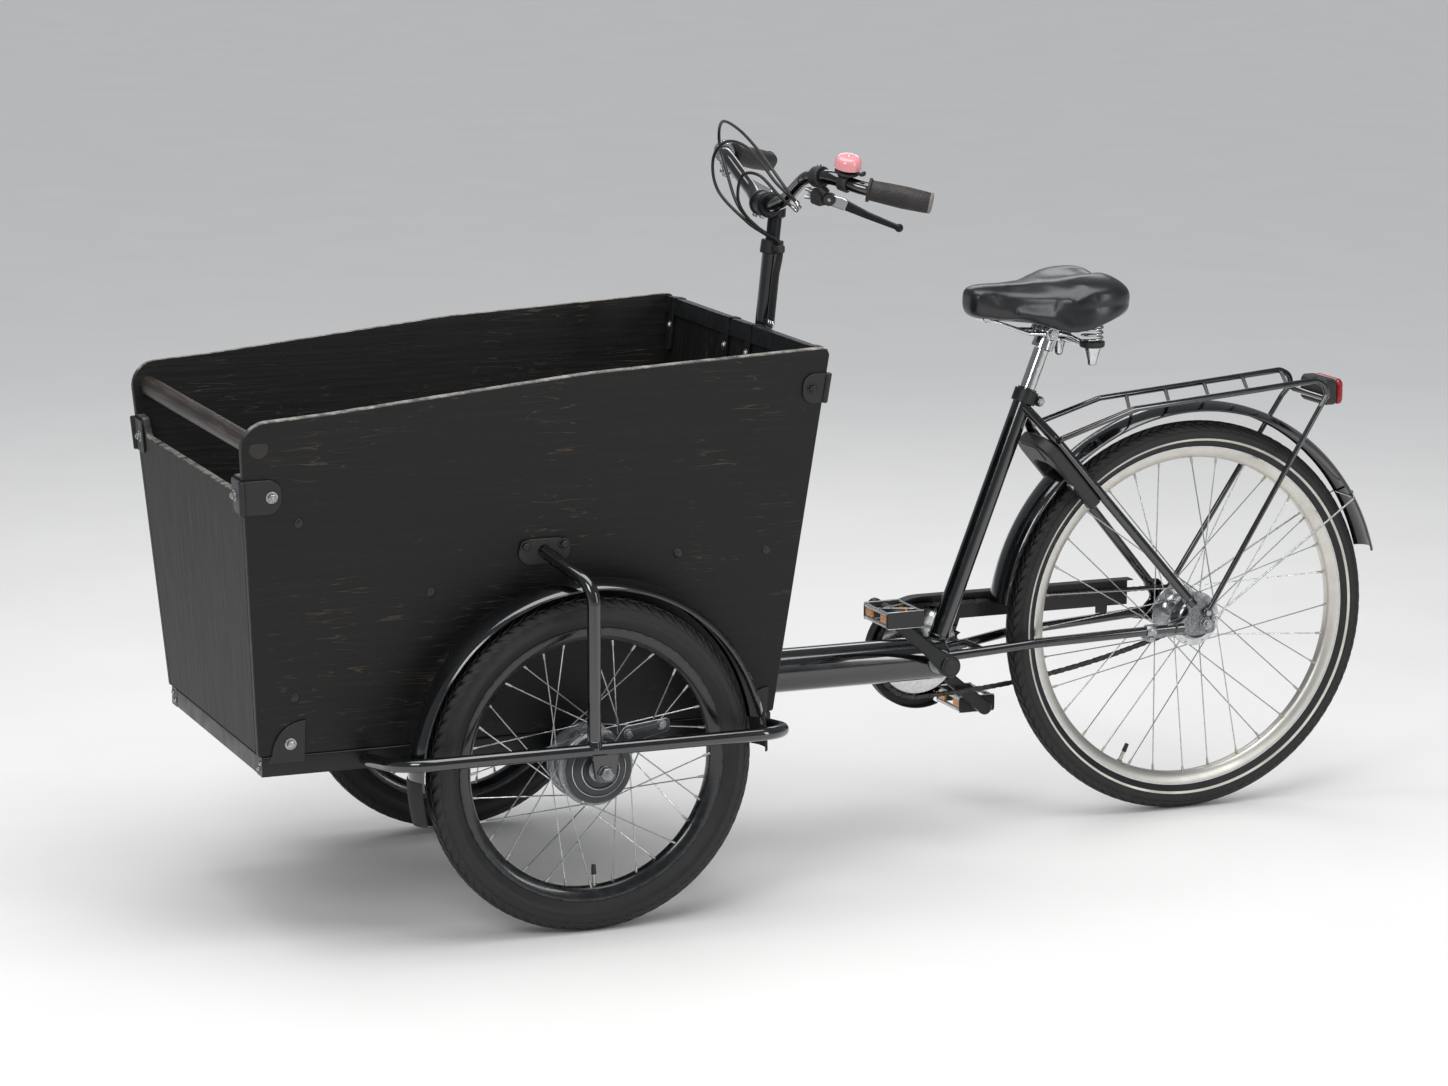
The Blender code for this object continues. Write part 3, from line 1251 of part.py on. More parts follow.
def build_side_panels():
    """The two side panels with a rounded front corner, a falling top edge and carriage bolts."""
    length = BOX_FRONT_TOP_X - BOX_REAR_TOP_X
    drop = BOX_TOP_Z - BOX_FRONT_TOP_Z
    corners = [
        (box_rear_x(BOX_FOOT_Z), BOX_FOOT_Z),
        (box_rear_x(BOX_TOP_Z), BOX_TOP_Z),
        (BOX_REAR_TOP_X + length * 0.43, BOX_TOP_Z - drop * 0.29),
        (BOX_REAR_TOP_X + length * 0.86, BOX_TOP_Z - drop * 0.87),
        (box_front_x(BOX_FRONT_TOP_Z), BOX_FRONT_TOP_Z),
        (box_front_x(BOX_FOOT_Z), BOX_FOOT_Z),
    ]
    flat = [(x, slope_height(z, FLARE)) for x, z in corners]
    outline = rounded(flat, [0.004, 0.012, 0.3, 0.2, 0.040, 0.004], 3)
    frame = side_frame(0, BOX_FOOT_Z, -PANEL / 2)
    panel = plate("side_panel_left", outline, PANEL, frame)
    pieces = [panel]
    for x, z in CARRIAGE_BOLTS:
        pieces.append(bolt_head("bolt", side_frame(0, z), x, 0, 0.0005, 0.009, -0.0035))
    left = fuse("side_panel_left", pieces)
    hole = rod("hole", (DOWEL_X, 0, DOWEL_Z), (DOWEL_X, 0.4, DOWEL_Z), bored(DOWEL_RADIUS, 16), 16)
    left = cut("side_panel_left", left, [hole])
    mount(mirrored("side_panel_right", left), STEERED, STAINED_PLYWOOD)
    mount(left, STEERED, STAINED_PLYWOOD)


def build_end_panels():
    """The front panel with a raised tab at each corner, the rear panel, the floor and the dowel."""
    half = inner_half
    tab = 0.034
    right = [
        (half(BOX_FOOT_Z + 0.004), 0.004),
        (half(FRONT_TAB_TOP_Z), slope_height(FRONT_TAB_TOP_Z, FRONT_LEAN)),
        (half(FRONT_TAB_TOP_Z) - tab, slope_height(FRONT_TAB_TOP_Z, FRONT_LEAN)),
        (half(FRONT_PANEL_TOP_Z) - tab - 0.010, slope_height(FRONT_PANEL_TOP_Z, FRONT_LEAN)),
    ]
    outline = right + [(-x, y) for x, y in reversed(right)]
    front = plate("front_panel", outline, PANEL, front_frame(0, BOX_FOOT_Z, -PANEL / 2))
    mount(front, STEERED, STAINED_PLYWOOD)
    outline = face_outline(REAR_PANEL_FOOT_Z, BOX_TOP_Z - 0.008, REAR_RAKE, half)
    rear = plate("rear_panel", outline, PANEL, rear_frame(0, BOX_FOOT_Z, -PANEL / 2))
    mount(rear, STEERED, STAINED_PLYWOOD)
    floor_top = FLOOR_Z + FLOOR_THICKNESS
    rear = box_rear_x(FLOOR_Z) + PANEL / math.cos(REAR_RAKE) + 2 * GAP
    front = box_front_x(FLOOR_Z) - PANEL / math.cos(FRONT_LEAN) - 2 * GAP
    width = half(FLOOR_Z)
    floor = block("floor_panel", (rear, -width, FLOOR_Z), (front, width, floor_top))
    mount(floor, STEERED, STAINED_PLYWOOD)
    end = box_side_y(DOWEL_Z) + 0.001
    mount(cross_rod("front_dowel", DOWEL_X, -end, end, DOWEL_Z, DOWEL_RADIUS, 16), STEERED, DARK_WOOD)


def corner_bracket(name, on_end, end_edge, z, half_height, side_length, end_length):
    """A steel angle round one of the box's left corners, with its bolts."""
    skin = BRACKET_SKIN
    reach = GAP + skin
    forward = 1 if on_end is front_frame else -1
    lean = FRONT_LEAN if forward > 0 else REAR_RAKE
    side_rows = []
    end_rows = []
    for up in (-half_height, half_height):
        level = z + up * math.cos(FLARE)
        side_rows.append((end_edge(level) + forward * reach, up))
        level = z + up * math.cos(lean)
        end_rows.append((forward * (box_side_y(level) + reach), up))
    side_inner = end_edge(z) - forward * side_length
    side = [*side_rows, (side_inner, half_height), (side_inner, -half_height)]
    side = rounded(side, [0, 0, 0.014, 0.014])
    end_inner = forward * (box_side_y(z) - end_length)
    end_height = half_height * 0.96
    low, high = end_rows
    end = [(low[0], -end_height), (high[0], end_height), (end_inner, end_height), (end_inner, -end_height)]
    end = rounded(end, [0, 0, 0.008, 0.008])
    side_place = side_frame(0, z, GAP + skin / 2)
    end_place = on_end(0, z, GAP + skin / 2)
    pieces = [plate("side", side, skin, side_place), plate("end", end, skin, end_place)]
    inset = forward * 0.015
    pieces.append(bolt_head("bolt", side_place, side_inner + inset, 0, -0.001, 0.0075, -0.006))
    pieces.append(bolt_head("bolt", end_place, end_inner + inset, 0, 0.001, 0.0075, 0.006))
    left = fuse(f"{name}_left", pieces)
    mount(mirrored(f"{name}_right", left), STEERED, BLACK_STEEL)
    mount(left, STEERED, BLACK_STEEL)


def build_top_rail():
    """The steel channel over the rear panel's top edge, with four straps bolted inside."""
    skin = BRACKET_SKIN
    top = slope_height(BOX_TOP_Z - 0.008, REAR_RAKE)
    low_z = BOX_TOP_Z - 0.008 - CHANNEL_HEIGHT
    width = inner_half(low_z)
    frame = rear_frame(0, BOX_FOOT_Z)
    inside = -PANEL - GAP
    low = top - CHANNEL_HEIGHT
    high = top + GAP + skin
    cap_half = width - 0.001
    cap_low = (-cap_half, top + GAP, inside - skin / 2)
    pieces = [
        slab("outer", frame, (-width, low, GAP), (width, high, GAP + skin)),
        slab("cap", frame, cap_low, (cap_half, high - skin / 2, skin)),
        slab("inner", frame, (-width, low, inside - skin), (width, high, inside)),
    ]
    middle = 0.045
    corner = width - 0.028
    for place in (-corner, -middle, middle, corner):
        strap_low = top - (0.060 if abs(place) == middle else 0.082)
        half = 0.010
        face = inside - skin - 0.002
        strap_end = (place + half, top, inside - 0.0005)
        pieces.append(slab("strap", frame, (place - half, strap_low, face), strap_end))
        pieces.append(bolt_head("bolt", frame, place, top - 0.042, face + 0.001, 0.006, -0.005))
    mount(fuse("rear_top_rail", pieces), STEERED, BLACK_STEEL)


def build_box():
    """Panels, floor, dowel and the steel at the box's corners."""
    build_side_panels()
    build_end_panels()
    corner_bracket("front_bracket", front_frame, box_front_x, 0.688, 0.026, 0.056, 0.048)
    corner_bracket("rear_bracket", rear_frame, box_rear_x, 0.800, 0.023, 0.036, 0.050)
    build_top_rail()


def build_chassis():
    """The steel frame under the box: rails, front beam, raised cross members, crown and wheel lugs."""
    inner = RAIL_OUTER - RAIL
    low = RAIL_TOP_Z - RAIL
    pieces = []
    for side in (1, -1):
        y_low, y_high = sorted((side * inner, side * RAIL_OUTER))
        pieces.append(block("rail", (RAIL_REAR_X, y_low, low), (RAIL_FRONT_X, y_high, RAIL_TOP_Z)))
        y_low, y_high = sorted((side * (RAIL_OUTER - LUG_THICKNESS), side * (RAIL_OUTER - 0.0005)))
        lug = rounded(
            [
                (WHEELBASE - 0.032, low + 0.010),
                (WHEELBASE - 0.020, FRONT_TYRE_RADIUS - 0.018),
                (WHEELBASE + 0.020, FRONT_TYRE_RADIUS - 0.018),
                (WHEELBASE + 0.032, low + 0.010),
            ],
            [0, 0.012, 0.012, 0],
        )
        pieces.append(plate("lug", lug, y_high - y_low, upright(0, (y_low + y_high) / 2, 0)))
        pieces.append(lower_tab(side, BOX_FRONT_FOOT_X - 0.070, 0.062))
        pieces.append(lower_tab(side, RAIL_REAR_X + 0.006, 0.046))
    beam_low = (RAIL_FRONT_X - RAIL, -inner - 0.001, low - 0.0005)
    pieces.append(block("beam", beam_low, (RAIL_FRONT_X - 0.0005, inner + 0.001, RAIL_TOP_Z - 0.0005)))
    crown_low = CRANK_Z + HEAD_TUBE_HALF - 0.009 + RUNNING
    member_top = FLOOR_Z - 2 * GAP
    riser_y = inner + 0.0005
    for offset in (-MEMBER_SPREAD, MEMBER_SPREAD):
        x = KINGPIN_X + offset
        member_low = (x - 0.015, -inner - 0.013, crown_low + 0.002)
        pieces.append(block("member", member_low, (x + 0.015, inner + 0.013, member_top)))
        for side in (1, -1):
            y_low, y_high = sorted((side * riser_y, side * (riser_y + 0.012)))
            riser_low = (x - 0.014, y_low, RAIL_TOP_Z - 0.010)
            pieces.append(block("riser", riser_low, (x + 0.014, y_high, member_top - 0.001)))
    crown = block(
        "crown",
        (KINGPIN_X - MEMBER_SPREAD, -0.045, crown_low),
        (KINGPIN_X + MEMBER_SPREAD, 0.045, crown_low + CROWN_THICKNESS),
    )
    foot_top = CRANK_Z - HEAD_TUBE_HALF - RUNNING
    foot_low = foot_top - CROWN_THICKNESS
    yoke = block("yoke", (KINGPIN_X - 0.026, -0.026, foot_low), (KINGPIN_X + 0.070, 0.026, foot_top))
    web_low = (KINGPIN_X + 0.060, -0.030, foot_low + 0.001)
    web = block("web", web_low, (KINGPIN_X + 0.072, 0.030, crown_low + 0.004))
    body = fuse("chassis", [*pieces, crown, yoke, web])
    end = RAIL_OUTER + 0.01
    bore = bored(FRONT_AXLE_RADIUS, 12)
    cutters = [
        rod("hole", (KINGPIN_X, 0, 0.2), (KINGPIN_X, 0, 0.4), bored(KINGPIN_RADIUS, 12), 12),
        cross_rod("axle_hole", WHEELBASE, -end, end, FRONT_TYRE_RADIUS, bore, 12),
    ]
    mount(cut("chassis", body, cutters), STEERED, BLACK_PAINT)
    head = crown_low + CROWN_THICKNESS + GAP
    nut = foot_low - GAP
    pin = [
        rod("shank", (KINGPIN_X, 0, nut - 0.018), (KINGPIN_X, 0, head + 0.004), KINGPIN_RADIUS, 12),
        rod("head", (KINGPIN_X, 0, head), (KINGPIN_X, 0, head + 0.011), 0.017, 6),
        rod("nut", (KINGPIN_X, 0, nut - 0.013), (KINGPIN_X, 0, nut), 0.016, 6),
    ]
    mount(fuse("kingpin", pin), STEERED, BRIGHT_ALLOY)


def lower_tab(side, x, length):
    """A quarter-round plate welded to the rail and standing against the side panel, with two bolts."""
    skin = BRACKET_SKIN
    frame = side_frame(0, BOX_FOOT_Z, GAP + skin / 2)
    foot = -0.018
    outline = [(x, foot), (x + length, foot), *arc(x, 0.004, length * 0.80, 0, 90, 6)]
    pieces = [plate("tab", outline, skin, frame)]
    pieces.append(bolt_head("bolt", frame, x + length * 0.36, length * 0.30, -0.001, 0.007, -0.006))
    tab = fuse("tab", pieces)
    return tab if side > 0 else replaced_by_mirror(tab)


def replaced_by_mirror(obj):
    """The mirrored copy of a piece, in its place."""
    copy = mirrored(obj.name, obj)
    bpy.data.objects.remove(obj, do_unlink=True)
    return copy


def build_wheel_guards():
    """The tube round each front wheel, its post to the box side and the lug for the axle's outer end."""
    start_y = RAIL_OUTER + 0.0020
    rail_z = RAIL_TOP_Z - RAIL / 2
    loop = [
        (GUARD_FRONT_X + 0.012, start_y, rail_z),
        (GUARD_FRONT_X, GUARD_Y, GUARD_Z),
        (GUARD_REAR_X, GUARD_Y, GUARD_Z),
        (GUARD_REAR_X + 0.004, start_y, rail_z),
    ]
    foot = (POST_X, GUARD_Y, GUARD_Z)
    plate_z = 0.577
    face = side_frame(POST_X + 0.042, plate_z, 0.004)
    post = [foot, (POST_X, GUARD_Y, 0.538), face.translation]
    skin = 0.004
    tab = rounded([(-0.040, -0.020), (0.040, -0.020), (0.040, 0.020), (-0.040, 0.020)], 0.012)
    tab_frame = side_frame(POST_X + 0.042, plate_z, GAP + skin / 2)
    lug = [
        (WHEELBASE - 0.022, GUARD_Z + 0.002),
        (WHEELBASE - 0.015, FRONT_TYRE_RADIUS - 0.014),
        (WHEELBASE + 0.015, FRONT_TYRE_RADIUS - 0.014),
        (WHEELBASE + 0.022, GUARD_Z + 0.002),
    ]
    pieces = [
        tube("loop", bent(loop, 0.055, 2), GUARD_RADIUS, 2),
        tube("post", bent(post, 0.040, 2), GUARD_POST_RADIUS, 2),
        plate("tab", tab, skin, tab_frame),
        plate("lug", rounded(lug, [0, 0.010, 0.010, 0]), LUG_THICKNESS, upright(0, GUARD_Y, 0)),
    ]
    for x in (-0.030, 0.030):
        pieces.append(bolt_head("bolt", tab_frame, x, 0.010, -0.001, 0.007, -0.006))
    body = fuse("wheel_guard_left", pieces)
    hole = cross_rod("hole", WHEELBASE, 0.36, 0.42, FRONT_TYRE_RADIUS, bored(FRONT_AXLE_RADIUS, 12), 12)
    left = cut("wheel_guard_left", body, [hole])
    mount(mirrored("wheel_guard_right", left), STEERED, BLACK_PAINT)
    mount(left, STEERED, BLACK_PAINT)


def build_front_axles():
    """Each front axle with its brake plate, the plate's arm to the guard and the nuts."""
    x, z = WHEELBASE, FRONT_TYRE_RADIUS
    plate_in = FRONT_WHEEL_Y + FRONT_SHELL_HALF + 0.0012
    inner_face = RAIL_OUTER + GAP
    inner_end = RAIL_OUTER - LUG_THICKNESS + 0.001
    outer_face = GUARD_Y + LUG_THICKNESS / 2 + GAP
    arm = [
        (x - 0.012, z + 0.022),
        (x - 0.040, z + 0.062),
        (x - 0.112, z + 0.070),
        (x - 0.112, z + 0.050),
        (x - 0.050, z + 0.036),
        (x - 0.030, z - 0.010),
    ]
    arm_corners = [0, 0.014, 0.006, 0.006, 0.014, 0]
    pieces = [
        cross_rod("shaft", x, inner_end, outer_face + 0.006, z, FRONT_AXLE_RADIUS, 12),
        cross_rod("disc", x, plate_in, plate_in + 0.004, z, 0.052, 18),
        rod("dome", (x, plate_in + 0.002, z), (x, plate_in + 0.011, z), 0.040, 14, 0.030),
        cross_rod("collar", x, plate_in + 0.009, GUARD_Y - LUG_THICKNESS / 2 - GAP, z, 0.011, 8),
        cross_rod("inner_nut", x, inner_face, inner_face + 0.009, z, 0.011, 6),
        cross_rod("cap", x, outer_face, outer_face + 0.012, z, 0.012, 6),
        plate("arm", rounded(arm, arm_corners), 0.004, upright(0, plate_in + 0.0045, 0)),
        block("lever", (x - 0.006, plate_in + 0.002, z + 0.036), (x + 0.010, plate_in + 0.008, z + 0.072)),
    ]
    for bolt_x, bolt_z in ((x - 0.046, z + 0.050), (x - 0.098, z + 0.060)):
        frame = upright(0, plate_in + 0.0065, 0)
        pieces.append(bolt_head("bolt", frame, bolt_x, bolt_z, 0.001, 0.0065, -0.006))
    left = fuse("front_axle_left", pieces)
    mount(mirrored("front_axle_right", left), STEERED, BRIGHT_ALLOY)
    mount(left, STEERED, BRIGHT_ALLOY)


def build_front_mudguards():
    """The front mudguards with their end flaps, and a rod near each end that reaches the rail."""
    centre = Vector((WHEELBASE, FRONT_WHEEL_Y, FRONT_TYRE_RADIUS))
    pieces = [mudguard_blade("blade", centre, FRONT_MUDGUARD_RADIUS, -14, 180, 17)]
    reach = FRONT_MUDGUARD_RADIUS - MUDGUARD_CROWN - MUDGUARD_SKIN
    rod_end = FRONT_WHEEL_Y - MUDGUARD_HALF + 0.006
    for degrees in (3.5, 176.5):
        angle = math.radians(degrees)
        x = WHEELBASE + reach * math.cos(angle)
        z = FRONT_TYRE_RADIUS + reach * math.sin(angle)
        pieces.append(cross_rod("rod", x, RAIL_OUTER + GAP, rod_end, z, 0.004, 10))
    left = fuse("front_mudguard_left", pieces)
    mount(mirrored("front_mudguard_right", left), STEERED, BLACK_PAINT)
    mount(left, STEERED, BLACK_PAINT)


def build_front_wheels():
    """The two laced front wheels with drum hubs, and their tyres."""
    bore = bored(FRONT_AXLE_RADIUS, HUB_STEPS, RUNNING)
    for side, word in ((1, "left"), (-1, "right")):
        centre = Vector((WHEELBASE, side * FRONT_WHEEL_Y, FRONT_TYRE_RADIUS))
        spin = joint_empty(f"front_{word}_spin", centre, STEERED)
        sizes = (FRONT_SHELL_RADIUS, FRONT_FLANGE_RADIUS, FRONT_FLANGE_Y, FRONT_SHELL_HALF)
        shell = hub_shell("hub", centre, *sizes, bore)
        lacing = spokes("spokes", centre, FRONT_FLANGE_RADIUS, FRONT_FLANGE_Y, FRONT_RIM_RADIUS)
        wheel = fuse(f"front_wheel_{word}", [rim("rim", centre, FRONT_RIM_RADIUS), shell, lacing])
        mount(wheel, spin, BRIGHT_ALLOY)
        rubber = tyre(f"front_tyre_{word}", centre, FRONT_TYRE_RADIUS, FRONT_TYRE_WIDTH, FRONT_RIM_RADIUS)
        mount(rubber, spin, TYRE_RUBBER)


def column_place(z):
    """The steering column's centre at a height."""
    return Vector((box_rear_x(z) - COLUMN_GAP / math.cos(REAR_RAKE), 0, z))


def build_column():
    """The steering column with its collar and the two clamps that hold it to the rear panel."""
    foot, top = column_place(COLUMN_FOOT_Z), column_place(COLUMN_TOP_Z)
    collar_ends = (top - COLUMN_AXIS * 0.018, top + COLUMN_AXIS * 0.003)
    pieces = [
        rod("column", foot, top, COLUMN_RADIUS, 12),
        rod("collar", *collar_ends, COLUMN_RADIUS + 0.004, 12),
    ]
    skin = BRACKET_SKIN
    for z in CLAMP_HEIGHTS:
        frame = rear_frame(0, z)
        centre = column_place(z)
        pieces.append(slab("plate", frame, (-0.036, -0.013, GAP), (0.036, 0.013, GAP + skin)))
        neck_end = (0.010, 0.012, COLUMN_GAP - 0.010)
        pieces.append(slab("neck", frame, (-0.010, -0.012, GAP + 0.001), neck_end))
        ring_low = centre - COLUMN_AXIS * 0.011
        ring_high = centre + COLUMN_AXIS * 0.011
        pieces.append(rod("ring", ring_low, ring_high, COLUMN_RADIUS + 0.0035, 12))
        for y in (-0.026, 0.026):
            pieces.append(bolt_head("bolt", frame, y, 0, GAP + 0.001, 0.006, skin + 0.004))
    body = fuse("steering_column", pieces)
    hole_foot = top - COLUMN_AXIS * (QUILL_IN + 0.030)
    hole = rod("hole", hole_foot, top + COLUMN_AXIS * 0.02, bored(QUILL_RADIUS, 12), 12)
    mount(cut("steering_column", body, [hole]), STEERED, BLACK_PAINT)


def bar_route():
    """The handlebar's left half, from its middle to the end under the grip."""
    x, z = BAR_CLAMP_X, BAR_CLAMP_Z
    return [
        Vector((x, 0.030, z)),
        Vector((x - 0.006, 0.068, z + 0.013)),
        Vector((x - 0.001, 0.165, z + 0.060)),
        Vector((x - 0.018, 0.225, z + 0.064)),
        GRIP_START,
        GRIP_END,
    ]


def build_bar():
    """The stem, the handlebar and its two grips."""
    clamp = Vector(BAR_CLAMP)
    root = column_place(COLUMN_TOP_Z - QUILL_IN)
    head = column_place(BAR_CLAMP_Z - 0.006)
    pieces = [
        rod("quill", root, head, QUILL_RADIUS, 12),
        rod("body", head - COLUMN_AXIS * 0.016, head + COLUMN_AXIS * 0.016, 0.0165, 10),
        cross_rod("clamp", clamp.x, -0.021, 0.021, clamp.z, 0.0185, 12),
        block("bridge", (head.x, -0.012, clamp.z - 0.013), (clamp.x, 0.012, clamp.z + 0.011)),
    ]
    for y in (-0.014, 0.014):
        pieces.append(cross_rod("ring", clamp.x, y - 0.003, y + 0.003, clamp.z, 0.0205, 12))
    body = fuse("stem", pieces)
    hole = cross_rod("hole", clamp.x, -0.05, 0.05, clamp.z, bored(BAR_RADIUS, 12), 12)
    mount(cut("stem", body, [hole]), RAISED_BAR, BLACK_ALLOY)
    left = bar_route()
    right = [Vector((place.x, -place.y, place.z)) for place in reversed(left)]
    bar = tube("handlebar", bent([*right, *left], 0.05, 2), BAR_RADIUS, 2)
    mount(bar, RAISED_BAR, BLACK_PAINT)
    axis = (GRIP_END - GRIP_START).normalized()
    bore = bored(BAR_RADIUS, 12)
    length = GRIP_LENGTH
    full = GRIP_RADIUS
    profile = [
        (bore, 0),
        (full + 0.0025, 0),
        (full + 0.0025, 0.004),
        (full - 0.0010, 0.006),
        (full + 0.0012, length * 0.55),
        (full - 0.0005, length * 0.80),
        (full, length - 0.004),
        (full - 0.003, length),
        (0.0, length),
        (0.0, GRIP_LENGTH - 0.004),
        (bore, GRIP_LENGTH - 0.004),
    ]
    start = GRIP_END - axis * (GRIP_LENGTH - 0.004 - GAP)
    left = turned("grip_left", profile, start, axis, 14)
    mount(mirrored("grip_right", left), RAISED_BAR, GRIP_RUBBER)
    mount(left, RAISED_BAR, GRIP_RUBBER)


def build_levers():
    """Each side's perch on the bar with its cable adjusters, and the brake lever that turns in it."""
    grip_axis = (GRIP_END - GRIP_START).normalized()
    bar_axis = (bar_route()[3] - bar_route()[2]).normalized()
    centre = bar_route()[2].lerp(bar_route()[3], 0.45)
    bore = bored(BAR_RADIUS, 12)
    profile = [(bore, -0.009), (bore + 0.005, -0.009), (bore + 0.005, 0.009), (bore, 0.009)]
    ring = turned("ring", profile, centre, bar_axis, 12)
    pivot = centre + Vector((-0.014, 0.008, -0.034))
    forward = Vector((1, 0, 0))
    pivot_axis = grip_axis.cross(Vector((0, 0, 1))).normalized()
    cheek_reach = pivot_axis * 0.0075
    fork = [
        rod("neck", centre - Vector((0, 0, bore + 0.0042)), pivot + Vector((0.006, 0, 0.008)), 0.0075, 8),
        rod("root", pivot - cheek_reach * 1.35, pivot + cheek_reach * 1.35, 0.0095, 10),
    ]
    body_end = pivot + Vector((0.016, -0.022, 0.004))
    fork.append(rod("body", pivot, body_end, 0.0095, 8, 0.0070))
    for y, z in ADJUSTERS:
        start = body_end + Vector((-0.006, y * 0.6, z * 0.6))
        end = body_end + Vector((0.010, y - 0.010, z + 0.003))
        fork.append(rod("adjuster", start, end, 0.0042, 6))
    perch = fuse("brake_perch_left", [ring, *fork])
    slot_frame = Matrix((grip_axis, pivot_axis.cross(grip_axis), pivot_axis)).transposed().to_4x4()
    slot_frame = Matrix.Translation(pivot) @ slot_frame
    slot = slab("slot", slot_frame, (-0.0105, -0.016, -0.0050), (0.030, 0.016, 0.0050))
    perch = cut("brake_perch_left", perch, [slot])
    pin = rod("pin", pivot - cheek_reach * 1.2, pivot + cheek_reach * 1.2, 0.0030, 12)
    perch = fuse("brake_perch_left", [perch, pin])
    mount(mirrored("brake_perch_right", perch), RAISED_BAR, BLACK_PLASTIC)
    mount(perch, RAISED_BAR, BLACK_PLASTIC)
    outline = rounded(LEVER_OUTLINE, [0.006, 0, 0, 0.004, 0.004, 0, 0, 0.006], 2)
    blade = plate("brake_lever_left", outline, 0.0080, slot_frame)
    knob = slot_frame @ Vector((LEVER_REACH, -0.020, 0))
    ball = rod("ball", knob - pivot_axis * 0.0055, knob + pivot_axis * 0.0055, 0.0065, 12)
    lever = fuse("brake_lever_left", [blade, ball])
    hole = rod("hole", pivot - pivot_axis * 0.02, pivot + pivot_axis * 0.02, bored(0.0030, 12), 12)
    lever = cut("brake_lever_left", lever, [hole])
    flip = Vector((1, -1, 1))
    right_turn = joint_empty("brake_lever_right_turn", pivot * flip, RAISED_BAR)
    left_turn = joint_empty("brake_lever_left_turn", pivot, RAISED_BAR)
    print("brake lever pivot", pivot[:], "axis", pivot_axis[:])
    mount(mirrored("brake_lever_right", lever), right_turn, BRIGHT_ALLOY)
    mount(lever, left_turn, BLACK_ALLOY)


def build_bell():
    """The bell: a base on the bar, a dome over it and the thumb lever that turns beneath the dome."""
    start, end = bar_route()[3], bar_route()[4]
    axis = (end - start).normalized()
    centre = start.lerp(end, 0.49)
    bore = bored(BAR_RADIUS, 12)
    profile = [(bore, -0.008), (bore + 0.0035, -0.008), (bore + 0.0035, 0.008), (bore, 0.008)]
    up = Vector((0, -axis.z, axis.y)).normalized()
    foot = centre + up * (bore + 0.002)
    pieces = [
        turned("ring", profile, centre, axis, 14),
        rod("stem", foot, foot + up * 0.018, 0.0050, 12),
        rod("base", foot + up * 0.0015, foot + up * 0.0060, 0.0190, 10),
    ]
    skin = 0.0015
    angles = [math.radians(degrees) for degrees in (66, 40, 16)]
    outer = [(0.0208 * math.cos(angle), 0.0135 + 0.0165 * math.sin(angle)) for angle in angles]
    dome = [(0.0, 0.0300), *outer, (0.0208, 0.0115), (0.0208 - skin, 0.0115)]
    inner = [(x * 0.925, z - skin) for x, z in reversed(outer)]
    dome += [*inner, (0.0, 0.0300 - skin)]
    pieces.append(turned("dome", dome, foot, up, 12))
    pieces.append(rod("post", foot + up * 0.014, foot + up * 0.0292, 0.0035, 10))
    mount(fuse("bell", pieces), RAISED_BAR, PINK_PAINT)
    turn_low, turn_high = 0.0062 + GAP, 0.0092
    across = axis.cross(up)
    frame = Matrix((axis, across, up)).transposed().to_4x4()
    frame = Matrix.Translation(foot) @ frame
    disc = rod("disc", foot + up * turn_low, foot + up * turn_high, 0.0120, 12)
    finger = slab("finger", frame, (0.006, -0.004, turn_low + 0.0004), (0.0270, 0.004, turn_high - 0.0004))
    pad = slab("pad", frame, (0.0255, -0.006, turn_low + 0.0002), (0.0310, 0.006, turn_high + 0.004))
    lever = fuse("bell_lever", [disc, finger, pad])
    hole = rod("hole", foot, foot + up * 0.02, bored(0.0050, 12, RUNNING), 12)
    turn = joint_empty("bell_lever_turn", foot + up * turn_low, RAISED_BAR)
    print("bell lever pivot", (foot + up * turn_low)[:], "axis", up[:])
    mount(cut("bell_lever", lever, [hole]), turn, BLACK_PLASTIC)


def build_cables():
    """Three cables from the left perch, looping over the bar, gathered by a clip and led down the column."""
    routes = []
    for number, route in enumerate(CABLE_LOOPS):
        tail = []
        for z in (CABLE_CLIP_Z + 0.005, 0.930, 0.890, CABLE_END_Z):
            place = column_place(z)
            tail.append(Vector((place.x + 0.002, COLUMN_RADIUS + 0.0095 + number * 0.0075, z)))
        routes.append(smooth_path([*route, *tail], 20))
    pieces = [tube("cable", route, CABLE_RADIUS, 1) for route in routes]
    clip = column_place(CABLE_CLIP_Z)
    clip_y = COLUMN_RADIUS + 0.004 + GAP
    low = (clip.x - 0.0035, clip_y, CABLE_CLIP_Z - 0.006)
    pieces.append(block("clip", low, (clip.x + 0.0075, clip_y + 0.024, CABLE_CLIP_Z + 0.006)))
    pairs = [(routes[0], routes[1]), (routes[0], routes[2]), (routes[1], routes[2])]
    least = min((a - b).length for first, second in pairs for a in first for b in second)
    print("cables: least distance between centre lines in mm:", round(least * 1000, 2))
    mount(fuse("control_cables", pieces), RAISED_BAR, BLACK_PLASTIC)


build_rear_wheel()
build_rear_axle()
build_rear_frame()
build_seat_post()
build_drive()
build_rear_mudguard()
build_carrier()
build_tail_light()
build_ring_lock()
build_torque_arm()
build_saddle()
build_box()
build_chassis()
build_wheel_guards()
build_front_axles()
build_front_mudguards()
build_front_wheels()
build_column()
build_bar()
build_levers()
build_bell()
build_cables()

# The datum moves the vehicle so that its bounding box is centred on the origin.
solids = [obj for obj in PARTS.objects if obj.type == "MESH"]
reach = [vertex.co.x for obj in solids for vertex in obj.data.vertices]
DATUM.location.x = -(min(reach) + max(reach)) / 2
print("datum x", DATUM.location.x)
bpy.context.view_layer.update()
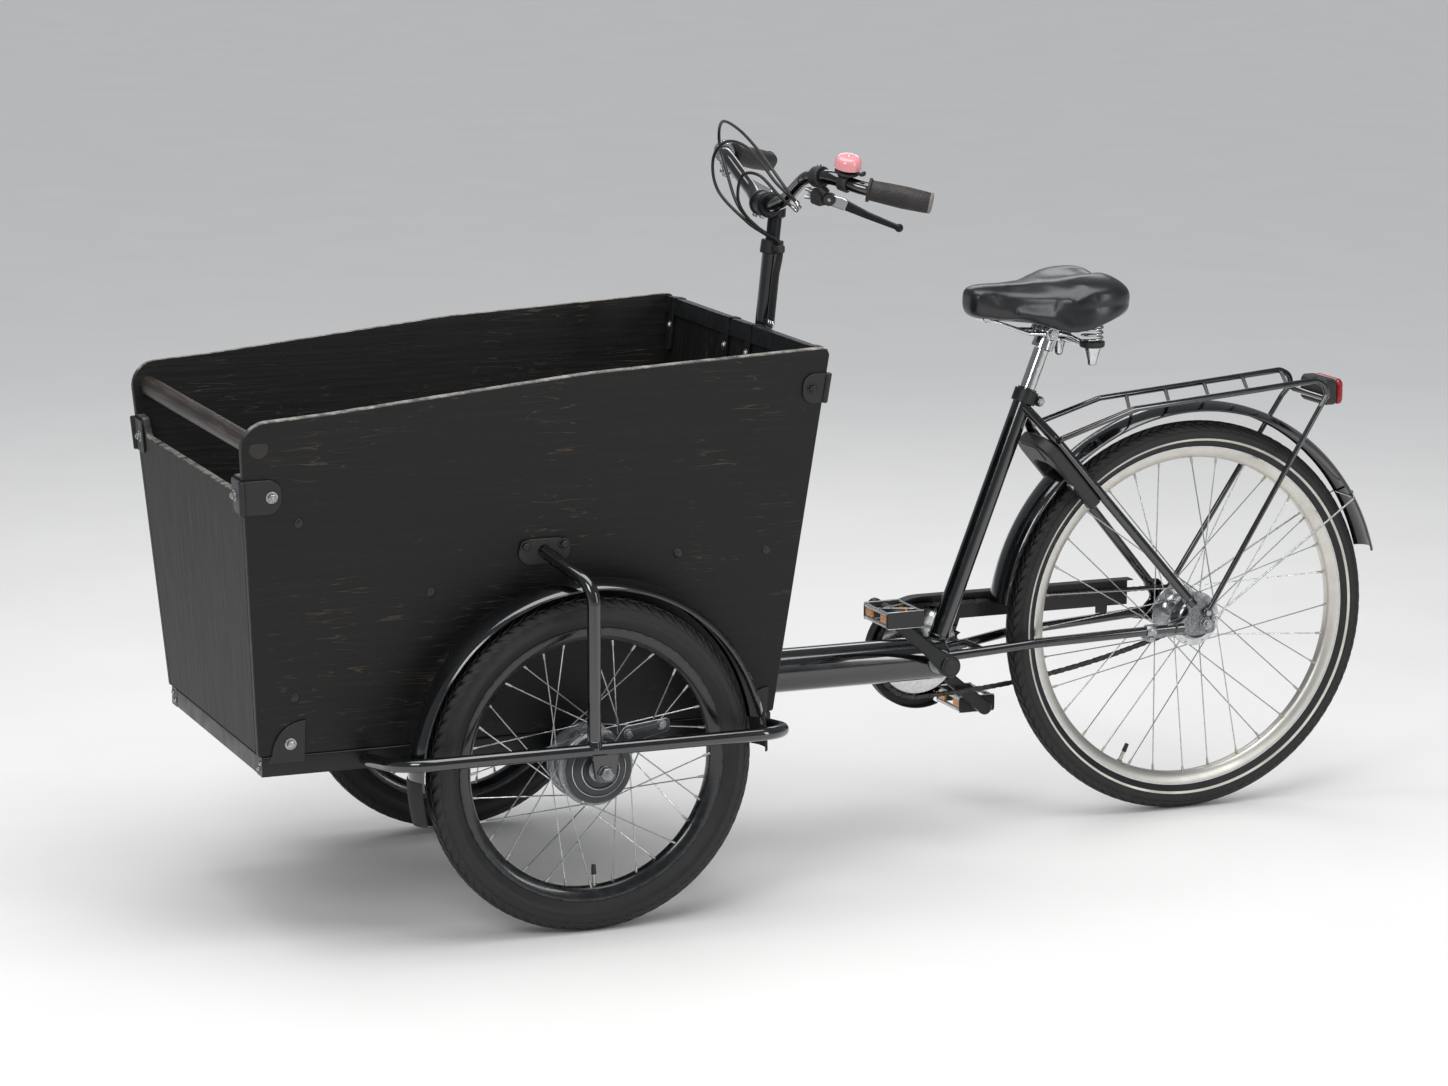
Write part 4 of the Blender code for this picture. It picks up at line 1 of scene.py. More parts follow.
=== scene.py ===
"""The looks of a front-loading cargo tricycle: a black plywood box on two steered wheels, and a bicycle
rear half. Lengths are metres. Pieces are built in coordinates measured from the ground under the rear
axle, X forward, Y to the rider's left and Z up, and then moved to where the frame holds that axle."""
import math

import bmesh
import bpy
from mathutils import Matrix, Vector


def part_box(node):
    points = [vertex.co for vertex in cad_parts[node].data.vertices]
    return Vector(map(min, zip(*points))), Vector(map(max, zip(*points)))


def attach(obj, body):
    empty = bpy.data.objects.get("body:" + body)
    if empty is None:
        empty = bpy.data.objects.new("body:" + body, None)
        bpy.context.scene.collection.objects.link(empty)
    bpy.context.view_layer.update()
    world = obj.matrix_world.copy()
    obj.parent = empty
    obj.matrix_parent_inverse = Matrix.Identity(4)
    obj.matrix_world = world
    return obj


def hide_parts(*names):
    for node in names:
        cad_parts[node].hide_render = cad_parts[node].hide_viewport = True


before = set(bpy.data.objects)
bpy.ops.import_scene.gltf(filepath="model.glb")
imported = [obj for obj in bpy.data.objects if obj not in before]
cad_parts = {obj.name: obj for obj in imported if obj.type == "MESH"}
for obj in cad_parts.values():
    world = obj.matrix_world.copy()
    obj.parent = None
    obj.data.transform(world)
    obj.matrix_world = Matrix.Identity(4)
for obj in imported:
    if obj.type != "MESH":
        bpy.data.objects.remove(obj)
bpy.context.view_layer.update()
axle_low, axle_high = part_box("rear_axle")
AXLE_X = (axle_low[0] + axle_high[0]) / 2

# Studio: the camera stands ahead of the tricycle on its left, a little above the box, with a long lens.
# The floor is pale matt paper to the horizon, and large soft panels light it from above.
CAMERA_PLACE = (3.3215, 6.1438, 1.818)
CAMERA_YAW = math.radians(-112.12)
CAMERA_PITCH = math.radians(-11.19)
CAMERA_ROLL = math.radians(0.18)
FOCAL_PIXELS = 4289
FRAME_PIXELS = (1448, 1086)


def linear(code):
    """The linear RGBA of an sRGB hexadecimal colour."""
    channels = [int(code[start:start + 2], 16) / 255 for start in (0, 2, 4)]
    return (*(c / 12.92 if c <= 0.04045 else ((c + 0.055) / 1.055) ** 2.4 for c in channels), 1.0)


def plug(node, links):
    """Links a node's inputs, each from a socket or from another node's first output."""
    for key, source in links.items():
        node.id_data.links.new(getattr(source, "outputs", [source])[0], node.inputs[key])


def add(tree, kind, settings, links=None):
    """A node with its settings and its links."""
    node = tree.nodes.new("ShaderNode" + kind)
    for key, value in settings.items():
        if key == "stops":
            ramp = node.color_ramp
            ramp.elements.remove(ramp.elements[1])
            for place, code in value:
                stop = ramp.elements[0] if place == value[0][0] else ramp.elements.new(place)
                stop.position = place
                stop.color = linear(code)
        elif isinstance(key, int) or key in node.inputs:
            node.inputs[key].default_value = value
        else:
            setattr(node, key, value)
    plug(node, links or {})
    return node


def new_material(name, metallic, roughness, **sockets):
    """A material, its tree, its Principled shader with uniform values set, and the object coordinates."""
    material = bpy.data.materials.new(name)
    material.use_nodes = True
    shader = material.node_tree.nodes["Principled BSDF"]
    shader.inputs["Metallic"].default_value = metallic
    shader.inputs["Roughness"].default_value = roughness
    for key, value in sockets.items():
        shader.inputs[key.replace("_", " ")].default_value = value
    tree = material.node_tree
    return material, tree, shader, add(tree, "TexCoord", {}).outputs["Object"]


camera_data = bpy.data.cameras.new("camera")
camera_data.sensor_width = 36
camera_data.lens = 36 * FOCAL_PIXELS / FRAME_PIXELS[0]
camera_data.clip_end = 100
camera = bpy.data.objects.new("camera", camera_data)
ahead = Vector((
    math.cos(CAMERA_PITCH) * math.cos(CAMERA_YAW),
    math.cos(CAMERA_PITCH) * math.sin(CAMERA_YAW),
    math.sin(CAMERA_PITCH),
))
level_right = ahead.cross(Vector((0, 0, 1))).normalized()
level_up = level_right.cross(ahead)
right = level_right * math.cos(CAMERA_ROLL) + level_up * math.sin(CAMERA_ROLL)
up = level_up * math.cos(CAMERA_ROLL) - level_right * math.sin(CAMERA_ROLL)
turn = Matrix((right, up, -ahead)).transposed().to_4x4()
camera.matrix_world = Matrix.Translation(Vector(CAMERA_PLACE) + Vector((AXLE_X, 0, 0))) @ turn
bpy.context.scene.collection.objects.link(camera)
bpy.context.scene.camera = camera

# Matt studio paper: it scatters light evenly, and its fibres only show as a faint unevenness.
paper, tree, shader, spot = new_material("studio_paper", 0.0, 0.85, Specular_IOR_Level=0.2)
fibre = add(tree, "TexNoise", {"Scale": 3.0, "Detail": 4.0}, {"Vector": spot})
tone = add(tree, "ValToRGB", {"stops": [(0.35, "dedddb"), (0.65, "e0dfdd")]}, {"Fac": fibre})
plug(shader, {"Base Color": tone})

FLOOR_HALF = 90.0
mesh = bpy.data.meshes.new("studio_floor")
corners = [(x * FLOOR_HALF, y * FLOOR_HALF, 0) for x, y in ((-1, -1), (1, -1), (1, 1), (-1, 1))]
mesh.from_pydata(corners, [], [(0, 1, 2, 3)])
mesh.materials.append(paper)
floor = bpy.data.objects.new("studio_floor", mesh)
bpy.context.scene.collection.objects.link(floor)

# Four soft panels: a broad one overhead, a key from the front left, a low strip and one behind.
PANELS = (
    ("overhead", (0.4, 0.4, 3.4), (0.0, 0.0, 0.4), (3.6, 2.2), 92),
    ("front_key", (2.6, 2.4, 2.4), (0.4, 0.0, 0.5), (1.2, 1.2), 34),
    ("side_strip", (-1.9, 3.2, 1.5), (-0.3, 0.0, 0.4), (0.5, 2.0), 22),
    ("back_panel", (-1.2, -3.0, 2.6), (0.0, 0.0, 0.6), (2.4, 0.8), 16),
)
for name, place, target, size, power in PANELS:
    light = bpy.data.lights.new(name, "AREA")
    light.shape = "RECTANGLE"
    light.size, light.size_y = size
    light.energy = power
    lamp = bpy.data.objects.new(name, light)
    lamp.location = place
    lamp.rotation_euler = (Vector(target) - Vector(place)).to_track_quat("-Z", "Y").to_euler()
    bpy.context.scene.collection.objects.link(lamp)

world = bpy.data.worlds.new("studio")
bpy.context.scene.world = world
world.use_nodes = True
tree = world.node_tree
tree.nodes.clear()
ray = add(tree, "LightPath", {})
# Matt surfaces are lit by a bright white room, polished ones mirror its dimmer walls, and the camera sees
# a backdrop as pale as the paper.
seen = add(tree, "Math", {"operation": "MAXIMUM"}, {0: ray.outputs["Is Camera Ray"],
                                                    1: ray.outputs["Is Transmission Ray"]})
lit = add(tree, "Background", {"Color": linear("e4e6ea"), "Strength": 0.84})
mirrored = add(tree, "Background", {"Color": linear("7d8084"), "Strength": 1.0})
shown = add(tree, "Background", {"Color": linear("d2d2d2"), "Strength": 1.0})
room = add(tree, "MixShader", {}, {0: ray.outputs["Is Glossy Ray"], 1: lit, 2: mirrored})
either = add(tree, "MixShader", {}, {0: seen, 1: room, 2: shown})
end = add(tree, "OutputWorld", {}, {"Surface": either})
bpy.context.scene.view_settings.view_transform = "Standard"

# Box panels: 12 mm birch plywood, stained black and varnished, sawn to a sloping tub whose sides stand
# above the ends. Years outdoors opened fine splits along the grain and wore the edges to bare wood, and the
# edges' pale grey is partly a painted highlight.
PANEL, SLIT = 0.012, 0.0006
FOOT_Z = 0.2923
REAR_TOP, FRONT_TOP, FRONT_DIP = 0.853, 0.718, 0.690
FLOOR_LOW, FLOOR_TOP = 0.357, 0.366
FOOT_HALF = 0.2525
FLARE = math.atan(0.0725 / 0.5687)
REAR_RAKE = math.atan(0.060 / 0.5687)
FRONT_LEAN = math.atan(0.037 / 0.5037)


def side_y(z):
    """The left panel's outer face at a height."""
    return FOOT_HALF + (z - FOOT_Z) * math.tan(FLARE)


def rear_x(z):
    """The rear panel's outer face at a height."""
    return 0.845 - (z - FOOT_Z) * math.tan(REAR_RAKE)


def front_x(z):
    """The front panel's outer face at a height."""
    return 1.660 + (z - FOOT_Z) * math.tan(FRONT_LEAN)


def axes(across, upward, origin):
    """A frame from its local X and Y directions."""
    outward = Vector(across).cross(Vector(upward))
    turned = Matrix((Vector(across), Vector(upward), outward)).transposed().to_4x4()
    return Matrix.Translation(origin) @ turned


# Local X, Y and Z: forward, up and to the right; to the left, up and forward; and a mirror across the middle.
UPRIGHT = axes((1, 0, 0), (0, 0, 1), (0, 0, 0))
ACROSS = axes((0, 1, 0), (0, 0, 1), (0, 0, 0))
MIRROR = Matrix.Diagonal((1, -1, 1, 1))


def side_frame(x, z, out=0.0):
    """On the left panel's face: X backward, Y up its slope, Z outwards."""
    upward = Vector((0, math.sin(FLARE), math.cos(FLARE)))
    outward = Vector((-1, 0, 0)).cross(upward)
    return axes((-1, 0, 0), upward, Vector((x, side_y(z), z)) + outward * out)


def front_frame(y, z, out=0.0):
    """On the front panel's face: X to the left, Y up its slope, Z outwards."""
    upward = Vector((math.sin(FRONT_LEAN), 0, math.cos(FRONT_LEAN)))
    outward = Vector((0, 1, 0)).cross(upward)
    return axes((0, 1, 0), upward, Vector((front_x(z), y, z)) + outward * out)


def rear_frame(y, z, out=0.0):
    """On the rear panel's outer face: X to the right, Y up its slope, Z outwards."""
    upward = Vector((-math.sin(REAR_RAKE), 0, math.cos(REAR_RAKE)))
    outward = Vector((0, -1, 0)).cross(upward)
    return axes((0, -1, 0), upward, Vector((rear_x(z), y, z)) + outward * out)


def fillet(back, corner, forth, radius):
    """A rounded corner's centre, and the arms from it to the rounding's two ends."""
    back, forth = back - corner, forth - corner
    half = back.angle(forth) / 2
    reach = min(radius / math.tan(half), back.length * 0.49, forth.length * 0.49)
    back, forth = back.normalized() * reach, forth.normalized() * reach
    centre = corner + (back + forth).normalized() * reach / math.cos(half)
    return centre, corner + back - centre, corner + forth - centre


def eased(corners, radius, steps=6):
    """An outline with its corners rounded, each by its own radius or all by one."""
    corners = [Vector(corner) for corner in corners]
    outline = []
    for index, corner in enumerate(corners):
        size = radius[index] if isinstance(radius, (list, tuple)) else radius
        if size == 0:
            outline.append(corner)
            continue
        centre, first, last = fillet(corners[index - 1], corner, corners[(index + 1) % len(corners)], size)
        for step in range(steps + 1):
            mixed = first.lerp(last, step / steps).normalized()
            outline.append(centre + mixed * first.length)
    return outline


def inset(outline, amount):
    """The outline moved inwards, wherever its corners go."""
    area = sum(a.x * b.y - b.x * a.y for a, b in zip(outline, outline[1:] + outline[:1]))
    sign = 1 if area > 0 else -1
    moved = []
    for index, point in enumerate(outline):
        before = (point - outline[index - 1]).normalized()
        after = (outline[(index + 1) % len(outline)] - point).normalized()
        inward = (Vector((-before.y, before.x)) + Vector((-after.y, after.x))).normalized()
        stretch = max(0.3, abs(inward.dot(Vector((-before.y, before.x)))))
        moved.append(point + inward * sign * amount / stretch)
    return moved


def mm(*lengths, at=(0, 0)):
    """Points from pairs of lengths in millimetres, measured from a place in metres."""
    return [(at[0] + a / 1000, at[1] + b / 1000) for a, b in zip(lengths[::2], lengths[1::2])]


def square(a_low, a_high, b_low, b_high, radius=0.003, steps=4):
    """A rectangle with rounded corners."""
    return eased([(a_low, b_low), (a_high, b_low), (a_high, b_high), (a_low, b_high)], radius, steps)


def arc(radius, start, end, steps, at=(0, 0)):
    """Points on a circle between two angles in degrees."""
    angles = [math.radians(start + (end - start) * step / steps) for step in range(steps + 1)]
    return [(at[0] + radius * math.cos(angle), at[1] + radius * math.sin(angle)) for angle in angles]


def about(axle, reach, angle, y=0.0):
    """The point at a distance and an angle round an axle that lies across, and at a distance along it."""
    return Vector(axle) + Vector((reach * math.cos(angle), y, reach * math.sin(angle)))


def joined(bm, rings, slot=0):
    """Faces between each ring of points and the next; a ring may also be a single point."""
    for first, second in zip(rings, rings[1:]):
        count = max(len(first), len(second))
        for step in range(count if count > 1 else 0):
            after = (step + 1) % count
            corners = (first[step % len(first)], first[after % len(first)], second[after % len(second)],
                       second[step % len(second)])
            bm.faces.new(tuple(dict.fromkeys(corners))).material_index = slot


def plate(bm, outline, low, high, place, slot=0, edge_slot=None, chamfer=0.0006):
    """A flat piece between two levels of its frame, with its edges eased."""
    outline = [Vector(point) for point in outline]
    small = inset(outline, chamfer)
    step = chamfer if high > low else -chamfer
    levels = [(small, low), (outline, low + step), (outline, high - step), (small, high)]
    rings = [[bm.verts.new(place @ Vector((*point, level))) for point in ring] for ring, level in levels]
    for ring in (rings[0][::-1], rings[-1]):
        bm.faces.new(ring).material_index = slot
    joined(bm, rings, slot if edge_slot is None else edge_slot)


def lathe(bm, profile, centre, steps=24, slot=0, closed=False, axis=(0, 1, 0)):
    """A profile of (radius, height) points turned about an axis; a radius of nought is a point."""
    place = Matrix.Translation(centre) @ Vector(axis).to_track_quat("Z", "Y").to_matrix().to_4x4()
    rings = []
    for radius, height in profile:
        angles = [2 * math.pi * step / steps for step in range(steps if radius > 1e-7 else 1)]
        rings.append([
            bm.verts.new(place @ Vector((radius * math.cos(angle), radius * math.sin(angle), height)))
            for angle in angles
        ])
    joined(bm, rings + rings[:1] if closed else rings, slot)


def bar(bm, start, end, radius, end_radius=None, sides=16, slot=0, chamfer=0.0006):
    """A round bar or a cone between two points, its ends chamfered."""
    start, end = Vector(start), Vector(end)
    length = (end - start).length
    far = radius if end_radius is None else end_radius
    chamfer = min(chamfer, radius * 0.4, far * 0.4, length * 0.3)
    profile = [(0, 0), (radius - chamfer, 0), (radius, chamfer), (far, length - chamfer)]
    profile += [(far - chamfer, length), (0, length)]
    lathe(bm, profile, start, sides, slot, axis=end - start)


def pin(bm, x, z, start_y, end_y, radius, sides=16, slot=0, chamfer=0.0006):
    """A round bar straight across the vehicle."""
    bar(bm, (x, start_y, z), (x, end_y, z), radius, None, sides, slot, chamfer)


def collar(bm, centre, axis, bore, radius, half, ease, steps, slot=0):
    """A ring with eased outer edges; ease is what they lose in radius and in height."""
    small, low = radius - ease[0], half - ease[1]
    ring = [(bore, -half), (small, -half), (radius, -low), (radius, low), (small, half), (bore, half)]
    lathe(bm, ring, centre, steps, slot, True, axis)


def bolt(bm, at, axis, radius, slot, head, height, washer=True):
    """A bolt's washer and head standing on a face: hex, dome or socket."""
    at, axis = Vector(at), Vector(axis).normalized()
    lift = 0.0
    if washer:
        bar(bm, at - axis * 0.0004, at + axis * 0.0012, radius * 1.45, sides=20, slot=slot, chamfer=0.0003)
        lift = 0.0011
    foot = at + axis * lift
    if head == "hex":
        ring = [(0, 0), (radius, 0), (radius, height * 0.8), (radius * 0.84, height), (0, height)]
        lathe(bm, ring, foot, 6, slot, axis=axis)
    elif head == "dome":
        turns = [math.radians(degrees) for degrees in range(0, 90, 15)]
        profile = [(radius * math.cos(turn), height * math.sin(turn)) for turn in turns]
        lathe(bm, [*profile, (0, height)], foot, 20, slot, axis=axis)
    else:
        ring = [(0, 0), (radius, 0), (radius, height * 0.8), (radius * 0.9, height), (radius * 0.55, height)]
        lathe(bm, [*ring, (radius * 0.5, height * 0.4), (0, height * 0.4)], foot, 20, slot, axis=axis)


def piece(name, bm, finishes, body, smooth=35, flip=False, keep=False):
    """The finished mesh as an object that rides on a body and stands for the CAD node of its name."""
    bmesh.ops.recalc_face_normals(bm, faces=bm.faces)
    mesh = bpy.data.meshes.new(name)
    bm.to_mesh(mesh)
    if not keep:
        bm.free()
    if flip:
        mesh.transform(MIRROR)
        mesh.flip_normals()
    for finish in finishes:
        mesh.materials.append(finish)
    mesh.shade_smooth()
    mesh.set_sharp_from_angle(angle=math.radians(smooth))
    obj = bpy.data.objects.new(name, mesh)
    obj.location.x = AXLE_X
    bpy.context.scene.collection.objects.link(obj)
    bpy.context.view_layer.update()
    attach(obj, body)
    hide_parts(name)
    return obj


def both(name, bm, finishes, body, smooth=35):
    """A left piece and its mirror image on the right; their names and bodies hold the side's word."""
    for side, flip in (("left", False), ("right", True)):
        piece(f"{name}_{side}", bm, finishes, body.replace("SIDE", side), smooth, flip, keep=not flip)


def stained_birch(name, along, hide):
    """Black stain over birch veneer: the grain runs along one axis, and hairline splits show the wood."""
    material, tree, shader, spot = new_material(name, 0.0, 0.5, IOR=1.5, Specular_IOR_Level=0.35)
    # Veneer grain lies 1 to 3 mm apart and runs 100 to 300 mm; it is drawn twice as coarse to show.
    stretch = [150.0, 150.0, 150.0]
    stretch[along] = 6.0
    grain_place = add(tree, "Mapping", {"Scale": stretch}, {"Vector": spot})
    grain = add(tree, "TexNoise", {"Scale": 1.0, "Detail": 8.0, "Roughness": 0.62, "Distortion": 0.25},
                {"Vector": grain_place})
    # The splits are hairs 20 to 60 mm long: where a stretched noise crosses its middle level.
    stretch = [74.0, 74.0, 74.0]
    stretch[along] = 6.0
    split_place = add(tree, "Mapping", {"Scale": stretch}, {"Vector": spot})
    split = add(tree, "TexNoise", {"Scale": 1.0, "Detail": 2.0, "Roughness": 0.5, "Distortion": 0.2},
                {"Vector": split_place})
    off = add(tree, "Math", {"operation": "SUBTRACT", 1: 0.5}, {0: split})
    gap = add(tree, "Math", {"operation": "ABSOLUTE"}, {0: off})
    thin = add(tree, "MapRange", {"From Min": 0.0, "From Max": 0.013, "To Min": 1.0, "To Max": 0.0},
               {"Value": gap})
    weather = add(tree, "TexNoise", {"Scale": 7.0, "Detail": 7.0, "Roughness": 0.7}, {"Vector": spot})
    patchy = add(tree, "MapRange", {"From Min": hide, "From Max": hide + 0.14}, {"Value": weather})
    open_split = add(tree, "Math", {"operation": "MULTIPLY", "use_clamp": True}, {0: thin, 1: patchy})
    stain = add(tree, "ValToRGB", {"stops": [(0.30, "060505"), (0.52, "0c0b0a"), (0.74, "181512")]},
                {"Fac": grain})
    worn = add(tree, "Mix", {"data_type": "RGBA", 7: linear("453a2f")}, {0: open_split, 6: stain})
    gloss = add(tree, "MapRange", {"To Min": 0.40, "To Max": 0.66}, {"Value": grain})
    groove = add(tree, "Math", {"operation": "MULTIPLY_ADD", 1: -0.9}, {0: open_split, 2: grain})
    bump = add(tree, "Bump", {"Strength": 0.5, "Distance": 0.0010}, {"Height": groove})
    plug(shader, {"Base Color": worn.outputs[2], "Roughness": gloss, "Normal": bump})
    return material


def worn_highlit_edge(name, along):
    """A panel's sawn edge: plies as fine lines along it, stained black, rubbed bare in patches, and painted
    lighter where it faces up as a painted highlight.
    """
    material, tree, shader, spot = new_material(name, 0.0, 0.5, IOR=1.5)
    # Seven plies make 12 mm, so they lie 1.7 mm apart; rubbed patches are 10 to 40 mm long.
    stretch = [590.0, 590.0, 590.0]
    stretch[along] = 8.0
    ply_place = add(tree, "Mapping", {"Scale": stretch}, {"Vector": spot})
    plies = add(tree, "TexNoise", {"Scale": 1.0, "Detail": 3.0}, {"Vector": ply_place})
    rub = add(tree, "TexNoise", {"Scale": 42.0, "Detail": 7.0, "Roughness": 0.65}, {"Vector": spot})
    # Painted highlight: the edge is made lighter where it faces up, as if lit from above, on top of the
    # rubbed patches.
    facing = add(tree, "SeparateXYZ", {}, {0: spot.node.outputs["Normal"]})
    upper = add(tree, "MapRange", {"From Min": 0.3, "From Max": 0.8, "To Min": -0.06, "To Max": 0.22},
                {"Value": facing.outputs["Z"]})
    bare_and_highlit = add(tree, "Math", {"operation": "ADD"}, {0: rub, 1: upper})
    # The pale greys stand partly for bare wood and partly for a painted highlight along the edge.
    tone = add(tree, "ValToRGB", {"stops": [(0.46, "100f0e"), (0.62, "423f3b"), (0.76, "8a8680"),
                                            (0.9, "aaa6a0")]}, {"Fac": bare_and_highlit})
    layered = add(tree, "Mix", {"data_type": "RGBA", "blend_type": "MULTIPLY", 0: 0.5},
                  {6: tone, 7: plies.outputs["Color"]})
    dull = add(tree, "MapRange", {"To Min": 0.36, "To Max": 0.7}, {"Value": rub})
    bump = add(tree, "Bump", {"Strength": 0.5, "Distance": 0.0005}, {"Height": plies})
    plug(shader, {"Base Color": layered.outputs[2], "Roughness": dull, "Normal": bump})
    return material


# Stained birch plywood: a thin satin varnish over black stain, nearly black to the eye, with brown hairline
# splits; the sides' grain lies along the box and the ends' stands upright. Sawn edges show as pale lines,
# partly worn bare and partly a painted highlight.
side_birch = stained_birch("stained_birch_lengthwise", 0, 0.48)
end_birch = stained_birch("stained_birch_upright", 2, 0.54)
side_edge = worn_highlit_edge("worn_highlit_ply_edge_lengthwise", 0)
end_edge = worn_highlit_edge("worn_highlit_ply_edge_crosswise", 1)


def metal(name, base, tone, metallic, rough, spread, mottle, scratch=0.0, **sockets):
    """A metal or paint whose colour and gloss wander over some millimetres, with fine surface marks."""
    material, tree, shader, spot = new_material(name, metallic, rough, **sockets)
    cloud = add(tree, "TexNoise", {"Scale": 1 / mottle, "Detail": 5.0, "Roughness": 0.6}, {"Vector": spot})
    mix = add(tree, "ValToRGB", {"stops": [(0.32, base), (0.72, tone)]}, {"Fac": cloud})
    gloss = add(tree, "MapRange", {"From Min": 0.3, "From Max": 0.7, "To Min": rough,
                                   "To Max": rough + spread}, {"Value": cloud})
    marks = add(tree, "TexNoise", {"Scale": 420.0, "Detail": 3.0}, {"Vector": spot})
    bump = add(tree, "Bump", {"Strength": 0.12 + scratch, "Distance": 0.0003}, {"Height": marks})
    plug(shader, {"Base Color": mix, "Roughness": gloss, "Normal": bump})
    return material


# Bolts of bright zinc-plated steel, and brackets of steel sprayed satin black and scuffed in use.
zinc = metal("bright_zinc_plate", "b9babc", "8d8f92", 1.0, 0.28, 0.2, 0.004, 0.2)
satin_black = metal("satin_black_steel", "0b0c0d", "161719", 0.0, 0.34, 0.16, 0.02, 0.25, IOR=1.5)

SIDE_CORNERS = [
    (rear_x(FOOT_Z), FOOT_Z), (rear_x(0.861), 0.861), (1.177, 0.84215), (1.569, 0.80445),
    (front_x(0.796), 0.796), (front_x(FOOT_Z), FOOT_Z),
]
CARRIAGE_BOLTS = ((1.606, 0.645), (1.606, 0.380), (1.402, 0.525), (1.015, 0.557), (0.872, 0.552))
flat = [(-x, (z - FOOT_Z) / math.cos(FLARE)) for x, z in SIDE_CORNERS]
outline = eased(flat, [0.004, 0.012, 0.5, 0.3, 0.040, 0.004], 8)
bm = bmesh.new()
plate(bm, outline, -PANEL, 0.0, side_frame(0, FOOT_Z), 0, 1, 0.0012)
for x, z in CARRIAGE_BOLTS:
    here = side_frame(x, z)
    bolt(bm, here.translation, here.col[2].xyz, 0.0075, 2, "dome", 0.0028, False)
both("side_panel", bm, [side_birch, side_edge, satin_black], "front")


def inner_half(z):
    """Half the room between the side panels at a height."""
    return side_y(z) - PANEL / math.cos(FLARE) - SLIT


def up_face(z, lean):
    """The distance up a leaning face from the box's foot."""
    return (z - FOOT_Z) / math.cos(lean)


bm = bmesh.new()
right = [
    (inner_half(FOOT_Z), 0.004),
    (inner_half(FRONT_TOP), up_face(FRONT_TOP, FRONT_LEAN)),
    (inner_half(FRONT_TOP) - 0.034, up_face(FRONT_TOP, FRONT_LEAN)),
    (inner_half(FRONT_DIP) - 0.044, up_face(FRONT_DIP, FRONT_LEAN)),
]
outline = right + [(-x, y) for x, y in reversed(right)]
plate(bm, eased(outline, [0, 0.003, 0.010, 0.010, 0.010, 0.010, 0.003, 0], 4), -PANEL, 0.0,
      front_frame(0, FOOT_Z), 0, 1, 0.0012)
piece("front_panel", bm, [end_birch, end_edge], "front")

bm = bmesh.new()
right = [(inner_half(z), up_face(z, REAR_RAKE)) for z in (0.335, REAR_TOP)]
plate(bm, right + [(-x, y) for x, y in reversed(right)], -PANEL, 0.0, rear_frame(0, FOOT_Z), 0, 1, 0.001)
piece("rear_panel", bm, [end_birch, end_edge], "front")

bm = bmesh.new()
floor_rear = rear_x(FLOOR_LOW) + PANEL / math.cos(REAR_RAKE) + SLIT
floor_front = front_x(FLOOR_LOW) - PANEL / math.cos(FRONT_LEAN) - SLIT
width = inner_half(FLOOR_LOW)
plate(bm, square(floor_rear, floor_front, -width, width, 0), FLOOR_LOW, FLOOR_TOP, Matrix(), 0, 1, 0.0008)
piece("floor_panel", bm, [side_birch, side_edge], "front")

# Dowel: a turned hardwood bar across the front, varnished dark brown, with weathered end grain where it
# shows in the side panels. It ties the two sides together above the low front panel.
dowel_wood, tree, shader, spot = new_material("varnished_dark_beech", 0.0, 0.42)
# Pores run along the dowel, about 2 mm apart, drawn a little coarser to show.
lengthwise = add(tree, "Mapping", {"Scale": (240.0, 9.0, 240.0)}, {"Vector": spot})
pores = add(tree, "TexNoise", {"Scale": 1.0, "Detail": 6.0, "Distortion": 0.4}, {"Vector": lengthwise})
tone = add(tree, "ValToRGB", {"stops": [(0.34, "17120f"), (0.55, "2d2420"), (0.72, "4a3d34")]},
           {"Fac": pores})
bump = add(tree, "Bump", {"Strength": 0.3, "Distance": 0.0005}, {"Height": pores})
plug(shader, {"Base Color": tone, "Normal": bump})
end_grain = metal("worn_end_grain", "1e1916", "332b24", 0.0, 0.6, 0.2, 0.003, 0.3, IOR=1.5)

DOWEL_X, DOWEL_Z = 1.668, 0.760
dowel_end = side_y(DOWEL_Z) + 0.001
bm = bmesh.new()
pin(bm, DOWEL_X, DOWEL_Z, -dowel_end + 0.001, dowel_end - 0.001, 0.015, sides=40)
for side in (1, -1):
    pin(bm, DOWEL_X, DOWEL_Z, side * (dowel_end - 0.004), side * dowel_end, 0.0146, sides=40, slot=1,
        chamfer=0.0015)
piece("front_dowel", bm, [dowel_wood, end_grain], "front")

# Corner brackets: 3 mm steel angles sprayed satin black, one leg on the side panel and one on the end,
# each leg bolted through the plywood. The front ones keep bright bolts, the rear ones are all black.
SKIN = 0.003
FIT = 0.0003


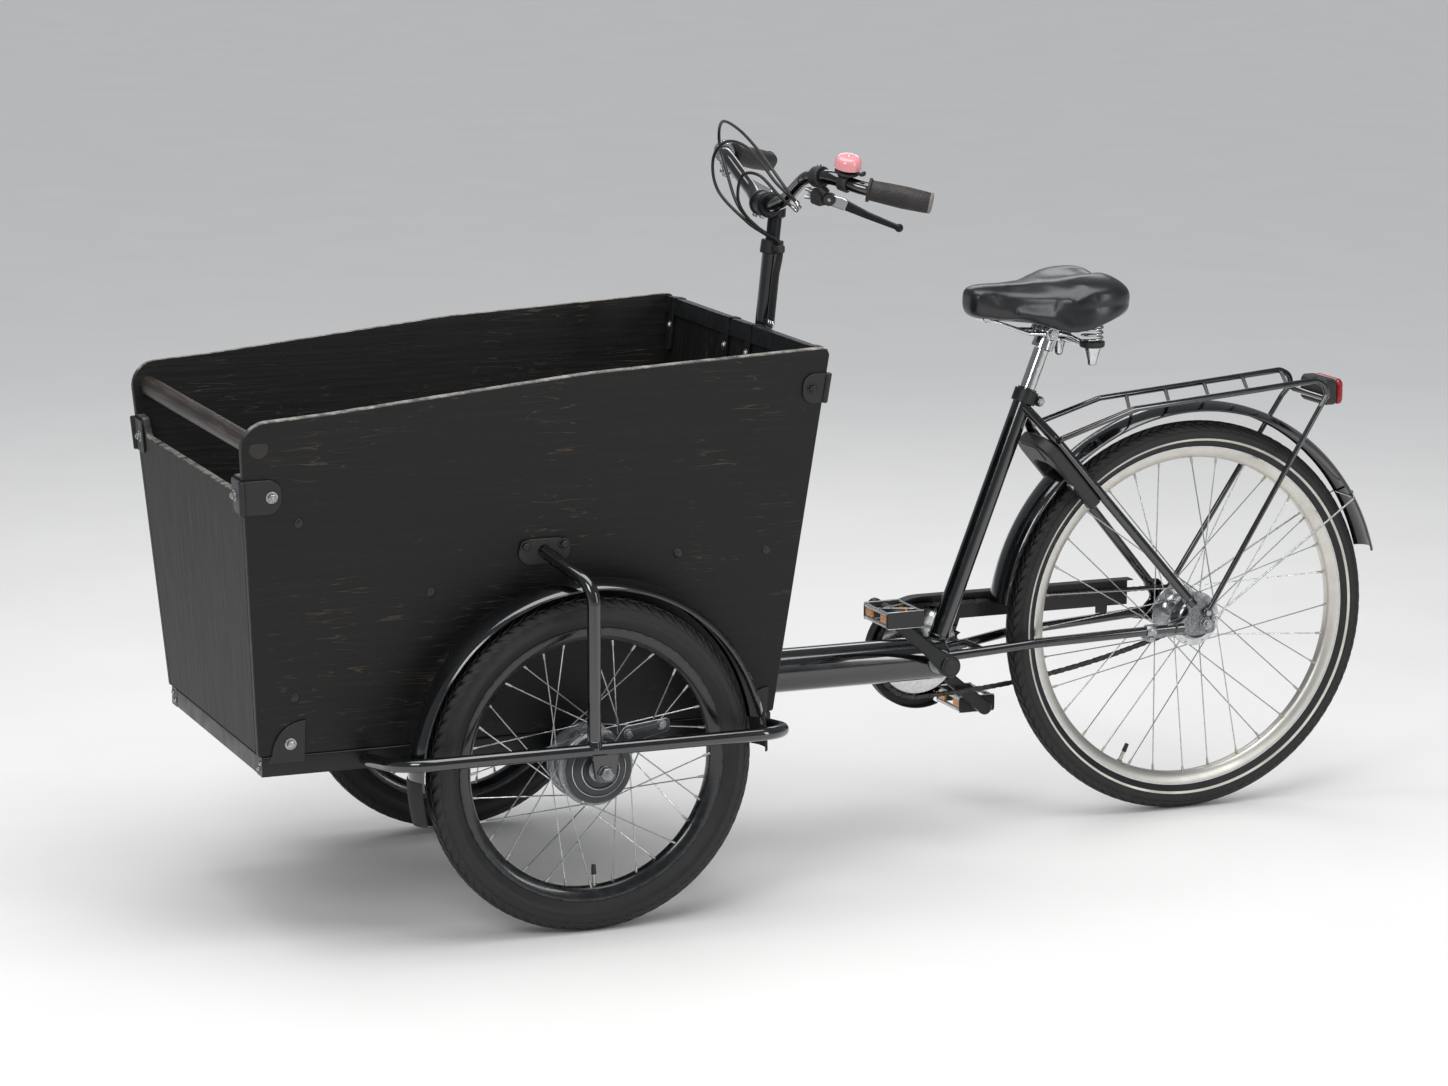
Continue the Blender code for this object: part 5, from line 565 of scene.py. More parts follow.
def corner_bracket(name, on_end, end_edge, z, half_height, side_length, end_length, bolt_finish):
    """A left corner's bracket and its mirror image."""
    forward = 1 if on_end is front_frame else -1
    lean = FRONT_LEAN if forward > 0 else REAR_RAKE
    reach = FIT + SKIN
    side, end = [], []
    for up in (-half_height, half_height):
        level = z + up * math.cos(FLARE)
        side.append((-(end_edge(level) + forward * reach), up))
        level = z + up * math.cos(lean)
        end.append((forward * (side_y(level) + reach), up))
    inner = -(end_edge(z) - forward * side_length)
    side += [(inner, half_height), (inner, -half_height)]
    end_inner = forward * (side_y(z) - end_length)
    end += [(end_inner, half_height), (end_inner, -half_height)]
    bm = bmesh.new()
    on_side = side_frame(0, z)
    plate(bm, eased(side, [0, 0, half_height * 0.8, half_height * 0.8], 8), FIT, FIT + SKIN, on_side)
    at_end = on_end(0, z)
    plate(bm, eased(end, [0, 0, 0.008, 0.008]), FIT, FIT + SKIN, at_end)
    for place, spot in ((on_side, inner - forward * 0.015), (at_end, end_inner + forward * 0.015)):
        head = place @ Vector((spot, 0, FIT + SKIN))
        bolt(bm, head, place.col[2].xyz, 0.0062, 1, "hex", 0.0045)
        bar(bm, head, head + place.col[2].xyz.normalized() * 0.0075, 0.0032, sides=14, slot=1)
    bend = [on_side @ Vector((x + forward * 0.001, y, FIT + SKIN / 2)) for x, y in side[:2]]
    bar(bm, *bend, 0.0052, sides=20, chamfer=0.0015)
    both(name, bm, [satin_black, bolt_finish], "front")


corner_bracket("front_bracket", front_frame, front_x, 0.688, 0.026, 0.056, 0.048, zinc)
corner_bracket("rear_bracket", rear_frame, rear_x, 0.800, 0.023, 0.036, 0.050, satin_black)

# Rear top rail: a folded steel channel over the rear panel's edge, with two straps in the middle and one
# near each corner, hooked over the edge and bolted inside.
RAIL_TOP = up_face(REAR_TOP, REAR_RAKE)
CHANNEL = 0.024
width = inner_half(REAR_TOP - CHANNEL)
at_rear = rear_frame(0, FOOT_Z)


def slab(bm, place, low, high, slot=0, ease=0.0008):
    """A block between two corners given in a frame's own coordinates."""
    plate(bm, square(low[0], high[0], low[1], high[1], 0), low[2], high[2], place, slot, None, ease)


bm = bmesh.new()
inside = -PANEL - FIT
top = RAIL_TOP + FIT + SKIN
slab(bm, at_rear, (-width, RAIL_TOP - CHANNEL, FIT), (width, top, FIT + SKIN))
slab(bm, at_rear, (-width, RAIL_TOP + FIT, inside - SKIN), (width, top, FIT + SKIN))
slab(bm, at_rear, (-width, RAIL_TOP - CHANNEL, inside - SKIN), (width, top, inside))
for spot in (-(width - 0.028), -0.045, 0.045, width - 0.028):
    low = RAIL_TOP - (0.060 if abs(spot) < 0.1 else 0.082)
    face = inside - SKIN - 0.002
    strap = square(spot - 0.010, spot + 0.010, low, top + 0.001, [0.004, 0.004, 0, 0], 6)
    plate(bm, strap, face, inside, at_rear)
    slab(bm, at_rear, (spot - 0.010, top - 0.001, face), (spot + 0.010, top + 0.0015, 0.004))
    head = at_rear @ Vector((spot, RAIL_TOP - 0.042, face))
    bolt(bm, head, -at_rear.col[2].xyz, 0.0052, 1, "dome", 0.003)
piece("rear_top_rail", bm, [satin_black, zinc], "front")

# Chassis: 30 mm square steel tube, welded and powder-coated satin black. Two rails run under the side
# panels, a beam closes the front, and raised members carry the floor over the steering pivot.
gloss_black = metal("gloss_black_powder_coat", "050607", "0d0e10", 0.0, 0.10, 0.10, 0.03, 0.05, IOR=1.5,
                    Coat_Weight=1.0, Coat_Roughness=0.06, Coat_IOR=1.62)
chassis_coat = metal("satin_powder_coat", "060708", "0e0f11", 0.0, 0.30, 0.14, 0.03, 0.12, IOR=1.45)
RAIL_TOP_Z = 0.292
RAIL = 0.030
RAIL_OUTER = FOOT_HALF + 0.002
RAIL_REAR_X, RAIL_FRONT_X = 0.850, 1.655
KINGPIN_X = 1.100
CRANK_X, CRANK_Z = 0.463, 0.292
HEAD_HALF = 0.048
WHEELBASE = 1.170
WHEEL_Y = 0.322
FRONT_AXLE_Z = 0.256

bm = bmesh.new()
low = RAIL_TOP_Z - RAIL
crossways = axes((0, 0, 1), (1, 0, 0), (0, 0, 0))
inner = RAIL_OUTER - RAIL
crown_low = CRANK_Z + HEAD_HALF - 0.0085
member_top = FLOOR_LOW - 2 * FIT
for side in (1, -1):
    edges = sorted((side * inner, side * RAIL_OUTER))
    plate(bm, square(*edges, low, RAIL_TOP_Z), RAIL_REAR_X, RAIL_FRONT_X, ACROSS)
    lug = eased([(WHEELBASE - 0.032, low + 0.010), (WHEELBASE - 0.020, FRONT_AXLE_Z - 0.018),
                 (WHEELBASE + 0.020, FRONT_AXLE_Z - 0.018), (WHEELBASE + 0.032, low + 0.010)],
                [0, 0.012, 0.012, 0])
    plate(bm, lug, -side * (RAIL_OUTER - 0.008), -side * (RAIL_OUTER - 0.0005), UPRIGHT)
    for x, length in ((1.590, 0.062), (RAIL_REAR_X + 0.006, 0.046)):
        quarter = [(-x, -0.018), (-(x + length), -0.018), *arc(length * 0.80, 180, 90, 14, (-x, 0.004))]
        place = side_frame(0, FOOT_Z, FIT)
        if side < 0:
            place = MIRROR @ place
        plate(bm, quarter, 0, SKIN, place, 1)
        finish = 2 if x > 1.5 else 1
        head = place @ Vector((-(x + length * 0.36), length * 0.30, SKIN))
        outward = (place @ Vector((0, 0, 1)) - place @ Vector((0, 0, 0))).normalized()
        bolt(bm, head, outward, 0.0062, finish, "hex", 0.0045)
    for x in (KINGPIN_X - 0.090, KINGPIN_X + 0.090):
        edges = sorted((side * (inner + 0.0005), side * (inner + 0.0125)))
        plate(bm, square(x - 0.014, x + 0.014, *edges), RAIL_TOP_Z - 0.010, member_top - 0.001, Matrix())
plate(bm, square(low - 0.0005, RAIL_TOP_Z - 0.0005, RAIL_FRONT_X - RAIL, RAIL_FRONT_X - 0.0005),
      -inner - 0.001, inner + 0.001, crossways)
for x in (KINGPIN_X - 0.090, KINGPIN_X + 0.090):
    plate(bm, square(crown_low + 0.002, member_top, x - 0.015, x + 0.015, 0.002), -inner - 0.013,
          inner + 0.013, crossways)
plate(bm, square(KINGPIN_X - 0.090, KINGPIN_X + 0.090, -0.045, 0.045), crown_low, crown_low + 0.008, Matrix())
foot_top = CRANK_Z - HEAD_HALF - 0.0005
plate(bm, square(KINGPIN_X - 0.026, KINGPIN_X + 0.070, -0.026, 0.026, 0.008), foot_top - 0.008, foot_top,
      Matrix())
plate(bm, square(KINGPIN_X + 0.060, KINGPIN_X + 0.072, -0.030, 0.030), foot_top - 0.007, crown_low + 0.004,
      Matrix())
for side in (1, -1):
    for y, z in ((side * (inner + 0.010), low + 0.010), (side * (inner + 0.021), low + 0.020)):
        bolt(bm, (RAIL_FRONT_X, y, z), (1, 0, 0), 0.0045, 2, "dome", 0.0030, False)
piece("chassis", bm, [chassis_coat, satin_black, zinc], "front")

bm = bmesh.new()
head = crown_low + 0.008 + FIT
nut = foot_top - 0.008 - FIT
bar(bm, (KINGPIN_X, 0, nut - 0.018), (KINGPIN_X, 0, head + 0.004), 0.010, sides=28)
bolt(bm, (KINGPIN_X, 0, head), (0, 0, 1), 0.0165, 0, "hex", 0.0108, False)
bolt(bm, (KINGPIN_X, 0, nut), (0, 0, -1), 0.0155, 0, "hex", 0.0125, False)
piece("kingpin", bm, [zinc], "front")

# Wheel guards: 20 mm round steel tube bent round each front wheel, with a post that leans in to the box
# side above the mudguard, and a lug that holds the axle's outer end. All gloss black.
GUARD_Y, GUARD_Z = 0.388, 0.293
GUARD_FRONT_X, GUARD_REAR_X = 1.485, 0.866
POST_X = 1.187


def bent(points, radius, steps=8):
    """A path through these points with its corners rounded."""
    points = [Vector(point) for point in points]
    path = [points[0]]
    for before, corner, after in zip(points, points[1:], points[2:]):
        if (before - corner).angle(after - corner) > math.radians(179):
            path.append(corner)
            continue
        centre, first, last = fillet(before, corner, after, radius)
        angle = first.angle(last)
        for share in (step / steps for step in range(steps + 1)):
            mixed = first * math.sin((1 - share) * angle) + last * math.sin(share * angle)
            path.append(centre + mixed / math.sin(angle))
    return [*path, points[-1]]


def sweep(bm, path, radius, sides=16, slot=0):
    """A round tube along a path."""
    ahead = (path[1] - path[0]).normalized()
    normal = ahead.orthogonal().normalized()
    rings = []
    for index, point in enumerate(path):
        before = path[max(index - 1, 0)]
        after = path[min(index + 1, len(path) - 1)]
        now = (after - before).normalized()
        normal = ahead.rotation_difference(now) @ normal
        normal = (normal - now * normal.dot(now)).normalized()
        ahead = now
        across = now.cross(normal)
        angles = [2 * math.pi * step / sides for step in range(sides)]
        arms = [(normal * math.cos(angle) + across * math.sin(angle)) * radius for angle in angles]
        rings.append([bm.verts.new(point + arm) for arm in arms])
    joined(bm, rings, slot)
    for ring in (rings[0][::-1], rings[-1]):
        bm.faces.new(ring).material_index = slot


bm = bmesh.new()
start_y = RAIL_OUTER + 0.0005
middle_z = RAIL_TOP_Z - RAIL / 2
loop = [(GUARD_FRONT_X + 0.012, start_y, middle_z), (GUARD_FRONT_X, GUARD_Y, GUARD_Z),
        (GUARD_REAR_X, GUARD_Y, GUARD_Z), (GUARD_REAR_X + 0.004, start_y, middle_z)]
sweep(bm, bent(loop, 0.055, 12), 0.010, 24)
face = side_frame(POST_X + 0.042, 0.577)
tip = face @ Vector((0, 0, 0.004))
sweep(bm, bent([(POST_X, GUARD_Y, GUARD_Z), (POST_X, GUARD_Y, 0.538), tip], 0.040, 12), 0.0105, 24)
bar(bm, (POST_X, GUARD_Y, GUARD_Z + 0.004), (POST_X, GUARD_Y, GUARD_Z + 0.014), 0.0125, 0.0110, 24)
tab = square(-0.040, 0.040, -0.020, 0.020, 0.0195, 10)
plate(bm, tab, FIT, FIT + 0.004, face, 1)
for x in (-0.030, 0.030):
    bolt(bm, face @ Vector((x, 0.010, 0.0043)), face.col[2].xyz, 0.0060, 1, "hex", 0.0042)
lug = eased([(WHEELBASE - 0.022, GUARD_Z + 0.002), (WHEELBASE - 0.015, FRONT_AXLE_Z - 0.014),
             (WHEELBASE + 0.015, FRONT_AXLE_Z - 0.014), (WHEELBASE + 0.022, GUARD_Z + 0.002)],
            [0, 0.010, 0.010, 0])
plate(bm, lug, -GUARD_Y - 0.004, -GUARD_Y + 0.004, UPRIGHT)
both("wheel_guard", bm, [gloss_black, satin_black], "front")

# Mudguards: rolled steel strip, gloss black, domed across with turned-in edges. The front ones end in
# black rubber flaps, and a thin rod near each end carries them from the rail.
rubber_sheet = metal("black_rubber_sheet", "121212", "222120", 0.0, 0.62, 0.15, 0.012, 0.3, IOR=1.52)


def blade(bm, centre, radius, crown, half, start, end, steps, slot=0, skin=0.0016, lip=0.0025):
    """A domed strip with rolled edges round part of a wheel, between two angles in degrees."""
    shares = [step / 6 - 1 for step in range(13)]
    section = [(share * (half - 0.001), radius - crown * share * share) for share in shares]
    low = section[-1][1]
    curl = [(half - 0.001 + lip * 0.35, low - lip * 0.5), (half - 0.001, low - lip)]
    outer = [(-y, r) for y, r in reversed(curl)] + section + curl
    inner = [(y * 0.985, r - skin) for y, r in reversed(outer)]
    loop = outer + inner
    angles = [math.radians(start + (end - start) * step / steps) for step in range(steps + 1)]
    rings = [[bm.verts.new(about(centre, r, angle, y)) for y, r in loop] for angle in angles]
    joined(bm, rings, slot)
    for ring in (rings[0], rings[-1]):
        for index in range(len(outer) - 1):
            other = len(loop) - 1 - index
            bm.faces.new((ring[index], ring[index + 1], ring[other - 1], ring[other])).material_index = slot


bm = bmesh.new()
centre = Vector((WHEELBASE, WHEEL_Y, FRONT_AXLE_Z))
blade(bm, centre, 0.2822, 0.0105, 0.0296, -3, 171, 72)
blade(bm, centre, 0.2836, 0.0100, 0.0305, 168, 180, 8, 1, 0.0022, 0.0006)
blade(bm, centre, 0.2836, 0.0100, 0.0305, -14, 0, 8, 1, 0.0022, 0.0006)
for degrees in (3.5, 176.5):
    spot = about((WHEELBASE, 0, FRONT_AXLE_Z), 0.2704, math.radians(degrees))
    pin(bm, spot.x, spot.z, RAIL_OUTER + FIT, WHEEL_Y - 0.022, 0.004, sides=14)
for degrees in (4, 169):
    out = about((0, 0, 0), 1, math.radians(degrees))
    for y in (-0.013, 0.013):
        bolt(bm, centre + out * 0.2815 + Vector((0, y, 0)), out, 0.0038, 2, "dome", 0.002, False)
both("front_mudguard", bm, [gloss_black, rubber_sheet, zinc], "front", 40)

# Front wheels: vulcanised block-tread tyres on black rims, laced with stainless spokes to cast alloy
# drum hubs. Each turns on its own axle between the chassis lug and the guard's lug.
tyre_rubber, tree, shader, spot = new_material("tyre_rubber", 0.0, 0.74, IOR=1.52)
# Road dust lies in soft patches some 30 mm wide, over moulding grain of about half a millimetre.
dust = add(tree, "TexNoise", {"Scale": 30.0, "Detail": 6.0, "Roughness": 0.65}, {"Vector": spot})
tone = add(tree, "ValToRGB", {"stops": [(0.30, "0b0b0c"), (0.55, "131313"), (0.78, "232120")]}, {"Fac": dust})
dull = add(tree, "MapRange", {"To Min": 0.40, "To Max": 0.66}, {"Value": dust})
grain = add(tree, "TexNoise", {"Scale": 1800.0, "Detail": 2.0}, {"Vector": spot})
bump = add(tree, "Bump", {"Strength": 0.35, "Distance": 0.0003}, {"Height": grain})
plug(shader, {"Base Color": tone, "Roughness": dull, "Normal": bump})

# The rims are painted gloss black and braked only at the hub, so just their lips are rubbed bright.
rim_black = metal("black_rim_enamel", "0c0d0f", "1a1b1d", 0.0, 0.16, 0.16, 0.015, 0.1, IOR=1.5,
                  Coat_Weight=0.4)
rubbed_lip = metal("rubbed_rim_lip", "55565a", "343538", 1.0, 0.32, 0.2, 0.012, 0.3)
polished = metal("polished_alloy", "d2d3d4", "b9babc", 1.0, 0.14, 0.14, 0.006, 0.1)
cast_alloy = metal("cast_alloy", "96989a", "7d7f81", 1.0, 0.36, 0.12, 0.006, 0.15)
stainless = metal("stainless_wire", "c9cacb", "a4a6a8", 1.0, 0.22, 0.12, 0.010, 0.1)
brass = metal("nickelled_brass", "cdc8bc", "aaa599", 1.0, 0.3, 0.15, 0.004, 0.1)
hub_grey = metal("grey_hub_enamel", "2f3134", "242628", 0.0, 0.28, 0.14, 0.012, 0.2, IOR=1.5)

RIM_DEPTH, RIM_HALF, RIM_LIP = 0.020, 0.015, 0.006
RIM_FRONT, RIM_REAR, HUB_END, SPOKES = 0.209, 0.2855, 0.034, 32


def tyre(bm, centre, radius, half, rim_radius, blocks, rib=None):
    """A tyre: a casing with two ribs on each wall, staggered tread blocks and perhaps a reflecting line."""
    tread = 0.0024
    middle = (radius + rim_radius - 0.002) / 2
    rise = radius - tread - middle

    def surface(angle, lift=0.0):
        return Vector((middle + (rise + lift) * math.cos(angle), (half + lift * 0.4) * math.sin(angle)))

    seat = rim_radius - RIM_LIP + 0.001
    casing = [surface(math.radians(124 - 248 * step / 26)) for step in range(27)]
    lathe(bm, [(seat, 0.0105), *casing, (seat, -0.0105)], centre, 160)
    for side in (1, -1):
        for degrees, height in ((98, 0.0007), (73, 0.0009)):
            shape = ((-2.6, -0.0006), (-1.6, height), (1.6, height), (2.6, -0.0006))
            ring = [surface(math.radians(side * (degrees + off)), lift) for off, lift in shape]
            lathe(bm, ring, centre, 160)
        if rib is not None:
            ring = [surface(math.radians(side * angle), 0.0004) for angle in (107, 111, 115, 119)]
            lathe(bm, ring, centre, 160, rib)
    rows = ((-67, -31, 0.5), (-27, -4, 0.0), (4, 27, 0.5), (31, 67, 0.0))
    for row, (low, high, shift) in enumerate(rows):
        for number in range(blocks):
            turn = 2 * math.pi * (number + shift) / blocks
            skew = (0.18 if row % 2 else -0.18) * 2 * math.pi / blocks * 2
            span = 2 * math.pi / blocks * 0.36
            block = []
            for lift, ease in ((-0.001, 0.0), (tread * 0.8, 0.03), (tread, 0.12)):
                block.append([])
                for across, along in ((low, -1), (high, -1), (high, 1), (low, 1)):
                    tilt = skew if across == high else -skew
                    middle_angle = (low + high) / 2
                    angle = math.radians(middle_angle + (across - middle_angle) * (1 - ease))
                    r, y = surface(angle, lift)
                    place = turn + tilt + along * span * (1 - ease)
                    block[-1].append(bm.verts.new(about(centre, r, place, y)))
            joined(bm, block)
            bm.faces.new(block[-1])


def laced_wheel(bm, centre, rim_radius, flange, flange_y, hub, valve):
    """A rim, its lip edges, crossed spokes with nipples, a hub given as a half profile, and a valve."""
    bed = rim_radius - RIM_DEPTH
    half = [(rim_radius - RIM_LIP, 0), (rim_radius - RIM_LIP, 0.0095), (rim_radius - 0.003, 0.0120),
            (rim_radius - 0.0004, 0.0128), (rim_radius, 0.0139), (rim_radius - 0.0006, RIM_HALF),
            (rim_radius - 0.009, 0.0146), (bed + 0.004, 0.0098), (bed + 0.0006, 0.0072), (bed, 0.0048),
            (bed, 0)]
    loop = half + [(r, -y) for r, y in half[-2:0:-1]]
    lathe(bm, loop, centre, 160, 0, True)
    for side in (1, -1):
        edge = [(rim_radius - 0.0026, side * 0.01515), (rim_radius - 0.0002, side * 0.01525),
                (rim_radius + 0.0005, side * 0.0140), (rim_radius - 0.0003, side * 0.0126)]
        lathe(bm, edge, centre, 160, 1)
    lathe(bm, hub + [(r, -y) for r, y in reversed(hub)], centre, 72, 2, True)
    reach, hole = bed + 0.003, flange - 0.004
    for number in range(SPOKES):
        side = 1 if number % 2 == 0 else -1
        lead = 1 if number // 2 % 2 == 0 else -1
        at_rim = number * 2 * math.pi / SPOKES
        at_hub = at_rim + lead * 12 * math.pi / SPOKES
        offset = lead * 0.0014
        start = about(centre, hole, at_hub, side * flange_y + offset)
        end = about(centre, reach, at_rim, side * 0.004 + offset)
        along = (end - start).normalized()
        bar(bm, start, end, 0.00105, sides=8, slot=3, chamfer=0)
        bar(bm, end - along * 0.013, end, 0.0019, 0.0023, 10, 4, 0.0003)
        bar(bm, start - Vector((0, lead * 0.0002, 0)), start + Vector((0, lead * 0.0026, 0)), 0.0019,
            sides=10, slot=3)
    out = about((0, 0, 0), 1, math.radians(valve))
    foot = Vector(centre) + out * (bed + 0.001)
    bar(bm, foot, foot - out * 0.022, 0.0030, sides=14, slot=4)
    bar(bm, foot - out * 0.001, foot - out * 0.004, 0.0048, sides=6, slot=3)
    bar(bm, foot - out * 0.018, foot - out * 0.033, 0.0040, 0.0034, 14, 5, 0.0008)


def hub_half(bore, shell, flange, flange_y, half):
    """Half a hub's outline from its bore to its middle."""
    return [
        (bore, half - 0.004), (bore + 0.004, half - 0.004), (bore + 0.004, half), (shell - 0.004, half),
        (shell - 0.001, half - 0.0015), (shell + 0.0012, half - 0.0040), (shell + 0.0020, flange_y + 0.0042),
        (flange - 0.003, flange_y + 0.0023), (flange - 0.0008, flange_y + 0.0021),
        (flange, flange_y + 0.0010), (flange, flange_y - 0.0010), (flange - 0.0008, flange_y - 0.0021),
        (flange - 0.005, flange_y - 0.0023), (shell * 0.97, flange_y - 0.0040),
        (shell * 0.945, flange_y - 0.0080), (shell * 0.94, 0),
    ]


black_cap = metal("black_nylon", "1a1a1b", "262627", 0.0, 0.45, 0.12, 0.006, 0.15, IOR=1.5)
centre = Vector((WHEELBASE, WHEEL_Y, FRONT_AXLE_Z))
bm = bmesh.new()
laced_wheel(bm, centre, RIM_FRONT, 0.059, 0.024, hub_half(0.0072, 0.051, 0.059, 0.024, HUB_END), -92)
both("front_wheel", bm, [rim_black, rubbed_lip, cast_alloy, stainless, brass, black_cap], "front_SIDE_roller",
     40)
bm = bmesh.new()
tyre(bm, centre, FRONT_AXLE_Z, 0.0250, RIM_FRONT, 76)
both("front_tyre", bm, [tyre_rubber], "front_SIDE_roller", 40)

# Front axles: each holds still while the wheel turns, with the drum's grey brake plate, its polished
# dust ring, the brake lever and a pressed arm that ties the plate to the guard against turning.
plate_y = WHEEL_Y + HUB_END + 0.0012
drum = Vector((WHEELBASE, plate_y, FRONT_AXLE_Z))
bm = bmesh.new()
inner_end, outer_face = RAIL_OUTER - 0.007, GUARD_Y + 0.0043
pin(bm, WHEELBASE, FRONT_AXLE_Z, inner_end, outer_face + 0.006, 0.006, sides=20, slot=0)
lathe(bm, mm(0, 0, 50.5, 0, 52, 0.8, 52, 3.4, 50.5, 4.4, 43, 4.6, 41, 4, 0, 4), drum, 72, 1)
lathe(bm, mm(42, 3.6, 41.2, 5.8, 39, 7.8, 35, 9.8, 30, 11.1, 27.5, 11.3, 26.2, 9.8, 0, 9.4), drum, 72, 1)
for rim, level in ((0.0418, 0.0040), (0.0292, 0.0110)):
    bead = mm(0.6, 0, 0.8, 0.6, 0, 1.1, -0.8, 0.6, at=(rim, level))
    lathe(bm, bead, drum, 72, 2, True)
lathe(bm, mm(0, 11.8, 16.5, 11.8, 18, 10.6, 18, 8.5), drum, 48, 0)
pin(bm, WHEELBASE, FRONT_AXLE_Z, plate_y + 0.010, GUARD_Y - 0.0043, 0.0105, sides=6)
for start in (RAIL_OUTER + FIT, RAIL_OUTER + 0.0065):
    pin(bm, WHEELBASE, FRONT_AXLE_Z, start, start + 0.0062, 0.0112, sides=6)
pin(bm, WHEELBASE, FRONT_AXLE_Z, outer_face, outer_face + 0.0015, 0.0125, sides=28)
lathe(bm, mm(11.2, 1.5, 11.8, 2.4, 11.8, 7.5, 10, 9.8, 6.5, 11.4, 0, 12),
      (WHEELBASE, outer_face, FRONT_AXLE_Z), 6, 0)
x, z = WHEELBASE, FRONT_AXLE_Z
arm = mm(-12, 22, -40, 62, -112, 70, -112, 50, -50, 36, -30, -10, at=(x, z))
arm = eased(arm, [0, 0.014, 0.006, 0.006, 0.014, 0], 6)
plate(bm, arm, -plate_y - 0.0065, -plate_y - 0.0025, UPRIGHT, 1, 0, 0.0008)
ridge = mm(-40, 46, -46, 56, -100, 64, -104, 58, at=(x, z))
plate(bm, eased(ridge, 0.003, 4), -plate_y - 0.0080, -plate_y - 0.0060, UPRIGHT, 1)
for bolt_x, bolt_z in ((x - 0.046, z + 0.050), (x - 0.098, z + 0.060)):
    bolt(bm, (bolt_x, plate_y + 0.0065, bolt_z), (0, 1, 0), 0.0055, 0, "hex", 0.0042)
lever = mm(-6, 20, 10, 20, 10, 72, -6, 72, at=(x, z))
plate(bm, eased(lever, [0.002, 0.002, 0.007, 0.007], 5), -plate_y - 0.0080, -plate_y - 0.0035, UPRIGHT, 0)
pin(bm, x + 0.002, z + 0.064, plate_y + 0.002, plate_y + 0.0112, 0.0036, sides=16)
both("front_axle", bm, [cast_alloy, hub_grey, polished], "front", 40)

# Steering column: a black tube clamped to the rear panel by two pairs of plates, with a black nylon
# collar on top. The stem's quill slides in it, and forged clamp and rings hold the handlebar.
COLUMN_RADIUS, COLUMN_TOP = 0.0143, 0.980
BAR_RADIUS, BAR_BORE = 0.0111, 0.01135
COLUMN_AXIS = Vector((-math.sin(REAR_RAKE), 0, math.cos(REAR_RAKE)))
BAR_X, BAR_Z = 0.757, 1.040


def column_place(z):
    """The steering column's centre at a height."""
    return Vector((rear_x(z) - 0.028 / math.cos(REAR_RAKE), 0, z))


bm = bmesh.new()
top = column_place(COLUMN_TOP)
bar(bm, column_place(0.352), top, COLUMN_RADIUS, sides=32)
bar(bm, top - COLUMN_AXIS * 0.018, top + COLUMN_AXIS * 0.003, 0.0183, 0.0176, 32, 1, 0.0012)
bolt(bm, top - COLUMN_AXIS * 0.008 + Vector((0, 0.0178, 0)), (0, 1, 0), 0.0042, 2, "socket", 0.004, False)
for z in (0.450, 0.812):
    here = rear_frame(0, z)
    tab = square(-0.036, 0.036, -0.013, 0.013, 0.006, 5)
    plate(bm, tab, FIT, FIT + SKIN, here, 3)
    slab(bm, here, (-0.010, -0.012, FIT + 0.001), (0.010, 0.012, 0.018), 3)
    centre = column_place(z)
    bar(bm, centre - COLUMN_AXIS * 0.011, centre + COLUMN_AXIS * 0.011, 0.0178, sides=32, slot=3,
        chamfer=0.0012)
    for y in (-0.026, 0.026):
        bolt(bm, here @ Vector((y, 0, FIT + SKIN)), here.col[2].xyz, 0.0055, 2, "hex", 0.0042)
    bolt(bm, centre + Vector((0.002, 0.0176, 0)), (0, 1, 0), 0.0045, 2, "socket", 0.004, False)
piece("steering_column", bm, [gloss_black, black_cap, zinc, satin_black], "front")

# Stem and bar: a forged stem anodised black, and a swept steel bar painted to match the frame.
bar_black = metal("black_anodised_alloy", "17181a", "212225", 0.55, 0.34, 0.12, 0.010, 0.15)
bm = bmesh.new()
root = column_place(0.870)
head = column_place(BAR_Z - 0.006)
bar(bm, root, head, BAR_RADIUS, sides=28)
bar(bm, head - COLUMN_AXIS * 0.016, head + COLUMN_AXIS * 0.016, 0.0165, 0.0155, 32, 0, 0.003)
bolt(bm, head + COLUMN_AXIS * 0.016, COLUMN_AXIS, 0.0062, 1, "socket", 0.005, False)
beam = [(head.x, BAR_Z - 0.013), (BAR_X, BAR_Z - 0.016), (BAR_X, BAR_Z + 0.014), (head.x, BAR_Z + 0.010)]
plate(bm, eased(beam, 0.004, 4), -0.011, 0.011, UPRIGHT, 0, None, 0.003)
collar(bm, (BAR_X, 0, BAR_Z), (0, 1, 0), BAR_BORE, 0.0185, 0.021, (0.0013, 0.0015), 48)
for y in (-0.014, 0.014):
    ring = mm(18, -3.4, 20, -3, 20.5, -2, 20.5, 2, 20, 3, 18, 3.4, at=(0, y))
    lathe(bm, ring, (BAR_X, 0, BAR_Z), 48, 2, True)
    bolt(bm, (BAR_X + 0.0105, y, BAR_Z - 0.0172), (0.45, 0, -0.9), 0.0042, 1, "socket", 0.004, False)
piece("stem", bm, [bar_black, zinc, satin_black], "bar")

BAR_ROUTE = [Vector((BAR_X, 0.030, BAR_Z)), Vector((BAR_X - 0.006, 0.068, BAR_Z + 0.013)),
             Vector((BAR_X - 0.001, 0.165, BAR_Z + 0.060)), Vector((BAR_X - 0.018, 0.225, BAR_Z + 0.064)),
             Vector((0.715, 0.262, 1.092)), Vector((0.620, 0.315, 1.070))]
bm = bmesh.new()
mirror = [Vector((spot.x, -spot.y, spot.z)) for spot in reversed(BAR_ROUTE)]
sweep(bm, bent([*mirror, *BAR_ROUTE], 0.09, 12), BAR_RADIUS, 28)
piece("handlebar", bm, [gloss_black], "bar", 50)

# Grips: a palm-shaped sleeve of dark moulded rubber, with a grey end cap.
grip_rubber, tree, shader, spot = new_material("grip_rubber", 0.0, 0.58, IOR=1.52)
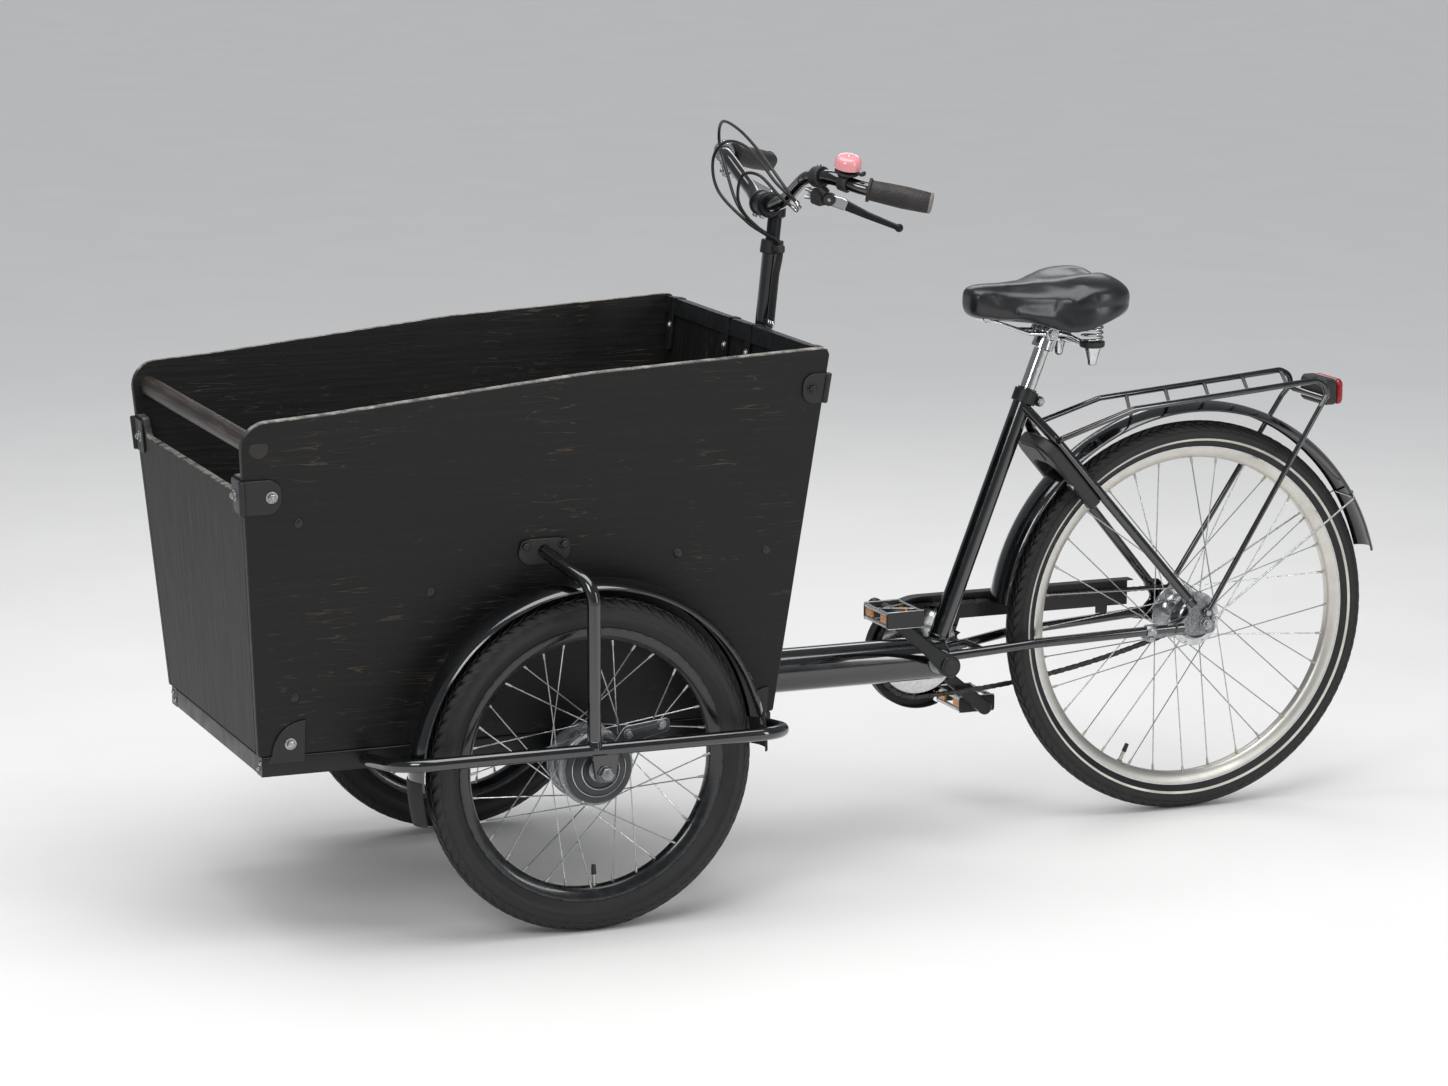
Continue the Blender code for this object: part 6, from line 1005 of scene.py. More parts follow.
# The palm area carries a fine raised weave of about 2 mm, and hands have greyed it.
weave = add(tree, "TexVoronoi", {"Scale": 340.0}, {"Vector": spot})
grime = add(tree, "TexNoise", {"Scale": 45.0, "Detail": 4.0}, {"Vector": spot})
tone = add(tree, "ValToRGB", {"stops": [(0.3, "171413"), (0.7, "292523")]}, {"Fac": grime})
bump = add(tree, "Bump", {"Strength": 0.8, "Distance": 0.0010}, {"Height": weave})
plug(shader, {"Base Color": tone, "Normal": bump})
grip_cap = metal("pale_grip_cap", "7f7b75", "65615c", 0.0, 0.5, 0.15, 0.006, 0.2, IOR=1.5)

grip_axis = (BAR_ROUTE[5] - BAR_ROUTE[4]).normalized()
grip_start = BAR_ROUTE[5] - grip_axis * (0.100 - 0.0043)
grip_up = (Vector((0, 0, 1)) - grip_axis * grip_axis.z).normalized()
grip_out = grip_axis.cross(grip_up)
bm = bmesh.new()
rows = [(0.0, 0.0190, 0.0), (0.0035, 0.0192, 0.0), (0.0055, 0.0160, 0.0), (0.012, 0.0162, 0.0008),
        (0.030, 0.0170, 0.0022), (0.055, 0.0178, 0.0048), (0.075, 0.0172, 0.0062), (0.088, 0.0168, 0.0050),
        (0.0935, 0.0163, 0.0040), (0.0960, 0.0155, 0.0030)]
rings = []
for along, radius, palm in rows:
    ring = []
    for step in range(32):
        a = 2 * math.pi * step / 32
        # The palm rest swells towards the rider and stays flat on top.
        wide = radius + palm * max(0.0, math.cos(a - 0.35)) ** 2
        tall = radius * (1 - 0.06 * max(0.0, math.sin(a)))
        spot = grip_start + grip_axis * along + grip_out * (-wide * math.cos(a))
        ring.append(bm.verts.new(spot + grip_up * (tall * math.sin(a))))
    rings.append(ring)
joined(bm, rings)
bm.faces.new(rings[0][::-1])
bm.faces.new(rings[-1])
lathe(bm, mm(0, 99.5, 12, 99.5, 15.2, 98.5, 16.4, 96.5, 16.4, 95), grip_start, 32, 1, axis=grip_axis)
both("grip", bm, [grip_rubber, grip_cap], "bar", 45)

# Perches: clamps that hold each lever's pivot and the cable adjusters. The left one is a thick black nylon
# housing for a brake and a shift cable; the right one and its lever are polished cast alloy.
bar_axis = (BAR_ROUTE[3] - BAR_ROUTE[2]).normalized()
PERCH = BAR_ROUTE[2].lerp(BAR_ROUTE[3], 0.45)
PIVOT = PERCH + Vector((-0.014, 0.008, -0.034))
pivot_axis = grip_axis.cross(Vector((0, 0, 1))).normalized()
silver = metal("turned_alloy", "c6c7c8", "a9abad", 1.0, 0.2, 0.15, 0.003, 0.15)
lever_place = Matrix((grip_axis, pivot_axis.cross(grip_axis), pivot_axis)).transposed().to_4x4()
lever_place = Matrix.Translation(PIVOT) @ lever_place
body_end = PIVOT + Vector((0.016, -0.022, 0.004))
body_way = (body_end - PIVOT).normalized()
body_up = (Vector((0, 0, 1)) - body_way * body_way.z).normalized()
for side, word in ((1, "left"), (-1, "right")):
    bm = bmesh.new()
    collar(bm, PERCH, bar_axis, BAR_BORE, 0.0161, 0.009, (0.0011, 0.0012), 40)
    bar(bm, PERCH - Vector((0, 0, 0.0153)), PIVOT + Vector((0.006, 0, 0.008)), 0.0075, 0.0082, 24, 0, 0.001)
    for low, high in ((-0.0101, -0.0051), (0.0051, 0.0101)):
        bar(bm, PIVOT + pivot_axis * low, PIVOT + pivot_axis * high, 0.0095, sides=28, slot=0, chamfer=0.0012)
    if side > 0:
        housing = eased(mm(10, -13, 28, -11, 31, 4, 26, 13, 10, 16), [0.002, 0.004, 0.004, 0.004, 0.002], 5)
        plate(bm, housing, -0.0095, 0.0095, axes(body_way, body_up, PIVOT), 0, None, 0.0018)
    else:
        bar(bm, PIVOT.lerp(body_end, 0.38), body_end, 0.0095, 0.0070, 24, 0, 0.0015)
    for y, z in ((0.0, 0.007), (-0.004, -0.006), (0.008, -0.001)):
        start = body_end + Vector((-0.006, y * 0.6, z * 0.6))
        end = body_end + Vector((0.010, y - 0.010, z + 0.003))
        bar(bm, start, end, 0.0040, 0.0030, 16, 1, 0.0004)
        middle = start.lerp(end, 0.60)
        bar(bm, middle, middle + (end - start).normalized() * 0.0030, 0.0043, sides=12, slot=1)
    bar(bm, PIVOT - pivot_axis * 0.0112, PIVOT + pivot_axis * 0.0112, 0.0030, sides=16, slot=1)
    bolt(bm, PERCH + Vector((0.0, 0.0, 0.0158)), (0, 0, 1), 0.0036, 1, "socket", 0.003, False)
    piece(f"brake_perch_{word}", bm, [black_cap if side > 0 else silver, silver], "bar", flip=side < 0)

REACH = 0.112
LEVER = [(-0.008, 0.007), (0.020, 0.006), (REACH * 0.55, -0.006), (REACH, -0.016), (REACH, -0.024),
         (REACH * 0.55, -0.017), (0.018, -0.010), (-0.008, -0.007)]
for side, body, finish in ((1, "left_brake_lever", bar_black), (-1, "right_brake_lever", silver)):
    bm = bmesh.new()
    plate(bm, eased(LEVER, [0.006, 0.05, 0.08, 0.004, 0.004, 0.08, 0.05, 0.006], 8), -0.0040, 0.0040,
          lever_place, 0, None, 0.0016)
    # The blade grows out of a cast root, bright on both sides.
    root = mm(-8, 7.2, 19, 6.8, 29, 3.8, 26, -12, 18, -10.8, -8, -7.2)
    plate(bm, eased(root, [0.006, 0.004, 0.003, 0.003, 0.004, 0.006], 5), -0.0047, 0.0047, lever_place, 1,
          None, 0.0010)
    knob = lever_place @ Vector((REACH, -0.020, 0))
    lathe(bm, mm(0, -5.5, 4, -5, 6, -3, 6.6, 0, 6, 3, 4, 5, 0, 5.5), knob, 28, 0, axis=pivot_axis)
    bar(bm, PIVOT - pivot_axis * 0.0044, PIVOT + pivot_axis * 0.0044, 0.0056, sides=24, slot=1,
        chamfer=0.0004)
    word = "left" if side > 0 else "right"
    if side < 0:
        bmesh.ops.transform(bm, matrix=MIRROR, verts=bm.verts)
        bmesh.ops.reverse_faces(bm, faces=bm.faces)
    piece(f"brake_lever_{word}", bm, [finish, silver], body)

# Bell: a pink enamelled dome over a black base, struck by a sprung thumb lever between the two.
pink = metal("pink_enamel", "d98f94", "cc8187", 0.0, 0.16, 0.1, 0.010, 0.08, IOR=1.5, Coat_Weight=0.7,
             Coat_Roughness=0.06)
bell_axis = (BAR_ROUTE[4] - BAR_ROUTE[3]).normalized()
bell_spot = BAR_ROUTE[3].lerp(BAR_ROUTE[4], 0.49)
bell_up = Vector((0, -bell_axis.z, bell_axis.y)).normalized()
bell_foot = bell_spot + bell_up * 0.0134
bm = bmesh.new()
collar(bm, bell_spot, bell_axis, BAR_BORE, 0.0149, 0.008, (0.0009, 0.0010), 40, 1)
bar(bm, bell_foot, bell_foot + bell_up * 0.018, 0.0050, sides=24, slot=1)
lathe(bm, mm(0, 1.5, 17.5, 1.5, 19, 2.5, 19, 4.8, 17.8, 6, 0, 6), bell_foot, 48, 1, axis=bell_up)
dome = []
for step in range(13):
    angle = math.radians(88 - 84 * step / 12)
    dome.append((0.0208 * math.cos(angle) ** 0.42, 0.0125 + 0.0175 * math.sin(angle) ** 0.8))
dome += mm(20.9, 12.5, 21.2, 11.8, 20.8, 11.3, 19.8, 11.8, 19, 15, 14, 24)
lathe(bm, [(0.0, 0.0301), *dome, (0.0, 0.0280)], bell_foot, 56, 0, axis=bell_up)
bolt(bm, bell_foot + bell_up * 0.0298, bell_up, 0.0030, 2, "dome", 0.0012, False)
piece("bell", bm, [pink, black_cap, polished], "bar", 45)

across = bell_axis.cross(bell_up)
lever_place = Matrix((bell_axis, across, bell_up)).transposed().to_4x4()
lever_place = Matrix.Translation(bell_foot) @ lever_place
bm = bmesh.new()
lathe(bm, mm(5.6, 6.6, 11.5, 6.6, 12, 7.1, 12, 8.7, 11.5, 9.2, 5.6, 9.2), bell_foot, 36, 0, True,
      axis=bell_up)
finger = mm(6, -4, 24, -3.6, 31, -6, 31, 6, 24, 3.6, 6, 4)
plate(bm, eased(finger, [0, 0.006, 0.003, 0.003, 0.006, 0], 5), 0.0070, 0.0088, lever_place)
pad = square(0.0255, 0.031, -0.006, 0.006, 0.002)
plate(bm, pad, 0.0070, 0.0130, lever_place, 0, None, 0.0012)
piece("bell_lever", bm, [black_cap], "bell_thumb", 45)

# Control cables: black plastic housings with ferrules, fixed in loops over the bar and gathered by a
# clip on the column's collar. They are stiff parts of the bicycle and never hang loose.
cable_black = metal("cable_housing", "141415", "1d1d1e", 0.0, 0.34, 0.1, 0.010, 0.1, IOR=1.5)
CABLE_LOOPS = (
    ((0.768, 0.158, 1.058), (0.786, 0.112, 1.086), (0.802, 0.050, 1.130), (0.816, -0.012, 1.138),
     (0.824, -0.050, 1.108), (0.818, -0.044, 1.058), (0.786, 0.000, 1.012)),
    ((0.768, 0.154, 1.046), (0.784, 0.122, 1.066), (0.800, 0.080, 1.094), (0.812, 0.040, 1.090),
     (0.812, 0.024, 1.050), (0.790, 0.026, 1.015)),
    ((0.768, 0.166, 1.051), (0.790, 0.138, 1.092), (0.798, 0.080, 1.128), (0.800, 0.000, 1.156),
     (0.796, -0.080, 1.162), (0.786, -0.120, 1.130), (0.784, -0.096, 1.086), (0.794, -0.020, 1.036),
     (0.776, 0.024, 1.004)),
)


def smooth_path(points, count):
    """Evenly numbered points on a smooth curve through the given points."""
    points = [Vector(point) for point in points]
    padded = [points[0] * 2 - points[1], *points, points[-1] * 2 - points[-2]]
    path = []
    for step in range(count):
        place = step * (len(points) - 1) / (count - 1)
        index = min(int(place), len(points) - 2)
        t = place - index
        a, b, c, d = padded[index:index + 4]
        spot = b * 2 + (c - a) * t + (a * 2 - b * 5 + c * 4 - d) * t * t
        path.append((spot + (b * 3 - a - c * 3 + d) * t**3) / 2)
    return path


bm = bmesh.new()
for number, route in enumerate(CABLE_LOOPS):
    tail = []
    for z in (0.978, 0.930, 0.890, 0.850):
        place = column_place(z)
        tail.append(Vector((place.x + 0.002, 0.0238 + number * 0.0075, z)))
    path = smooth_path([*route, *tail], 120)
    sweep(bm, path, 0.0025, 12)
    for end, near, length in ((path[0], path[1], 0.013), (path[-1], path[-2], 0.011)):
        bar(bm, end, end + (near - end).normalized() * length, 0.0032, sides=16, slot=1, chamfer=0.0004)
clip = column_place(0.973)
clip_y = COLUMN_RADIUS + 0.004 + FIT
outline = square(clip.x - 0.0045, clip.x + 0.0085, 0.967, 0.979, 0.003, 5)
plate(bm, outline, -clip_y - 0.024, -clip_y, UPRIGHT, 2, None, 0.0012)
piece("control_cables", bm, [cable_black, silver, black_cap], "bar", 50)

# Rear frame: one fat main tube welded to the seat tube and stays, with the steering's head tube at its
# front. It is painted gloss black; the left dropout's paint has chipped to bright steel.
CRANK = Vector((CRANK_X, 0, CRANK_Z))
SEAT_LEAN = math.radians(21.1)
SEAT_AXIS = Vector((-math.sin(SEAT_LEAN), 0, math.cos(SEAT_LEAN)))
SEAT_TOP = CRANK + SEAT_AXIS * 0.462
POST_TOP = SEAT_TOP + SEAT_AXIS * 0.080
REAR_RADIUS = 0.326
DROPOUT_Y = 0.068
chipped_steel = metal("chipped_dropout", "9c9d9e", "54565a", 0.9, 0.34, 0.25, 0.003, 0.4)
STAY_END = Vector((0.040, DROPOUT_Y, REAR_RADIUS - 0.004))
STAY_BEND = Vector((CRANK_X - 0.157, 0.047, CRANK_Z + 0.019))
UPPER_TOP = SEAT_TOP - SEAT_AXIS * 0.030
UPPER_BEND = UPPER_TOP + Vector((-0.040, 0.042, -0.050))
UPPER_LOW = Vector((0.022, DROPOUT_Y, REAR_RADIUS + 0.032))


def weld(bm, centre, axis, radius, slot=0):
    """A weld bead round a tube: a narrow rounded ring."""
    ring = mm(-0.8, -3, 1.4, -1.4, 1.7, 0, 1.4, 1.4, -0.8, 3, at=(radius, 0))
    lathe(bm, ring, centre, 36, slot, True, axis=axis)


# Both stays end on the dropout, and its front edge is hollowed between them.
DROPOUT = mm(70, -13, 70, 4, 44, 4, 28, 20, 42, 42, 42, 50, 16, 50, -18, 12, -18, -16, 20, -20,
             at=(0, REAR_RADIUS))
DROPOUT = eased(DROPOUT, [0.006, 0.003, 0.008, 0.010, 0.004, 0.003, 0.006, 0.008, 0.008, 0.008], 5)
bm = bmesh.new()
bar(bm, (CRANK_X - 0.020, 0, CRANK_Z), (KINGPIN_X, 0, CRANK_Z), 0.035, sides=56, chamfer=0.004)
pin(bm, CRANK_X, CRANK_Z, -0.037, 0.037, 0.021, sides=40, chamfer=0.001)
for side in (1, -1):
    ring = mm(9, 33.5, 18, 33.5, 19.6, 34.5, 19.6, 37.8, 18, 38.4, 9, 38.4)
    lathe(bm, [(r, side * y) for r, y in ring], CRANK, 40, 2, True)
bar(bm, CRANK, SEAT_TOP, 0.0159, sides=36)
weld(bm, CRANK + SEAT_AXIS * 0.0365, SEAT_AXIS, 0.0159)
bar(bm, (KINGPIN_X, 0, CRANK_Z - 0.048), (KINGPIN_X, 0, CRANK_Z + 0.039), 0.024, sides=40, chamfer=0.001)
pin(bm, CRANK_X - 0.077, CRANK_Z + 0.012, -0.036, 0.036, 0.006, sides=20)
share = (UPPER_BEND.z - 0.015 - UPPER_LOW.z) / (UPPER_BEND.z - UPPER_LOW.z)
bridge = UPPER_LOW.lerp(UPPER_BEND, share)
pin(bm, bridge.x, bridge.z, -bridge.y, bridge.y, 0.005, sides=20)
for side in (1, -1):
    flip = Vector((1, side, 1))
    lower = [Vector((CRANK_X - 0.005, side * 0.022, CRANK_Z + 0.004)),
             Vector((CRANK_X - 0.083, side * 0.034, CRANK_Z + 0.011)), STAY_BEND * flip, STAY_END * flip]
    sweep(bm, bent(lower, 0.10, 8), 0.008, 24)
    upper = [Vector((UPPER_TOP.x, side * 0.010, UPPER_TOP.z)), UPPER_BEND * flip, UPPER_LOW * flip]
    sweep(bm, bent(upper, 0.05, 8), 0.008, 24)
    middle = -side * DROPOUT_Y
    plate(bm, DROPOUT, middle - 0.003, middle + 0.003, UPRIGHT, 1 if side > 0 else 0, None, 0.0010)
    ahead = (STAY_END * flip - STAY_BEND * flip).normalized()
    weld(bm, STAY_END * flip - ahead * 0.014, ahead, 0.0080)
    ahead = (UPPER_LOW * flip - UPPER_BEND * flip).normalized()
    weld(bm, UPPER_LOW * flip - ahead * 0.012, ahead, 0.0080)
piece("frame", bm, [gloss_black, chipped_steel, cast_alloy], "rear", 40)

# Seat clamp: a black steel band at the seat tube's mouth, pinched behind by a bolt and nut.
bm = bmesh.new()
clamp_at = SEAT_TOP - SEAT_AXIS * 0.014
collar(bm, clamp_at, SEAT_AXIS, 0.0162, 0.0197, 0.011, (0.0011, 0.0012), 40)
back = -Vector((math.cos(SEAT_LEAN), 0, math.sin(SEAT_LEAN)))
ear_at = clamp_at + back * (0.0161 + 0.009)
for low, high in ((-0.0080, -0.0016), (0.0016, 0.0080)):
    bar(bm, ear_at + Vector((0, low, 0)), ear_at + Vector((0, high, 0)), 0.0085, sides=28, chamfer=0.001)
bar(bm, ear_at + Vector((0, -0.016, 0)), ear_at + Vector((0, 0.016, 0)), 0.0040, sides=18, slot=1)
bar(bm, ear_at + Vector((0, 0.008, 0)), ear_at + Vector((0, 0.0142, 0)), 0.0066, sides=6, slot=1)
bar(bm, ear_at + Vector((0, -0.0082, 0)), ear_at + Vector((0, -0.0130, 0)), 0.0064, sides=24, slot=1)
piece("seat_clamp", bm, [satin_black, zinc], "rear")

# Brake arm: a cast arm from the rear hub to a band round the left chain stay, which holds the hub's
# brake against turning.
bm = bmesh.new()
z = REAR_RADIUS
outline = arc(0.017, 90, 270, 24, (0, z)) + mm(98, -26, 106, -20, 104, -12, at=(0, z))
plate(bm, outline, -0.0495, -0.0455, UPRIGHT, 0, None, 0.0010)
ridge = eased(mm(20, -6, 20, 4, 90, -14, 90, -20, at=(0, z)), 0.002, 4)
plate(bm, ridge, -0.0508, -0.0490, UPRIGHT, 0)
lathe(bm, mm(5.4, 41.5, 13, 41.5, 14.5, 43, 14.5, 57.5, 13, 59, 5.4, 59), (0, 0, z), 48, 1, True)
share = (0.098 - STAY_BEND.x) / (STAY_END.x - STAY_BEND.x)
grip_at = STAY_BEND.lerp(STAY_END, share)
along = (STAY_END - STAY_BEND).normalized()
collar(bm, grip_at, along, 0.0083, 0.0108, 0.008, (0.0006, 0.0010), 36, 2)
lug_z = grip_at.z - 0.0083 - 0.0055
pin(bm, 0.098, lug_z, 0.0470, grip_at.y + 0.004, 0.0052, sides=24, slot=2)
bolt(bm, (0.098, grip_at.y + 0.004, lug_z), (0, 1, 0), 0.0050, 3, "hex", 0.0040, False)
piece("torque_arm", bm, [cast_alloy, silver, zinc, zinc], "rear", 40)

# Rear axle: threaded steel with flanged nuts outside the dropouts and cones inside them.
bm = bmesh.new()
outer = DROPOUT_Y + 0.003 + FIT
inner = DROPOUT_Y - 0.003 - FIT
pin(bm, 0, z, -outer - 0.014, outer + 0.014, 0.005, sides=24)
for side in (1, -1):
    for low, high, radius, sides in ((inner - 0.005, inner, 0.0085, 24), (outer, outer + 0.0016, 0.0108, 32),
                                     (outer + 0.0016, outer + 0.0090, 0.0092, 6)):
        pin(bm, 0, z, side * low, side * high, radius, sides=sides, chamfer=0.0007)
piece("rear_axle", bm, [zinc], "rear")

# Seat post: a chromed steel tube with faint rust freckles where the plating has let water in.
post_chrome, tree, shader, spot = new_material("freckled_chrome", 1.0, 0.12)
specks = add(tree, "TexNoise", {"Scale": 330.0, "Detail": 6.0, "Roughness": 0.7}, {"Vector": spot})
tone = add(tree, "ValToRGB", {"stops": [(0.60, "d4d4d3"), (0.68, "8a6a4e")]}, {"Fac": specks})
dull = add(tree, "MapRange", {"From Min": 0.55, "From Max": 0.7, "To Min": 0.10, "To Max": 0.55},
           {"Value": specks})
bump = add(tree, "Bump", {"Strength": 0.15, "Distance": 0.0002}, {"Height": specks})
plug(shader, {"Base Color": tone, "Roughness": dull, "Normal": bump})
bm = bmesh.new()
bar(bm, SEAT_TOP - SEAT_AXIS * 0.120, POST_TOP, 0.0127, sides=36, chamfer=0.001)
piece("seat_post", bm, [post_chrome], "seat")

# Saddle frame: a chromed clamp and rails, with a cross bar that carries two springs on black caps over
# turned cones. The rails run forward to a bar under the cushion's nose.
chrome = metal("bright_chrome", "d9dadb", "c3c4c6", 1.0, 0.08, 0.1, 0.010, 0.05)
TOP = POST_TOP
SPRING_X = TOP.x - 0.055
SPRING_LOW = TOP.z + 0.006
SADDLE_BACK, SADDLE_LENGTH = 0.119, 0.262
NOSE_BAR = SADDLE_LENGTH * 0.8818 - SADDLE_BACK
bm = bmesh.new()
bar(bm, TOP - SEAT_AXIS * 0.014, TOP + SEAT_AXIS * 0.012, 0.0187, 0.0180, 32, 0, 0.002)
pin(bm, TOP.x, TOP.z + 0.016, -0.030, 0.030, 0.008, sides=24)
for side in (1, -1):
    for low, high in ((0.0185, 0.0300), (0.0060, 0.0150)):
        pin(bm, TOP.x, TOP.z + 0.016, side * low, side * high, 0.0118, sides=28, chamfer=0.0015)
    bolt(bm, (TOP.x, side * 0.030, TOP.z + 0.016), (0, side, 0), 0.0072, 1, "hex", 0.0048, False)
    rail = [(TOP.x + NOSE_BAR + 0.002, side * 0.012, TOP.z + 0.044),
            (TOP.x + 0.085, side * 0.016, TOP.z + 0.034), (TOP.x + 0.040, side * 0.024, TOP.z + 0.018),
            (TOP.x - 0.025, side * 0.026, TOP.z + 0.014), (TOP.x - 0.055, side * 0.060, TOP.z - 0.004)]
    sweep(bm, bent(rail, 0.020, 8), 0.0036, 16)
    centre = (SPRING_X, side * 0.060, SPRING_LOW)
    cap = mm(0, -10, 18, -10, 20, -8.5, 20.5, -6, 20.5, -1, 19.8, -0.4, 0, -0.4)
    lathe(bm, cap, centre, 40, 2, axis=(0, 0, 1))
    cone = mm(0, -39.5, 6, -39, 7.8, -37.2, 8.4, -34.5, 9.5, -29, 12.2, -21, 14, -15, 15.8, -11, 15.8, -9.8,
              0, -9.8)
    lathe(bm, cone, centre, 40, 0, axis=(0, 0, 1))
pin(bm, SPRING_X, SPRING_LOW - 0.010, -0.060, 0.060, 0.0050, sides=20)
pin(bm, TOP.x + NOSE_BAR, TOP.z + 0.0449, -0.018, 0.018, 0.0065, sides=24, chamfer=0.0015)
piece("saddle_frame", bm, [chrome, zinc, black_cap], "seat", 40)

# Saddle springs: two open coils of chromed wire, three turns each, between the frame's caps and the
# cushion's base.
for side, word in ((1, "left"), (-1, "right")):
    bm = bmesh.new()
    rise = 0.029 - 0.004 - FIT
    path = []
    for step in range(145):
        angle = 2 * math.pi * 3 * step / 144
        spot = (SPRING_X + 0.0165 * math.cos(angle), side * 0.060 + 0.0165 * math.sin(angle))
        path.append(Vector((*spot, SPRING_LOW + 0.002 + rise * step / 144)))
    sweep(bm, path, 0.0020, 12)
    piece(f"saddle_spring_{word}", bm, [chrome], "seat", 50)

# Saddle: foam under stretched satin-black vinyl, broad and humped at the back with a dip down its
# middle. A skirt hangs along both sides, and a seam runs round the back.
vinyl, tree, shader, spot = new_material("satin_saddle_vinyl", 0.0, 0.36, IOR=1.5, Coat_Weight=0.25,
                                         Coat_Roughness=0.25)
# Embossed leather grain: pebbles of about 1.5 mm with wear that shines where the rider sits.
pebble = add(tree, "TexVoronoi", {"feature": "DISTANCE_TO_EDGE", "Scale": 620.0}, {"Vector": spot})
wear = add(tree, "TexNoise", {"Scale": 14.0, "Detail": 5.0}, {"Vector": spot})
tone = add(tree, "ValToRGB", {"stops": [(0.3, "101114"), (0.7, "1b1d21")]}, {"Fac": wear})
gloss = add(tree, "MapRange", {"To Min": 0.22, "To Max": 0.42}, {"Value": wear})
bump = add(tree, "Bump", {"Strength": 0.25, "Distance": 0.0003}, {"Height": pebble})
plug(shader, {"Base Color": tone, "Roughness": gloss, "Normal": bump})

SADDLE_SHAPE = (
    (0.00, 0.062, 0.086, 0.054), (0.05, 0.092, 0.105, 0.043), (0.16, 0.110, 0.115, 0.036),
    (0.32, 0.112, 0.113, 0.033), (0.46, 0.100, 0.105, 0.033), (0.60, 0.073, 0.098, 0.035),
    (0.74, 0.049, 0.096, 0.038), (0.90, 0.038, 0.096, 0.040), (0.97, 0.032, 0.093, 0.044),
    (1.00, 0.020, 0.086, 0.052),
)
sections = smooth_path(SADDLE_SHAPE, 60)
SADDLE_BASE = SPRING_LOW + 0.029


def saddle_ring(section, sides=48):
    """One cross section of the cushion, drawn in by what the foam will swell."""
    share, half, crown, under = section
    inward = 0.004
    x = TOP.x - SADDLE_BACK + share * SADDLE_LENGTH
    middle = (crown + under) / 2 + 0.006
    hump = max(0.0, 1 - abs(share - 0.22) / 0.30)
    ring = []
    for step in range(sides):
        angle = 2 * math.pi * step / sides
        y = (half - inward) * math.copysign(abs(math.cos(angle)) ** 0.75, math.cos(angle))
        lift = math.copysign(abs(math.sin(angle)) ** 0.8, math.sin(angle))
        height = ((crown - inward * 0.7) - middle if lift > 0 else middle - under) * lift
        dip = 0.016 * hump * math.exp(-((y / 0.032) ** 2)) if lift > 0 else 0
        # The skirt hangs below the base along both sides, deepest half way to the nose.
        skirt = 0.045 * math.exp(-(((share - 0.42) / 0.28) ** 2)) * abs(y / half) ** 4
        ring.append(Vector((x, y, max(TOP.z + middle + height - dip - skirt * (lift < 0),
                                      SADDLE_BASE - skirt))))
    return ring


def swelled(name, bm, reach, voxel, steps):
    """A closed form blown up a little by a cloth simulation, its points kept within a reach, as a bmesh."""
    mesh = bpy.data.meshes.new(name)
    bmesh.ops.recalc_face_normals(bm, faces=bm.faces)
    bm.to_mesh(mesh)
    obj = bpy.data.objects.new(name, mesh)
    bpy.context.scene.collection.objects.link(obj)
    remesh = obj.modifiers.new("voxels", "REMESH")
    remesh.mode = "VOXEL"
    remesh.voxel_size = voxel
    graph = bpy.context.evaluated_depsgraph_get()
    start = bpy.data.meshes.new_from_object(obj.evaluated_get(graph))
    obj.modifiers.clear()
    obj.data = start
    before = [vertex.co.copy() for vertex in start.vertices]
    cloth = obj.modifiers.new("swell", "CLOTH")
    cloth.settings.use_pressure = True
    cloth.settings.uniform_pressure_force = 4
    cloth.settings.effector_weights.gravity = 0
    cloth.settings.quality = 5
    held = obj.vertex_groups.new(name="held")
    low = min(spot.z for spot in before)
    held.add([i for i, spot in enumerate(before) if spot.z < low + 0.012], 1.0, "REPLACE")
    cloth.settings.vertex_group_mass = "held"
    cloth.point_cache.frame_start = 1
    cloth.point_cache.frame_end = steps
    for frame_number in range(1, steps + 1):
        bpy.context.scene.frame_set(frame_number)
    graph = bpy.context.evaluated_depsgraph_get()
    after = bpy.data.meshes.new_from_object(obj.evaluated_get(graph))
    obj.modifiers.clear()
    for vertex, old, moved in zip(start.vertices, before, after.vertices):
        shift = moved.co - old
        if shift.length > reach:
            shift *= reach / shift.length
        vertex.co = old + shift
    bpy.context.scene.frame_set(1)
    result = bmesh.new()
    result.from_mesh(obj.data)
    bpy.data.objects.remove(obj)
    return result


bm = bmesh.new()
rings = [[bm.verts.new(spot) for spot in saddle_ring(section)] for section in sections]
joined(bm, rings)
bm.faces.new(rings[0])
bm.faces.new(rings[-1])
pad = swelled("saddle_pad", bm, 0.005, 0.004, 20)
bm.free()
for _ in range(2):
    bmesh.ops.smooth_vert(pad, verts=pad.verts, factor=0.5, use_axis_x=True, use_axis_y=True, use_axis_z=True)
# The sewn edge: a seam drawn round the widest line of the rear half, as a shallow groove.
for vertex in pad.verts:
    share = (vertex.co.x - TOP.x + SADDLE_BACK) / SADDLE_LENGTH
    crown, under = sections[min(max(int(share * 59), 0), 59)][2:]
    line = TOP.z + under + (crown - under) * 0.40
    gap = (vertex.co.z - line) / 0.0045
    if abs(gap) < 2.0 and share < 0.42 and vertex.co.z > SADDLE_BASE + 0.002:
        out = Vector((0, math.copysign(1, vertex.co.y), 0)) if abs(vertex.co.y) > 0.02 else vertex.normal
        vertex.co -= out * 0.0016 * math.exp(-gap * gap) * min(1.0, (0.42 - share) * 8)
saddle = piece("saddle", pad, [vinyl], "seat", 60)
smoothing = saddle.modifiers.new("smooth", "SUBSURF")
smoothing.levels = smoothing.render_levels = 1

